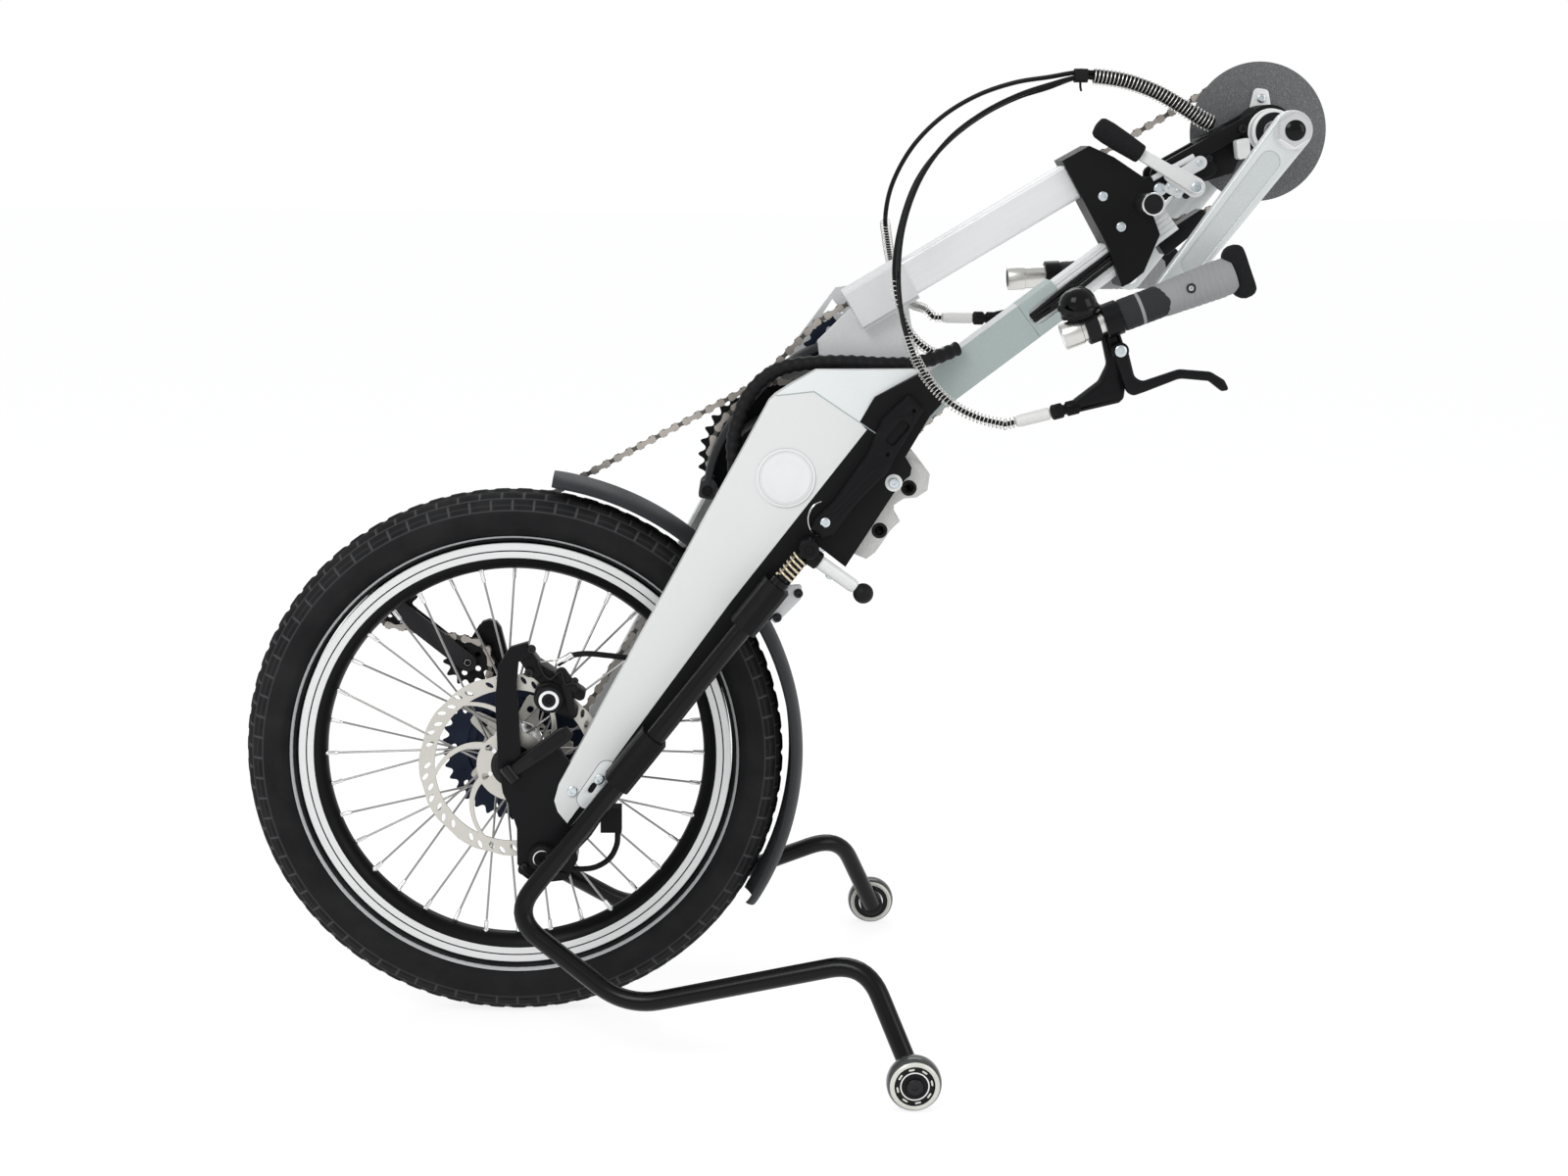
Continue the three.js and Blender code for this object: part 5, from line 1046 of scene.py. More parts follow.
def makeCalipers():
    knobX, knobZ = calipers["upperKnob"]
    body = [plate(tapered((15, 110), (24, 97), 7.0, 7.6, 12), -74.6, -52, 1.4),
            plate(tapered((24, 97), (40, 85), 7.6, 8.6, 12), -72, -46, 1.4),
            plate(moved(circle(15, 36), (knobX, knobZ)), -75.0, -38, 1.8, 3),
            plate(tapered((knobX, knobZ), (57, 56), 11.0, 6.0, 12), -72, -42, 1.4),
            plate(tapered((45, 86), (65, 73), 6.0, 5.0, 12), -73.5, -50, 1.4)]
    piece("caliperUpper", join(*body), "satinBlack", "frame", "caliper_upper")
    dressed("caliper_lower", "satinBlack", 0.9)
    for name, (x, z), ring in (("upper", calipers["upperKnob"], (6.6, 9.4)),
                               ("lower", calipers["lowerKnob"], (7.2, 8.4))):
        low = -calipers["knobStart"]
        a, b = ring
        profile = [(12.7, 0), (12.9, 1.0), (12.9, 6.0), (12.2, 8.6), (10.4, 9.6), (b + 0.3, 9.7),
                   (b, 9.8), (a, 9.8), (a - 0.3, 9.7), (3.2, 9.5), (2.6, 8.0), (0.4, 7.8)]
        knob = lathe(profile, (x, low, z), toNear, 48)
        rows = np.arange(len(knob[1])) // 48
        index = ((rows == 6) & (np.arange(len(knob[1])) < (len(profile) - 1) * 48)).astype(int)
        piece(f"{name}CaliperKnob", knob, ["plasticBlack", "polished"], "frame", places=index)
    for name in ("upper", "lower"):
        line = smoothLine(calipers[f"{name}Cable"], 48)
        piece(f"{name}CaliperCable", hose(line, 2.75, 12), "cordBlack", "frame")
    # Bright ferrule where the cable enters the upper caliper, and the pinch bolts
    start, then = np.array([46, -62, 103.0]), np.array([56, -63, 109.0])
    aim = normalised(then - start)
    ferrule = lathe([(3.4, 0), (3.4, 11), (3.1, 11.6), (3.6, 12), (3.6, 17), (2.9, 17.6)],
                    start - aim * 3, aim, 20)
    piece("caliperFerrule", ferrule, "polished", "frame")
    bolts = screws(-1, (18.0, -75.9, 96.0, 4.4, 3.4), (60.5, -75.9, 88.0, 3.6, 3.0),
                   (12.0, -75.9, -92.0, 3.6, 3.0),
                   (54.0, -75.9, -78.0, 3.4, 3.0), (20.5, -76.2, 118.5, 4.2, 3.2))
    piece("caliperBolts", bolts, "blackBolt", "frame")
    # Wavy spring strip across the upper caliper, its wire, and the arms of both
    clip = smoothLine([(26, -74.6, 106), (32, -76.4, 94), (38, -76.8, 90), (44, -76.6, 95),
                       (48, -76.8, 97), (52, -76.4, 85), (61, -76, 87), (67, -75.6, 80)],
                      50)
    piece("caliperClip", sweep(clip, [(-0.6, -2.0), (0.6, -2.0), (0.6, 2.0), (-0.6, 2.0)]), "blackBolt",
          "frame", slot="steel")
    wire = hose(smoothLine([(28, -70, 104.5), (38, -68, 105.5), (46, -63, 106)], 16), 0.8, 8)
    piece("caliperWire", wire, "steelBright", "frame", slot="steel")
    arms = [plate(tapered((48, 95), (60, 80), 5.2, 3.6, 12), -70, -76.4, 1.0),
            plate(tapered((52, 82), (58, 58), 4.6, 3.4, 12), -70, -76.2, 1.0),
            plate(tapered((10, -98), (48, -104), 5.0, 3.6, 12), -60, -70, 1.0)]
    piece("caliperArms", join(*arms), "plasticBlack", "frame", slot="black_steel")


makeCalipers()

quick = {"pivotY": -82.1, "tip": (56, 42)}


# Quick-release lever: a cupped blade that widens to a rounded tip, on its cam barrel
def makeQuickRelease():
    y = quick["pivotY"]
    tip = np.array(quick["tip"], float)
    aim = normalised(tip)
    drum = lathe([(4.6, -9.0), (6.0, -8.0), (6.0, 8.0), (4.6, 9.0)], (0, y, 0), (-aim[1], 0, aim[0]), 28)
    share = np.linspace(0, 1, 26)
    centre = np.stack([tip[0] * share, np.full(26, y), tip[1] * share], axis=1)
    centre[:, 1] += -1.2 * np.sin(share * math.pi)
    widths = 5.6 + 2.4 * np.clip(share * 1.6, 0, 1) - 3.4 * np.clip((share - 0.88) / 0.12, 0, 1) ** 2
    thick = 2.9 - 0.7 * share
    bend = fullTurn(20)
    across = np.array([-aim[1], 0, aim[0]])
    lateral = np.array([0, 1.0, 0])
    cupped = np.cos(bend)
    sinus = np.sin(bend)
    wide = across * (np.sign(cupped) * np.abs(cupped) ** 0.7)[None, :, None] * widths[:, None, None]
    deep = lateral * (np.sign(sinus) * np.abs(sinus) ** 0.8)[None, :, None] * thick[:, None, None]
    rings = centre[:, None] + wide + deep
    lever = ringTube(rings)
    pad = plate(tapered(tip * 0.42, tip * 0.86, 3.4, 4.2, 12), y - 3.3, y - 3.9, 0.5)
    boss = lathe([(5.2, -1), (5.2, 2.6), (4.4, 3.5), (2.0, 3.6)], (0, y, 0), toNear, 28)
    screwHead = screw((0, y - 3.2, 0), toNear, 3.2, 1.0)
    piece("quickReleaseLever", join(drum, lever, boss), "leverBlack", "quick_release",
          "quick_release_lever", smooth=45)
    piece("quickReleasePad", join(pad, screwHead), "plasticBlack", "quick_release")
    rod = lathe([(2.7, -75.2), (2.7, 84.5)], origin, sides=20)
    nut = lathe([(7.6, 76.2), (8.0, 77.0), (8.0, 82.6), (6.4, 84.2), (2.8, 84.6)], origin, sides=6)
    washers = lathe([(9.4, -73.9), (9.6, -74.4), (9.6, -75.0), (5.0, -75.4)], origin, sides=32)
    piece("skewer", join(rod, nut), "polished", "frame", "skewer")
    piece("skewerWasher", washers, "blackBolt", "frame")


makeQuickRelease()
print("legs, calipers and quick release made")


# Frame: crown, square tubes and their sleeves, clamp, mudguard
tubes = {
    "upperAt": (377.2, 464.5), "upperAngle": 31.05, "upperSide": 34.0, "upperFrom": -46, "upperTo": 193.5,
    "lowerAt": (416.4, 369.0), "lowerAngle": 37.3, "lowerSide": 31.0, "lowerFrom": 20, "lowerTo": 251.5,
    "ribs": 5, "rib": 1.0,
    "sleeve": (87.0, 127.0), "sleeveSide": 36.7, "sleeveSlot": 8.8,
}


def alongTube(at, angle, distance, up=0.0, y=0.0):
    c, s = math.cos(angle * degree), math.sin(angle * degree)
    return np.array([at[0] + distance * c - up * s, y, at[1] + distance * s + up * c])


def squareSection(side, radius):
    half = side / 2
    return rounded([(-half, -half), (half, -half), (half, half), (-half, half)], radius)


def makeFrame():
    # The crown, the sides of its lower sleeve in painted shade
    dressed("front_frame", ["plateSilver", "sleeveGrey"], 1.2, paintFaces=paintCrownShade)
    dressed("tube_clamp", "powderBlack", 1.3)
    # Upper tube: a drawn square tube with round corners, open at its end
    at, angle = tubes["upperAt"], tubes["upperAngle"]
    ends = [alongTube(at, angle, tubes["upperFrom"]), alongTube(at, angle, tubes["upperTo"])]
    line = evenLine(ends, 24)
    outer = squareSection(tubes["upperSide"], 3.2)
    inner = squareSection(tubes["upperSide"] - 5.0, 1.6)
    outside = sweep(line, outer)
    points, faces = outside
    faces = [face for face in faces if len(face) == 4]
    inside, insideFaces = sweep(line, inner)
    insideFaces = [face[::-1] for face in insideFaces if len(face) == 4]
    shape = join((points, faces), (inside, insideFaces),
                 tubeEnd(line[0], line[1] - line[0], outer, inner, True),
                 tubeEnd(line[-1], line[-1] - line[-2], outer, inner, False))
    piece("upperTube", shape, "anodised", "frame", "upper_tube", smooth=30)

    # Lower tube: ribbed sides, with a slot along its near face for the cables
    at, angle = tubes["lowerAt"], tubes["lowerAngle"]
    half = tubes["lowerSide"] / 2
    section = []
    step = 2 * (half - 3) / tubes["ribs"]
    for k in range(tubes["ribs"]):
        base = -half + 3 + k * step
        section += [(base, -half), (base + step * 0.42, -half), (base + step * 0.5, -half + tubes["rib"]),
                    (base + step * 0.92, -half + tubes["rib"])]
    section.append((half - 3, -half))
    section += [(half - 1, -half + 0.3), (half, -half + 2)]
    section += [(half, half - 2), (half - 1, half - 0.3)]
    for k in range(tubes["ribs"]):
        base = half - 3 - k * step
        section += [(base, half), (base - step * 0.42, half), (base - step * 0.5, half - tubes["rib"]),
                    (base - step * 0.92, half - tubes["rib"])]
    section.append((-half + 3, half))
    section += [(-half + 1, half - 0.3), (-half, half - 2), (-half, -half + 2), (-half + 1, -half + 0.3)]
    line = evenLine([alongTube(at, angle, tubes["lowerFrom"]), alongTube(at, angle, tubes["lowerTo"])], 30)
    piece("lowerTube", sweep(line, section), "anodised", "frame", "lower_tube", smooth=24)

    # The sleeve's end: three plain walls, and a near one whose open slot has a round end; all in the
    # grey-green of painted shade
    def flat(places):
        return [alongTube(at, angle, along, up)[[0, 2]] for along, up in places]

    reach, side, slot = tubes["sleeve"], tubes["sleeveSide"] / 2, tubes["sleeveSlot"]
    bend = np.linspace(-90, -270, 14) * degree
    notch = [(99 + slot * np.cos(a), slot * np.sin(a)) for a in bend]
    near = [(reach[0], -side), (reach[1], -side), (reach[1], -slot), *notch, (reach[1], slot),
            (reach[1], side), (reach[0], side)]
    walls = [plate([flat(near)], -side, -side + 2.6)]
    for low, high, y1, y2 in ((-side, side, side - 2.6, side),
                              (side - 2.6, side - 0.1, -side + 0.3, side - 0.3),
                              (-side + 0.1, -side + 2.6, -side + 0.3, side - 0.3)):
        walls.append(plate([flat([(reach[0], low), (reach[1], low), (reach[1], high), (reach[0], high)])],
                           y1, y2, 0.5))
    piece("sleeveEnd", join(*walls), "sleeveGrey", "frame")

    # Three black cables run in the slot, up to the clamp
    cables = []
    for offset, lift in ((-4.2, 0), (0.4, 0.2), (4.6, -0.1)):
        path = [alongTube(at, angle, 92, offset * 0.6, -half),
                alongTube(at, angle, 104, offset * 0.8, -half - 2.2),
                alongTube(at, angle, 122, offset, -half - 2.2 + lift),
                alongTube(at, angle, 170, offset + 1, -half - 1.4 + lift),
                alongTube(at, angle, 234, offset * 0.9 + 2.5, -half - 1.4)]
        cables.append(hose(smoothLine(path, 48), 2.0))
    piece("slotCables", join(*cables), "cordBlack", "frame")

    # Screws of the crown and the clamp
    clampScrews = [screws(side, (x, side * 26.0, z, radius, height)) for side, x, z, radius, height in (
        (-1, 551, 539.5, 4.6, 2.4), (-1, 569, 511.5, 4.6, 2.4), (1, 551, 539.5, 4.6, 2.4),
        (1, 569, 511.5, 4.6, 2.4), (-1, 604, 546.5, 6.4, 3.6), (1, 604, 546.5, 6.4, 3.6))]
    piece("clampScrews", join(*clampScrews), "zincBolt", "frame")
    knobFace = (587.2, -77.8, 533.8)
    rows = [(6.4, 0), (10.3, 0.6), (10.6, 2.0), (10.6, 9.4), (10.2, 10.4), (9.2, 10.5), (8.8, 9.8),
            (8.4, 9.6), (4.6, 10.2), (0.3, 10.4)]
    knob = lathe(rows, knobFace, toNear, 40)
    index = np.isin(np.arange(len(knob[1])) // 40, (3, 4, 5)).astype(int)
    index[(len(rows) - 1) * 40:] = 0
    piece("clampKnob", knob, ["plasticBlack", "polished"], "frame", places=index)
    stem = lathe([(8.4, 0), (8.8, 1), (8.8, 44), (7.2, 44.8), (7.2, 50.4)],
                 (knobFace[0], -26, knobFace[2]), toNear, 40)
    piece("clampKnobStem", stem, "polished", "frame")
    # Black end block of the lower tube, past the clamp
    block = plate(rounded([(603.6, 500.0), (648.5, 529.4), (653.7, 516.7), (614.3, 483.7)], 3.0),
                  -14, 14, 1.4, 3)
    piece("tubeEndBlock", block, "satinBlack", "frame")


# Flat ring that closes a hollow tube's end
def tubeEnd(place, aim, outer, inner, start):
    aim = normalised(np.asarray(aim, float))
    side = normalised(np.cross(aim, (0, 1.0, 0)))
    top = np.cross(side, aim)
    loops = [place + np.outer(part[:, 0], side) + np.outer(part[:, 1], top) for part in (outer, inner)]
    n = len(outer)
    faces = [[k, (k + 1) % n, n + (k + 1) % n, n + k] for k in range(n)]
    points = np.vstack(loops)
    normal = np.cross(points[faces[0][1]] - points[faces[0][0]], points[faces[0][2]] - points[faces[0][0]])
    if (normal @ aim > 0) == start:
        faces = [face[::-1] for face in faces]
    return points, faces


# The lower sleeve's near and far faces get painted shade and reflection, a grey-green copy; the rest of the
# crown bright
def paintCrownShade(centres, normals):
    c, s = math.cos(37.3 * degree), math.sin(37.3 * degree)
    along = (centres[:, 0] - 416.4) * c + (centres[:, 2] - 369) * s
    across = -(centres[:, 0] - 416.4) * s + (centres[:, 2] - 369) * c
    sideways = (np.abs(normals[:, 1]) > 0.9) & (np.abs(centres[:, 1]) < 20)
    onSleeve = (along > -64) & (np.abs(across) < 20) & sideways
    return onSleeve.astype(int)


mudguardBracket = [(256.8, 172.1), (274.5, 173.1), (273.7, 158.9), (249.7, 134.2), (242.2, 140.8)]
mudguardBolts = ((271.0, 164.5), (251.0, 141.0))
mudguardSizes = {"edge": 264.5, "crown": 278.6, "half": 30.6, "thickness": 2.4, "start": -33.0, "end": 82.0}


# Mudguard: a crowned strip on an arc, its section a shallow arch with rolled edges
def makeMudguard():
    size = mudguardSizes
    t = np.linspace(-1, 1, 21)
    y = size["half"] * np.sin(t * math.pi / 2 * 0.98)
    rise = np.sqrt(np.maximum(1 - (y / (size["half"] + 1.2)) ** 2, 0))
    crown = size["edge"] + (size["crown"] - size["edge"]) * rise
    outer = np.stack([crown, y], axis=1)
    inner = np.stack([crown - size["thickness"], y * 0.955], axis=1)[::-1]
    section = np.vstack([outer, inner])
    angle = np.linspace(size["start"], size["end"], 150) * degree
    # Only the corners of both ends are rounded
    ends = np.minimum(angle - angle[0], angle[-1] - angle) * size["crown"]
    draw = np.sqrt(np.clip(1 - (1 - np.clip(ends / 10, 0, 1)) ** 2 * 0.3, 0.7, 1))
    rings = wheelRings(section[None, :, 0], section[None, :, 1] * draw[:, None], angle)
    sheet = ringTube(rings)
    stayAt = 32 * degree
    x, z = polar(284.0, stayAt)
    stay = lathe([(4.6, -75.5), (5.0, -75), (5.0, 75), (4.6, 75.5)], (x, 0, z), sides=24)
    bracket = plate(rounded([(x - 9, z - 13), (x + 7, z - 9), (x + 9, z + 7), (x - 7, z + 9)], 3),
                    -11, 11, 1)
    piece("mudguard", sheet, "mudguardGrey", "frame", "mudguard", smooth=50)
    piece("mudguardStay", join(stay, bracket), "powderBlack", "frame", slot="black")
    # Bright bracket with two black bolts, low beside the stay
    arm = plate(rounded(mudguardBracket, 3.0), -33.5, -36.0)
    piece("mudguardBracket", arm, "plateSilver", "frame")
    bolts = screws(-1, *[(x, -35.8, z, 4.4, 3.4) for x, z in mudguardBolts])
    piece("mudguardBolts", bolts, "blackBolt", "frame")


makeFrame()
makeMudguard()
print("frame and mudguard made")

# Stand: bent tubes, castors, lock with its lever
standSizes = {
    "radius": 9.0, "bend": 34.0, "castorRadius": 25.2, "castorInner": 255.0, "castorWidth": 21.0,
    "footX": 368.0,
    "top": (252, 106, 189), "corners": [(0.8, 106, -131.5), (110, 147, -206.5), (328, 203, -143.5)],
    "endLateral": 246.0,
}


# The line with each corner replaced by an arc that starts and ends `bend` before and after it
def bentLine(places, bend, steps=10):
    places = np.asarray(places, float)
    result = [places[0]]
    for before, corner, after in zip(places[:-2], places[1:-1], places[2:]):
        a = corner + normalised(before - corner) * bend
        b = corner + normalised(after - corner) * bend
        t = np.linspace(0, 1, steps)[:, None]
        result += list((1 - t) ** 2 * a + 2 * t * (1 - t) * corner + t ** 2 * b)
    result.append(places[-1])
    return np.array(result)


def makeStand():
    size = standSizes
    castorZ = size["castorRadius"] * math.cos(math.pi / 16) - axle[2] / mm
    for word, side in (("near", -1), ("far", 1)):
        title = word.capitalize()
        places = [size["top"], *size["corners"], (size["footX"], size["endLateral"], castorZ)]
        places = [(x, side * y, z) for x, y, z in places]
        line = evenLine(bentLine(places, size["bend"]), 150)
        tube = steadyHose(line, size["radius"], 28)
        hub = (size["footX"], side * size["castorInner"], castorZ)
        out = (0, side, 0)
        plateEnd = lathe([(10.5, -9.4), (12, -8.4), (12, -1.4), (11, -0.4), (5, -0.4)], hub, out, 40)
        bolt = lathe([(4.6, -2), (4.6, size["castorWidth"] + 0.2)], hub, out, 24)
        cap = lathe([(7.2, 0), (7.2, 1.3), (6.6, 1.9), (2.6, 1.9), (2.4, 1.0), (0.3, 0.9)],
                    (hub[0], side * (size["castorInner"] + size["castorWidth"] + 0.1), hub[2]), out, 32)
        upward = normalised(line[0] - line[1])
        endCap = lathe([(9.1, 0), (9.1, 2.2), (8.0, 3.2), (0.5, 3.4)], line[0] + upward * -2.6, upward, 28)
        piece(f"standTube{title}", join(tube, plateEnd, endCap),
              "tubeBlack", f"stand_{word}", f"stand_tube_{word}")
        piece(f"castorBolt{title}", join(bolt, cap), "blackBolt", f"stand_{word}")
        # Castor: clear grey tread, pale hub ring, steel bearing with its shield
        w = size["castorWidth"]
        profile = [(18.2, 0.8), (20.5, 0.3), (22.2, 1.4), (24.0, 4.2), (24.65, 7.5), (24.65, w - 7.5),
                   (24.0, w - 4.2), (22.2, w - 1.4),
                   (20.5, w - 0.3), (18.2, w - 0.8)]
        tread = lathe(profile, hub, out, 72, loop=True)
        rows = np.arange(len(tread[1])) // 72
        pale = np.isin(rows, (0, 1, 7, 8)).astype(int)
        piece(f"castorTread{title}", tread, ["castorRubber", "castorClear"], f"castor_{word}",
              f"castor_{word}", places=pale)
        core = lathe([(13.2, 1.2), (17.4, 1.2), (18.3, 2.0), (18.3, w - 2.0), (17.4, w - 1.2),
                      (13.2, w - 1.2)], hub, out, 56, loop=True)
        piece(f"castorCore{title}", core, "glossBlack", f"castor_{word}", slot="castor")
        # Pale slits between the core's short spokes
        slits = []
        face = size["castorInner"] + w
        for a in np.arange(8) * math.pi / 4 + 0.2:
            ends = [(hub[0], hub[2]) + polar(15.6, a + turn) for turn in (-0.12, 0.12)]
            slits.append(plate(tapered(*ends, 0.8, 0.79, 6), side * (face - 1.6), side * (face - 1.0), 0))
        piece(f"castorSlits{title}", join(*slits), "castorClear", f"castor_{word}", slot="castor")
        bearing = lathe([(12.0, 1.6), (13.1, 1.6), (13.1, w - 1.0), (12.0, w - 1.0)],
                        hub, out, 56, loop=True)
        piece(f"castorBearing{title}", bearing, "polished", f"castor_{word}", slot="steel")
        shield = lathe([(5.2, 2.0), (11.9, 2.0), (11.9, w - 1.8), (8.2, w - 1.8), (7.8, w - 1.2),
                        (5.2, w - 1.2)], hub, out, 48, loop=True)
        piece(f"castorShield{title}", shield, "plasticBlack", f"castor_{word}", slot="castor")


# Hose whose rings turn with the least twist, for tubes bent in space
def steadyHose(line, radius, sides):
    tangent = normalised(np.gradient(line, axis=0))
    side = np.cross(tangent[0], (0, 1.0, 0))
    rows = []
    for heading in tangent:
        side = normalised(side - heading * (side @ heading))
        rows.append(side)
    side = np.array(rows)
    top = np.cross(side, tangent)
    bend = circle(radius, sides)
    rings = line[:, None] + side[:, None] * bend[None, :, :1] + top[:, None] * bend[None, :, 1:]
    return ringTube(rings)


lockSizes = {
    "pivot": (277, 219.5), "rodStart": (283, 209.5), "rodEnd": (321, 182.5), "ball": (327.5, 177.5),
    "y": -106.0,
    "innerFace": -86.2,
    "spring": {"radius": 7.5, "wire": 1.25, "turns": 5},
}


def makeLock():
    size = lockSizes
    y = size["y"]
    px, pz = size["pivot"]
    shell = lathe([(7.6, 0), (9.0, 1.2), (9.0, 29.6), (7.8, 30.8), (4.4, 30.8), (4.2, 30.0), (0.4, 30.0)],
                  (px, size["innerFace"], pz), toNear, 40)
    ends = ("rodStart", "rodEnd", "ball")
    start, end, knobAt = [np.array([size[key][0], y, size[key][1]]) for key in ends]
    aim = normalised(end - start)
    collar = lathe([(8.4, -7), (8.8, -5), (8.6, 3.4), (7.4, 4.6)], start, aim, 32)
    piece("standLock", join(shell, collar), "satinBlack", "stand_lock", "stand_lock")
    rod = lathe([(6.5, 3), (6.5, 42), (5.6, 45.4), (3.4, 46.4)], start, aim, 36)
    piece("lockRod", rod, "coverSilver", "stand_lock")
    piece("lockBall", ball(knobAt, 9.5, 40), "plasticBlack", "stand_lock")
    # Brass spring between the stand tube's top and the lock
    begin = np.array([standSizes["top"][0], y, standSizes["top"][2]], float)
    pivot = np.array([px, y, pz])
    heading = normalised(pivot - begin)
    wire = size["spring"]["wire"]
    line = np.array([begin + heading * (2 * wire + 0.3), pivot - heading * (9.0 + 2 * wire + 0.3)])
    piece("lockSpring", coil(line, size["spring"]["radius"], wire, size["spring"]["turns"], 10, 28),
          "brass", "frame", "lock_spring")
    guide = lathe([(4.2, 1.0), (4.2, float(np.linalg.norm(pivot - begin)) - 8.6)], begin, heading, 24)
    piece("lockGuide", guide, "plasticBlack", "frame", slot="black")


makeStand()
makeLock()
print("stand made")


# Chains: links laid along each loop, alternately inner and outer, with their rollers
chainSizes = {"pitch": 12.7, "upperPlane": 34.0, "lowerPlane": 45.0, "plateHeight": 8.2, "waist": 3.4}
chainringAt, idlerAt, jackshaftAt = (706, 600.5), (305.5, 395.5), (255, 281)
guideAt, tensionAt = (-50, 80.5), (-122, 138.5)
# [place, radius, turn] of the wheels that each chain goes round, 1 where they lie inside its loop
upperWheels = [(chainringAt, 57.0, 1), (idlerAt, 26.5, 1), (jackshaftAt, 68.8, 1), ((590, 491), 10.0, -1)]
lowerWheels = [(jackshaftAt, 76.9, 1), (tensionAt, 22.0, 1),
               (guideAt, 22.0, -1), ((0, 0), 38.0, 1), ((192, 213.5), 12.0, -1)]


# Loop of arcs round the wheels, joined by their common tangents
def chainLine(wheels):
    headings = []
    for (at, radius, turn), (nextAt, nextRadius, nextTurn) in zip(wheels, wheels[1:] + wheels[:1]):
        step = np.subtract(nextAt, at)
        offset = nextTurn * nextRadius - turn * radius
        headings.append(math.atan2(step[1], step[0]) - math.asin(offset / math.hypot(*step)))
    places = []
    for i, (at, radius, turn) in enumerate(wheels):
        arrive = headings[i - 1]
        reach = (turn * (headings[i] - arrive)) % (2 * math.pi)
        heading = arrive + turn * reach * np.linspace(0, 1, 40)
        places.append(np.stack([at[0] + turn * radius * np.sin(heading),
                                at[1] - turn * radius * np.cos(heading)], axis=1))
    return np.concatenate(places)


# One chain plate round two pins at -1/2 and +1/2 pitch, waisted between them
def linkPlate(low, high, pitch, height, waist):
    turn = np.linspace(-1.15, 1.15, 7)
    right = polar(height / 2, turn) + (pitch / 2, 0)
    outline = np.vstack([right, [(0, waist / 2)], -right, [(0, -waist / 2)]])
    n = len(outline)
    rings = np.stack([np.column_stack([outline[:, 0], np.full(n, y), outline[:, 1]]) for y in (low, high)])
    return ringTube(rings)


def pinShape(radius, low, high, x):
    around, up = circle(radius, 8).T
    return ringTube(np.stack([np.column_stack([x + around, np.full(8, y), up]) for y in (low, high)]))


def makeChain(name, node, wheels, plane, body):
    line = chainLine(wheels)
    closedLine = np.vstack([line, line[:1]])
    length = lineLength(closedLine)
    links = 2 * round(length / chainSizes["pitch"] / 2)
    pins = evenLine(line, links, closed=True)
    following = np.roll(pins, -1, axis=0)
    middle = (pins + following) / 2
    aim = normalised(following - pins)
    pitch = length / links
    height, waist = chainSizes["plateHeight"], chainSizes["waist"]
    inner, outer = [
        join(linkPlate(low, high, pitch, height, waist), linkPlate(-high, -low, pitch, height, waist),
             pinShape(radius, -reach, reach, pitch / 2), pinShape(radius, -reach, reach, -pitch / 2))
        for low, high, radius, reach in ((1.3, 2.1, 3.7, 1.3), (2.3, 3.1, 1.9, 3.4))]
    points, faces, count = [], [], 0
    for kind, (shapePoints, shapeFaces) in enumerate((inner, outer)):
        chosen = np.arange(kind, links, 2)
        along, sideways, up = shapePoints.T[:, None]
        aimX, aimZ = aim[chosen].T[:, :, None]
        x = middle[chosen, 0, None] + along * aimX - up * aimZ
        z = middle[chosen, 1, None] + along * aimZ + up * aimX
        y = np.broadcast_to(plane + sideways, x.shape)
        points.append(np.stack([x, y, z], axis=2).reshape(-1, 3))
        for k in range(len(chosen)):
            start = count + k * len(shapePoints)
            faces += [[corner + start for corner in face] for face in shapeFaces]
        count += len(chosen) * len(shapePoints)
    dark = np.arange(len(faces)) < len(inner[1]) * len(np.arange(0, links, 2))
    return piece(name, (np.concatenate(points), faces), ["chainSteel", "chainDark"],
                 body, node, smooth=30, places=dark.astype(int))


# Toothed disc with a ring of lightening holes, and a hub by its radius and its two ends
def makeSprocket(name, at, radius, teeth, plane, bore, holes, holeRadius, holeAt, finish, body, node=None,
                 thick=2.2, hub=None, slot=None):
    outline = moved(cogOutline(teeth, radius, 2.6, 3.6), at)
    loops = [outline, moved(circle(bore, 32), at)]
    for k in range(holes):
        a = 2 * math.pi * (k + 0.5) / holes
        loops.append(moved(circle(holeRadius, 20), at + polar(holeAt, a)))
    shape = plate(loops, plane - thick / 2, plane + thick / 2, 0.35, 1)
    if hub is not None:
        radiusHub, low, high = hub
        shape = join(shape,
                     lathe([(bore, low), (radiusHub - 0.6, low), (radiusHub, low + 0.6),
                            (radiusHub, high - 0.6), (radiusHub - 0.6, high), (bore, high)],
                           (at[0], 0, at[1]), sides=40, loop=True))
    nodes = (node,) if node else ()
    return piece(name, shape, finish, body, *nodes, smooth=30, slot=slot)


guardRoute = [(184, 256.5), (187, 276), (193, 295), (205, 318), (224, 342),
              (252, 371), (282, 391), (312, 398.5), (336, 391.5), (352, 380)]


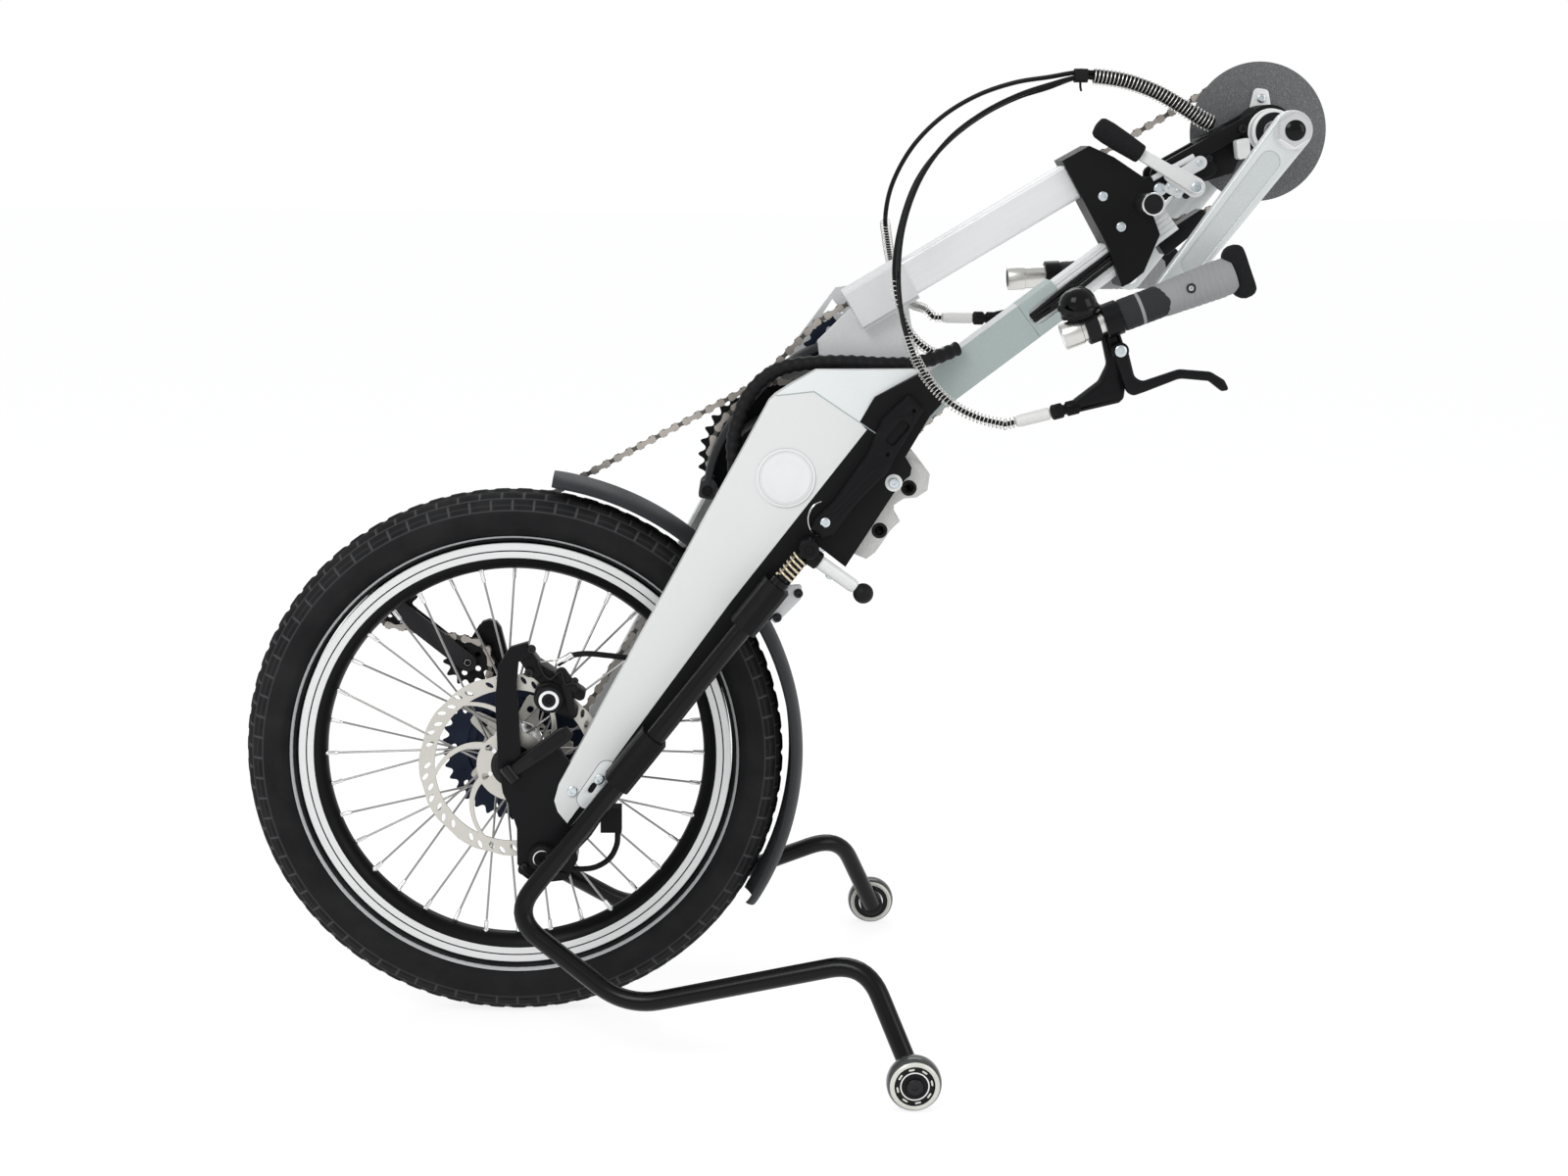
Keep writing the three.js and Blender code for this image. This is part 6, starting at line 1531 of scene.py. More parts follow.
def makeDrive():
    # The upper chain belongs to no body, and its place is baked into its mesh
    made = makeChain("upperChain", "upper_chain", upperWheels, chainSizes["upperPlane"], None)
    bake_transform(made)
    makeChain("lowerChain", "lower_chain", lowerWheels, chainSizes["lowerPlane"], "frame")
    upper, lower = chainSizes["upperPlane"], chainSizes["lowerPlane"]
    makeSprocket("idlerSprocket", idlerAt, 26.5, 13, upper, 5.2, 5, 3.2,
                 14.5, "cogBlue", "idler", "idler", hub=(8.8, 28.2, 39.8))
    makeSprocket("jackshaftInner", jackshaftAt, 68.8, 34, upper, 8.4, 6, 11, 42, "powderBlack", "jackshaft",
                 "jackshaft", hub=(13.8, 27.2, 59.8))
    makeSprocket("jackshaftOuter", jackshaftAt, 76.9, 38, lower, 13.0, 6,
                 13, 46, "powderBlack", "jackshaft", slot="black_steel")
    makeSprocket("chainringTeeth", chainringAt, 57.0, 28, upper, 8.9, 5, 10, 34, "powderBlack", "crankset",
                 "chainring", hub=(13.8, 28.4, 39.8))
    for word, at in (("guide", guideAt), ("tension", tensionAt)):
        makeSprocket(f"{word}Pulley", at, 22, 11, lower, 3.4, 5, 2.8, 12, "plasticBlack", f"{word}_pulley",
                     f"{word}_pulley", 3.0, hub=(6.0, 41.8, 48.2))

    # Drive unit: a finned drum on its boss, with the lug to the crown
    unit = lathe([(20, -81.5), (20, -46), (46, -44.4), (50.6, -42.6), (52, -40), (52, -30),
                  (49.6, -28.6), (49.6, -26), (52, -24.6), (52, 6), (49.6, 7.4), (49.6, 10),
                  (52, 11.4), (52, 20), (50.4, 22.8), (46, 24), (8, 24), (8, 81.4)],
                 (jackshaftAt[0], 0, jackshaftAt[1]), sides=72)
    dressed("drive_unit", "powderBlack", 1.2)
    piece("driveDrum", unit, "plasticBlack", "frame", slot="black")
    places = polar(41, np.arange(8) * math.pi / 4) + jackshaftAt
    bolts = screws(-1, *[(x, -44.2, z, 3.6, 2.4) for x, z in places])
    piece("driveBolts", bolts, "blackBolt", "frame")

    # Chain guard: a grey arch of round-edged section with its guide block
    route = smoothLine([(x, 15.6, z) for x, z in guardRoute], 90)
    section = rounded([(-3.6, -10.3), (3.6, -10.3), (3.6, 10.3), (-3.6, 10.3)], 1.6, 4)
    arch = sweep(route, section)
    block = plate(rounded([(175.5, 250), (190, 247.4), (194.5, 262), (190, 268), (178, 266)], 3.0),
                  5.6, 25.8, 1.2)
    roll = lathe([(4.6, -1.0), (5.2, 0), (5.2, 20), (4.6, 21)], (184, 5.0, 256.5), sides=24)
    piece("chainGuard", join(arch, block), "plasticGrey", "frame", "chain_guard")
    piece("chainGuardRoll", roll, "plasticBlack", "frame")

    # Derailleur: body, cage plates with cut-outs, bolts, adjuster screws
    dressed("derailleur_body", "satinBlack", 1.6, 3)
    dressed("derailleur_cage", "blackBolt", 0.7)
    knuckle = lathe([(8.8, 0), (9.6, 1.2), (9.6, 8.6), (8.4, 9.8), (5.0, 10.2), (4.6, 9.4), (0.4, 9.3)],
                    (-31, 57.9, 104), (0, 1, 0), 40)
    mount = lathe([(10.6, 0), (11.2, 1.0), (11.2, 8.4), (9.4, 9.6), (0.4, 9.8)],
                  (-8, 58.3, 29.5), (0, 1, 0), 36)
    parallelogram = plate(tapered((-14, 52), (-38, 93), 8.0, 6.0, 12), 52.5, 64.5, 2.2, 3)
    piece("derailleurKnuckles", join(knuckle, mount, parallelogram), "satinBlack", "frame")
    small = join(screws(-1, (-50, 40.0, 80.5, 6.0, 2.2)), screws(1, (-8, 67.6, 29.5, 5.2, 2.4)))
    piece("derailleurBolts", small, "polished", "frame")
    both = join(screws(-1, (-122, 37.6, 138.5, 4.2, 2.0)), screws(1, (-122, 52.4, 138.5, 4.2, 2.0)))
    piece("tensionBolt", both, "polished", "cage")

    # Docking beam and its screws
    dressed("docking_beam", "castAlloy", 1.6, 3)
    beamScrews = [screw((299, side * 76.0, 190.1), (0, side, 0), 5.0, 2.6) for side in (-1, 1)]
    profile = [(4.6, -9), (7.4, -9), (7.4, 0.2), (6.9, 0.7), (5.2, 0.7), (4.6, 0.2)]
    liners = [lathe(profile, (x, side * 75.8, z), (0, side, 0), 32, loop=True)
              for x, z in ((370.5, 271.5), (344, 231.5)) for side in (-1, 1)]
    piece("beamLiners", join(*liners), "plasticBlack", "frame", slot="black")
    piece("beamScrews", join(*beamScrews), "zincBolt", "frame")


conduitRoute = [(213, -51.3, 268), (209, -51.3, 290), (208, -51.3, 312), (213, -51.3, 334),
                (222, -51.3, 354), (237, -51.3, 371), (256, -51.3, 381), (284, -51.3, 385),
                (315, -51.3, 385.5), (345, -50.6, 384), (370, -47, 384), (385, -42, 386),
                (402, -35, 391), (418, -27, 397)]
conduitSizes = {"radius": 7.0, "groove": 6.1, "pitch": 9.6, "bore": 4.6}


# Corrugated hose: its radius swings between ridge and groove along the line
def makeConduit():
    line = smoothLine(conduitRoute, 40)
    length = lineLength(line)
    ribs = round(length / conduitSizes["pitch"])
    perRib = 8
    line = smoothLine(conduitRoute, ribs * perRib + 1)
    wave = np.cos(2 * math.pi * np.arange(ribs * perRib + 1) / perRib)
    ridge = np.sign(wave) * np.abs(wave) ** 0.4
    high, low = conduitSizes["radius"], conduitSizes["groove"]
    radius = (high + low) / 2 + (high - low) / 2 * ridge
    side, top = acrossLine(line)
    bend = circle(1.0, 20)
    across = side[:, None] * bend[None, :, :1] + top[:, None] * bend[None, :, 1:]
    outer = line[:, None] + across * radius[:, None, None]
    inner = line[:, None] + across * conduitSizes["bore"]
    piece("conduit", ringTube(np.concatenate([outer, inner[::-1]]), loop=True), "plasticBlack", "frame",
          "conduit", smooth=60)


# Docking lever: a notched strip on two levels, with a window, two holes and grooves
docking = {"corner": (280, 226.5), "size": (102, 134), "inner": 85.6, "outer": 97.0}


def makeDockingLever():
    shares = [(0.029, 0.134), (0, 0.06), (0.078, 0), (0.196, 0.022), (0.412, 0.246), (0.706, 0.485),
              (0.765, 0.59), (1, 0.896),
              (0.863, 1), (0.618, 0.821), (0.49, 0.582), (0.196, 0.261)]
    corner, size = np.array(docking["corner"], float), np.array(docking["size"], float)
    outline = rounded(corner + np.array(shares) * size, 2.2, 4)
    inner, outer = docking["inner"], docking["outer"]
    window = rounded([(345.5, 318), (353.5, 312.5), (369.5, 331), (361.5, 338)], 3.4, 4)
    holeA, holeB = moved(circle(1.7, 16), (372, 345.5)), moved(circle(1.9, 16), (348.5, 305.5))
    lower = plate([outline], -inner, -(outer - 4), 0.8)
    upper = plate([inset(outline, 1.1), window, holeA, holeB], -(outer - 4.4), -outer, 0.9)
    ridges = [plate(tapered((300, 252), (337, 291), 2.0, 2.3, 8), -(outer - 0.4), -(outer + 0.9), 0.4, 1),
              plate(tapered((306.5, 247.5), (341.5, 285), 1.6, 1.9, 8),
                    -(outer - 0.4), -(outer + 0.7), 0.4, 1)]
    piece("dockingLever", join(lower, upper, *ridges), "satinBlack", "docking_lever", "docking_lever",
          smooth=30)
    pivotScrew = screw((292.2, -(outer - 0.2), 242.1), toNear, 4.6, 2.4)
    piece("dockingScrew", pivotScrew, "zincBolt", "docking_lever")
    clip = smoothLine([(289, -87, 260), (282.5, -88, 257), (277.5, -88.4, 249), (277.8, -88.4, 238),
                       (283, -88, 229.5), (291, -87, 228)], 40)
    piece("dockingClip", hose(clip, 0.9, 8), "polished", "frame")


makeDrive()
makeConduit()
makeDockingLever()
print("drive, conduit and docking made")


# Head: arm, bearing shell, guard disc with its tab, toggle lever
crankAt = (706.0, 600.5)
crankPin = (crankAt[0] - 104.6, crankAt[1] - 141.6)
crankMiddle = (crankAt[0], 0, crankAt[1])
headMount = [(671.5, 591.7), (684.1, 594.5), (685.8, 576.6), (674.1, 573.9)]
headScrewAt = (680.1, 602.5)


def makeHead():
    arm = [plate([moved(circle(24.5, 56), crankAt), moved(circle(20.2, 48), crankAt)], -19, 21, 1.0),
           plate(rounded([(639.4, 592), (668, 606), (686, 590), (676, 562), (646.6, 552.8)], 4),
                 -12, 14, 1.2)]
    for y in (-14.2, 22):
        arm += [plate(tapered((604, 560), (694, 612), 8.0, 7.0, 18), y, y - 7.6, 1.2, 3),
                plate(tapered((604, 546.5), (650, 566), 11.0, 8.0, 18), y, y - 7.4, 1.2, 3)]
    piece("headArm", join(*arm), "powderBlack", "head", "head_arm")
    shell = lathe([(8.9, -38), (18.6, -38), (20, -36.8), (20, -24.4), (20.9, -23.8), (20.9, -21.4),
                   (20, -20.8), (20, 24.6), (19.4, 25.2), (8.9, 25.2)],
                  crankMiddle, sides=64, loop=True)
    piece("bearingShell", shell, "coverSilver", "head", "bearing_shell")
    seal = lathe([(9.4, -38.2), (16.4, -38.9), (17.2, -38.2), (17.2, -37.4), (9.4, -37.4)],
                 crankMiddle, sides=56, loop=True)
    piece("bearingSeal", seal, "plasticBlack", "head")
    disc = lathe([(14.2, 25.6), (62.2, 25.6), (64.6, 26.0), (65.2, 26.8),
                  (64.6, 27.6), (62.2, 28.0), (14.2, 28.0)],
                 crankMiddle, sides=128, loop=True)
    piece("guardDisc", disc, "guardGrey", "head", "guard_disc")
    tab = plate(rounded([(696, 606), (716.5, 607.5), (717, 622.5), (713.5, 639.5), (700, 641.5),
                         (696.5, 624)], 4.5), 22.6, 25.4, 0.7)
    piece("guardTab", tab, "coverSilver", "head")
    piece("guardScrew", screw((707, 22.7, 631.5), toNear, 4.2, 2.2), "zincBolt", "head")

    # Link plates, blocks and rivets where the toggle pulls the head down
    links = [plate(tapered((640, 571), (616, 556), 6.4, 5.0, 14), -29.0, -31.2, 0.5),
             plate(rounded([(606, 545), (622, 537), (629, 549), (613, 558)], 2.4, 4), -27.5, -32.0, 0.8),
             hose(evenLine([(596, -30, 556), (634, -30, 577)], 8), 2.6, 14)]
    piece("headLinks", join(*links), "plateSilver", "head")
    rivets = [(x, -31.0, z, 3.0, 1.6) for x, z in ((640, 571), (617, 556.5), (613, 549), (621, 545))]
    piece("headRivets", screws(-1, *rivets), "zincBolt", "head")
    mount = plate(rounded(headMount, 2.6), -21.0, -37.0, 1.0, 3)
    piece("bearingMount", mount, "coverSilver", "head")

    # Cable stop on the arm
    stop = lathe([(6.4, -7), (7.0, -6), (7.0, -1.6), (6.2, 0.4), (5.2, 1.2), (0.4, 1.4)],
                 (656, -12, 598.5), (0, 0, 1), 28)
    piece("cableStop", stop, "plasticBlack", "head")
    headScrews = screws(-1, (628, -29.1, 541.5, 3.8, 2.2), (650, -21.2, 575, 3.6, 2.2),
                        (headScrewAt[0], -21.2, headScrewAt[1], 4.4, 3.2))
    piece("headScrews", headScrews, "blackBolt", "head")

    # Toggle lever: silver arm with a fork at its pin, black rubber grip
    arm = plate(tapered((636, 548.5), (580, 580), 6.4, 5.4, 18), -32.6, -39.4, 1.4, 3)
    cheek = plate(tapered((636, 548.5), (614, 560.8), 9.4, 8.4), -31.0, -32.9)
    pinHead = screw((636, -39.4, 548.5), toNear, 5.4, 2.4)
    piece("toggleArm", join(arm, cheek), "coverSilver", "toggle", "toggle_lever", smooth=30)
    piece("togglePin", pinHead, "zincBolt", "toggle")
    a, b = np.array([584.0, -36, 577.6]), np.array([541.0, -36, 604.0])
    aim = normalised(b - a)
    length = float(np.linalg.norm(b - a))
    profile = [(4.0, 0), (8.4, 0.8), (9.0, 3), (9.4, 10), (10.2, length * 0.45), (10.6, length * 0.75),
               (10.0, length - 4), (8.0, length - 0.8), (3.0, length + 0.4), (0.3, length + 0.6)]
    radii = [0, *[2.0] * (len(profile) - 2), 0]
    piece("toggleGrip", lathe(rounded(profile, radii, 3), a, aim, 40), "padBlack", "toggle")


def makeCrank():
    axleShape = lathe([(8.4, -114), (8.4, 114)], crankMiddle, sides=40)
    piece("crankAxle", axleShape, "polished", "crankset", "crank_axle")
    for word, side in (("near", -1), ("far", 1)):
        title = word.capitalize()
        low, high = side * 98.0, side * 112.0
        outline = tapered(crankAt, crankPin, 18.0, 13.0, 30)
        body = plate([outline, moved(circle(8.8, 40), crankAt), moved(circle(5.4, 28), crankPin)],
                     low, side * 110.6, 1.6, 3)
        # Raised border round a recessed panel that is left plain
        aim = normalised(np.subtract(crankPin, crankAt))
        inner = tapered(np.array(crankAt) + aim * 35, np.array(crankPin) - aim * 27, 10.2, 8.6)
        border = plate([inset(outline, 0.9), inner, moved(circle(13.4, 40), crankAt),
                        moved(circle(7.6, 28), crankPin)],
                       side * 110.2, high, 0.7)
        piece(f"crankArm{title}", join(body, border), "crankAlloy",
              "crankset", f"crank_arm_{word}", smooth=34)
        floor = plate([inner], side * 110.2, side * 110.75, 0)
        piece(f"crankPanel{title}", floor, "crankPanel", "crankset")
        nut = hexNut((crankAt[0], side * 112.2, crankAt[1]), (0, side, 0), 15.8, 6.0, 9.0)
        washer = lathe([(8.6, 110.4), (16.4, 110.4), (17.0, 111.2), (17.0, 112.2), (8.6, 112.4)],
                       crankMiddle, (0, side, 0), 40, loop=True)
        piece(f"crankNut{title}", join(nut, washer), "polished", "crankset")
        cap = lathe([(9.2, 112.6), (9.4, 118.4), (9.2, 119.4), (7.4, 120.9), (4.2, 121.8), (0.4, 122.0)],
                    crankMiddle, (0, side, 0), 40)
        piece(f"crankCap{title}", cap, "glossBlack", "crankset", slot="black_plastic")


makeHead()
makeCrank()
print("head and crank made")

# Handles: each is worked out in its own frame, x along the bar and z up, then turned in place
handle = {
    "lateral": 165.0, "tilt": {"near": 21.0, "far": 3.0}, "roll": {"near": 0.0, "far": 55.0},
    "gripStart": -59.0, "gripEnd": 46.0,
}


def handleTurn(word, rolled):
    lean = handle["tilt"][word] * degree
    roll = handle["roll"][word] * degree if rolled else 0.0
    side = -1 if word == "near" else 1
    turnY = np.array([[math.cos(lean), 0, -math.sin(lean)], [0, 1, 0], [math.sin(lean), 0, math.cos(lean)]])
    turnX = np.array([[1, 0, 0], [0, math.cos(roll), -math.sin(roll)], [0, math.sin(roll), math.cos(roll)]])
    return turnY @ turnX, np.array([crankPin[0], side * handle["lateral"], crankPin[1]])


def handlePiece(name, shape, finish, word, *nodes, rolled=True, body=None, **more):
    matrix, offset = handleTurn(word, rolled)
    return piece(name, turnedShape(shape, matrix, offset), finish, body or f"handle_{word}", *nodes, **more)


# Grip skin: radius by its place along the bar and by the angle round it; the palm side swells
def gripShape():
    start, end = handle["gripStart"], handle["gripEnd"]
    x = np.linspace(start, end, 150)
    share = (x - start) / (end - start)
    base = np.interp(share, [0, 0.02, 0.36, 0.385, 0.42, 0.66, 0.86, 0.97, 1],
                     [13.4, 14.4, 14.4, 15.0, 15.3, 17.0, 17.9, 17.2, 15.6])
    angle = fullTurn(64)
    shaped = 1 + 0.05 * np.cos(2 * angle)[None] * np.clip((share - 0.4) / 0.3, 0, 1)[:, None]
    # Wavy lines pressed into the grip's larger half
    lines = np.sin(x[:, None] * 1.15 + 2.2 * np.sin(angle * 2 + x[:, None] * 0.05))
    zone = (np.clip((share - 0.45) / 0.06, 0, 1) * np.clip((0.95 - share) / 0.05, 0, 1))[:, None]
    ribs = np.where((share > 0.05) & (share < 0.34), np.cos(x * 2 * math.pi / 6.5), -1)[:, None]
    radius = base[:, None] * shaped - 0.9 * np.clip(lines - 0.45, 0, 1) * zone + 0.22 * np.clip(ribs, 0, 1)
    rings = np.stack([np.broadcast_to(x[:, None], radius.shape), radius * np.cos(angle),
                      radius * np.sin(angle)], axis=2)
    ring = 11.2 * np.stack([np.cos(angle), np.sin(angle)])[:, None] + 0 * radius
    bore = np.stack([np.broadcast_to(x[::-1, None], radius.shape), *ring], axis=2)
    return ringTube(np.concatenate([rings, bore[::10]]), loop=True)


def makeHandle(word, side):
    out = side
    title = word.capitalize()
    # Bar with its bright end, pin and pin head
    bar = lathe([(9.0, -112.8), (11.4, -112.8), (11.9, -112.0), (11.9, -96), (11.0, -95.4), (11.0, 43.8)],
                origin, alongX, 48)
    recess = lathe([(8.9, -112.9), (8.9, -112.7), (0.4, -112.6)], origin, alongX, 32)
    handlePiece(f"bar{title}", bar, "steelBright", word, f"handle_bar_{word}", rolled=False)
    handlePiece(f"barPlug{title}", recess, "plasticBlack" if word == "far" else "polished", word,
                rolled=False, slot="black_plastic")
    inward = -side
    reach = handle["lateral"] - 98.0 + 0.3
    pin = lathe([(4.9, 0), (4.9, reach - 0.3), (7.4, reach), (7.6, reach + 1), (7.0, reach + 3.6),
                 (3.4, reach + 4.0), (3.0, reach + 2.4), (0.3, reach + 2.3)],
                origin, (0, inward, 0), 28)
    collar = lathe([(8.4, 17.2), (9.0, 18), (9.0, 50.4), (8.4, 51.4)], origin, (0, inward, 0), 32)
    handlePiece(f"pin{title}", pin, "polished", word, rolled=False)
    handlePiece(f"pinSleeve{title}", collar, "plasticBlack", word, rolled=False, slot="black")

    # Grip, black end pad with two swells, its screw hole
    skin = gripShape()
    rows = np.arange(len(skin[1])) // 64
    # The dark half ends in points, and has a lighter ring in its middle
    around = np.abs((np.arange(len(skin[1])) % 64) / 16 % 2 - 1)
    index = ((rows < 50 + 12 * around) & ((rows < 24) | (rows > 27))).astype(int)
    handlePiece(f"grip{title}", skin, ["gripGrey", "gripDark"], word,
                f"grip_{word}", rolled=False, places=index, smooth=50)
    t = np.linspace(0, 2 * math.pi, 96, endpoint=False)
    high = 24 * np.sin(t)
    waist = 11.5 + 2.2 * (high / 24) ** 2
    wide = waist * np.sqrt(np.maximum(1 - (np.abs(high) / 24.6) ** 5, 0))
    profile = np.stack([np.sign(np.cos(t)) * wide, high], axis=1)
    steps = [(41.0, 0.66), (43.0, 0.82), (46.0, 0.94), (50.0, 1.0), (55.5, 0.99), (59.0, 0.93),
             (60.8, 0.84), (60.6, 0.7), (59.4, 0.45), (59.0, 0.15)]
    rings = np.stack([np.column_stack([np.full(96, x), profile[:, 0] * s, profile[:, 1] * s])
                      for x, s in steps])
    handlePiece(f"gripPad{title}", ringTube(rings), "padBlack", word, rolled=False)
    holeAt = (5.0, out * 16.6, 3.0)
    eye = lathe([(2.2, -1.4), (3.4, -1.0), (4.4, 0.5), (3.8, 1.1), (2.6, 0.8), (2.2, 0.2)], holeAt,
                (0, out, 0.1), 24, loop=True)
    handlePiece(f"gripEye{title}", eye, "gripDark", word, rolled=False, slot="grip")
    handlePiece(f"gripScrew{title}", screw((5.0, out * 16.2, 3.0), (0, out, 0.1), 2.6, 0.8),
                "zincBolt", word, rolled=False)

    # Lever clamp: band, body, adjuster with knurls, white ferrule
    y1, y2 = out * -14.0, out * -3.3
    band = lathe([(11.3, -75), (14.6, -75), (15.5, -74.2), (15.5, -60.2), (14.6, -59.4), (11.3, -59.4)],
                 origin, alongX, 48, loop=True)
    shares = [(0.731, 0.995), (1, 1), (0.992, 0.514), (0.886, 0.308), (0.736, 0.035), (0.649, 0),
              (0.017, 0.074), (0, 0.243),
              (0.467, 0.373), (0.666, 0.548)]
    corner, size = np.array([-123, -73.1]), np.array([59.8, 65.9])
    outline = rounded(corner + np.array(shares) * size, [3, 2, 5, 5, 5, 4, 3, 4, 9, 9])
    body = plate([outline], y1, y2, 2.4, 3)
    panel = plate([inset(outline, 4.0)], out * -3.1, out * -2.3)
    pivot = (-69.7, -28.3)
    handlePiece(f"leverClamp{title}", join(band, body, panel),
                "satinBlack", word, f"lever_clamp_{word}", smooth=34)
    bolts = screws(out, (pivot[0], out * 8.3, pivot[1], 5.2, 1.6), (-66.5, out * -3.2, -9.0, 3.4, 3.0))
    handlePiece(f"leverBolts{title}", bolts, "zincBolt", word)
    axisY = out * -8.6
    a, b = np.array([-119.0, axisY, -63.5]), np.array([-144.4, axisY, -60.6])
    aim = normalised(b - a)
    knurl = 1 + 0.05 * np.sign(np.sin(20 * 2 * math.pi * np.arange(80) / 80))
    rowsOf = [(4.4, -1), (5.6, 0), (6.3, 0.8), (6.3, 10.4), (5.4, 11.4), (4.6, 11.8), (4.6, 13.6),
              (6.0, 14.2), (6.5, 15.2), (6.5, 23.6), (5.6, 24.8), (4.2, 25.4)]
    factor = np.ones((len(rowsOf), 80))
    factor[2:4] = knurl
    factor[8:10] = knurl
    handlePiece(f"adjuster{title}", lathe(rowsOf, a, aim, 80, factor=factor), "satinBlack", word)
    end = np.array([-176.5, axisY, -56.9])
    tip = normalised(end - b)
    reach2 = float(np.linalg.norm(end - b))
    white = lathe([(3.2, 0.6), (4.6, 0.9), (5.7, 1.8), (5.5, reach2 - 4.6), (5.0, reach2 - 3.6),
                   (5.0, reach2 - 1.4), (4.2, reach2 - 0.4), (2.4, reach2)], b, tip, 32)
    handlePiece(f"ferrule{title}", white, "ferruleWhite", word, slot="brass")

    # Blade: a slim curved lever with a rounded section and a hooked tip
    leverShares = [(0.024, 0.98), (0.105, 1), (0.156, 0.892), (0.128, 0.546), (0.198, 0.458),
                   (0.588, 0.442), (0.883, 0.282), (0.984, 0.137), (1, 0), (0.92, 0.021), (0.828, 0.191),
                   (0.556, 0.341), (0.183, 0.336), (0.01, 0.34), (0, 0.531), (0.002, 0.874)]
    corner, size = np.array([-76.4, -95.4]), np.array([86.5, 74.7])
    outline = rounded(corner + np.array(leverShares) * size,
                      [3, 3, 6, 8, 7, 16, 8, 5, 2.4, 2.4, 6, 16, 12, 8, 8, 6], 6)
    bladeLow, bladeHigh = out * -3.0, out * 8.0
    blade = plate([outline], bladeLow, bladeHigh, 2.6, 4)
    boss = lathe([(6.9, 0), (7.6, 0.8), (7.6, 10.4), (6.8, 11.2)],
                 (pivot[0], out * -3.1, pivot[1]), (0, out, 0), 36)
    handlePiece(f"brakeLever{title}", join(blade, boss), "satinBlack", word, f"brake_lever_{word}",
                body=f"brake_lever_{word}", smooth=50)

    if word == "near":
        strap = lathe([(11.3, -92), (13.6, -92), (14.6, -91.2), (14.6, -80.8), (13.6, -80), (11.3, -80)],
                      origin, alongX, 48, loop=True)
        dome = lathe([(17.0, 1.0), (17.6, 1.8), (17.6, 4.4), (17.0, 5.2), (16.9, 9.0), (16.2, 13.6),
                      (14.4, 18.0), (11.4, 21.4), (7.0, 23.8), (2.4, 24.8), (0.2, 24.9)],
                     (-91, 0, 13), (0, 0, 1), 64)
        base = lathe([(9.0, -3.0), (12.8, -2.4), (13.4, 0.6), (12.6, 1.4)], (-91, 0, 13), (0, 0, 1), 40)
        hammer = hose(smoothLine([(-84, -17, 14), (-92, -19.4, 16.5), (-101, -18.4, 20), (-107, -14.4, 25)],
                                 24),
                      1.6)
        tip = ball((-107.6, -13.4, 26), 3.4, 16)
        handlePiece("bell", dome, "glossBlack", word, "bell", smooth=60)
        handlePiece("bellMount", join(strap, base, hammer, tip), "plasticBlack", word)


for sideWord, sideSign in (("near", -1), ("far", 1)):
    makeHandle(sideWord, sideSign)
print("handles made")


# Cords: three in one bundle from the cable stop to the tie, then one to each handle and one
# to the leg, by the same points as their solids
cords = {
    "radius": 2.2, "steps": 150,
    "bundle": [(655, -12, 605.9), (644, -12, 611), (622, -12, 624), (600, -12, 635.5), (572, -12, 645),
               (544, -12, 649),
               (527, -12, 649.5)],
    "offsets": [(-2.6, -1.5), (2.6, -1.5), (0, 3)],
    "near": [(500, -17, 641), (470, -24, 631), (436, -33, 614), (404, -46, 590), (378, -60, 556),
             (361, -77, 512),
             (356, -92, 468), (359, -107, 430), (367, -122, 402), (380, -138, 378), (400, -150, 358),
             (424, -155, 346)],
    "leg": [(498, -14, 638), (470, -18, 629), (436, -26, 612), (402, -37, 586), (375, -47, 552),
            (359, -56, 506),
            (355, -60, 466), (361, -58, 436), (372, -48, 412), (386, -39, 399), (404, -30, 390)],
    "far": [(500, -6, 648), (470, 4, 643), (436, 15, 631), (404, 22, 611), (377, 25, 583), (359, 32, 548),
            (354, 44, 518), (358, 66, 494), (364, 92, 472), (372, 122, 452), (382, 156, 436),
            (396, 190, 424), (410, 209, 418.5)],
    "bundleCurl": (7.7, 0.5, 34), "nearCurl": (4.8, 0.42, 40), "farCurl": (4.8, 0.42, 60),
    "legCurl": (4.4, 0.42, 24),
    "curlStart": {"near": 0.78, "far": 0.51}, "bundleShare": 0.9, "tieX": 529.0,
}


def bundleShifted(offset):
    middle = np.array(cords["bundle"], float)
    along = normalised(np.gradient(middle, axis=0))
    up = normalised(np.cross((0, 1.0, 0), along))
    return middle + up * offset[1] + np.array([0, offset[0], 0])


def ferruleBehind(word, distance):
    matrix, offset = handleTurn(word, True)
    side = -1 if word == "near" else 1
    start = matrix @ np.array([-144.4, side * -8.6, -60.6]) + offset
    end = matrix @ np.array([-176.5, side * -8.6, -56.9]) + offset
    return end + normalised(end - start) * distance


def cordLine(which):
    offset = cords["offsets"][["near", "leg", "far"].index(which)]
    route = [*bundleShifted(offset), *np.array(cords[which], float)]
    if which == "leg":
        return smoothLine(route, cords["steps"])
    straight = 4 * cords["radius"]
    route.append(ferruleBehind(which, straight))
    line = smoothLine(route, cords["steps"])
    return np.vstack([line, [ferruleBehind(which, 0.3)]])


# Index of the line's point that is nearest to a place
def nearestTo(line, place):
    return int(np.argmin(np.linalg.norm(line - np.asarray(place, float), axis=1)))


def bendBetween(made):
    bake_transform(made)


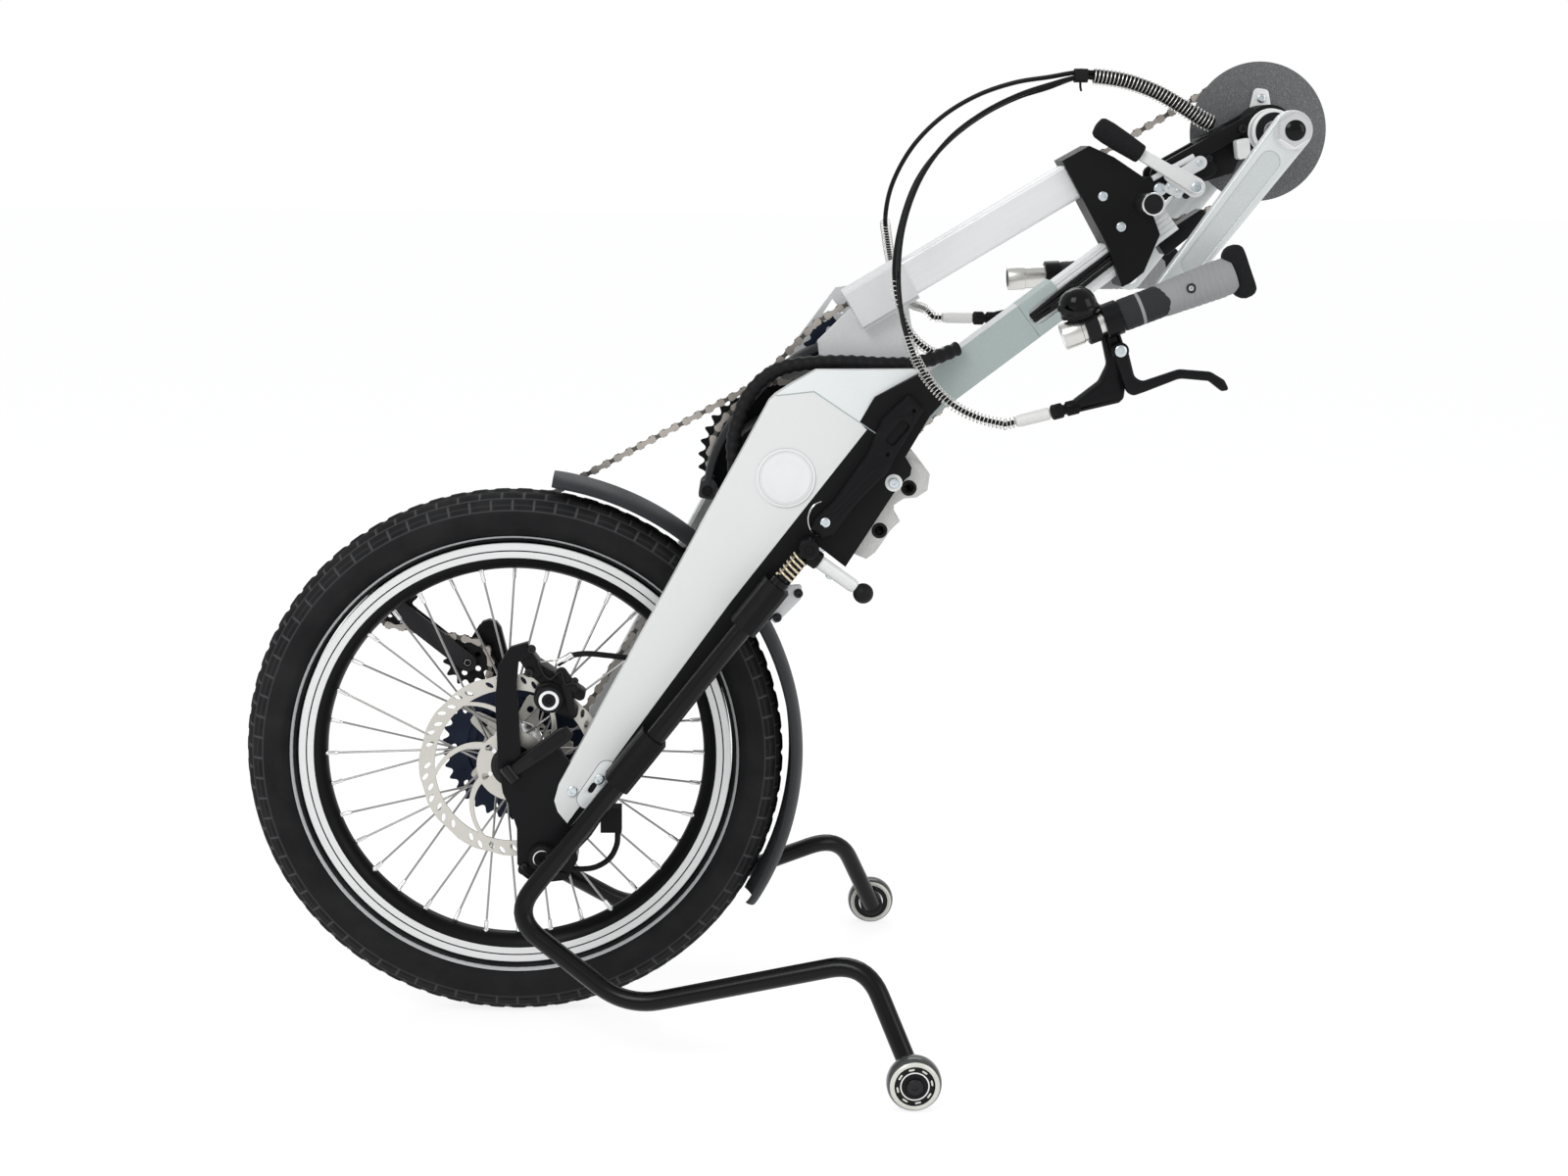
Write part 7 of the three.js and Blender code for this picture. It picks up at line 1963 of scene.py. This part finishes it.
def makeCords():
    lines = {which: cordLine(which) for which in ("near", "leg", "far")}
    tieAt = {which: nearestTo(line, (cords["tieX"], -12, 649.5)) for which, line in lines.items()}
    # From the stop to the tie the three run together and ride on the head
    together = [hose(line[:tieAt[which] + 2], cords["radius"], 12) for which, line in lines.items()]
    tie = lathe([(5.6, -2.6), (6.5, -2.0), (6.5, 2.0), (5.6, 2.6)], (529, -12, 649.6), (1, 0, 0), 28)
    tail = hose([(529, -10, 644), (529.5, -8.5, 639), (530.5, -8.2, 635.5)], 1.1, 8)
    band = sweep([(523, -12, 649.5), (535, -12, 649.5)],
                 rounded([(-6.3, -6.3), (6.3, -6.3), (6.3, 6.3), (-6.3, 6.3)], 3.5, 4))
    piece("cordBundle", join(*together), "cordBlack", "head", "handle_cords")
    piece("cordTie", join(tie, band, tail), "plasticBlack", "head")
    radius, wire, turns = cords["bundleCurl"]
    bundle = smoothLine(cords["bundle"], 200)
    bundle = bundle[2:int(200 * cords["bundleShare"])]
    piece("bundleSpring", coil(bundle, radius, wire, turns), "steelBright", "head", "bundle_spring")
    sock = hose(bundle, 6.3, 14)
    piece("bundleSock", sock, "cordBlack", "head")

    # The leg's cord runs between the head and the frame, in no body, its place baked into its mesh
    line = lines["leg"]
    made = piece("legCord", hose(line[tieAt["leg"]:], cords["radius"], 12), "cordBlack", None, smooth=180)
    bendBetween(made)
    radius, wire, turns = cords["legCurl"]
    spring = piece("legSpring", coil(line[int(len(line) * 0.8):], radius, wire, turns, 8, 16),
                   "steelBright", None, smooth=180, slot="steel")
    bendBetween(spring)
    # The handles' cords go from the head to the cranks, and on to the handle, in two stretches
    for which, curlNode in (("near", "near_spring"), ("far", "far_spring")):
        line = lines[which]
        half = nearestTo(line, cords[which][6])
        first = piece(f"{which}CordUpper", hose(line[tieAt[which]:half + 1], cords["radius"], 12),
                      "cordBlack", None, smooth=180)
        bendBetween(first)
        second = piece(f"{which}CordLower", hose(line[half:], cords["radius"], 12),
                       "cordBlack", None, smooth=180)
        bendBetween(second)
        radius, wire, turns = cords[f"{which}Curl"]
        low = max(int(len(line) * cords["curlStart"][which]), half + 2)
        spring = piece(f"{which}Spring", coil(line[low:], radius, wire, turns), "steelBright", None,
                       curlNode, smooth=180, slot="steel")
        bendBetween(spring)


makeCords()
print("cords made")
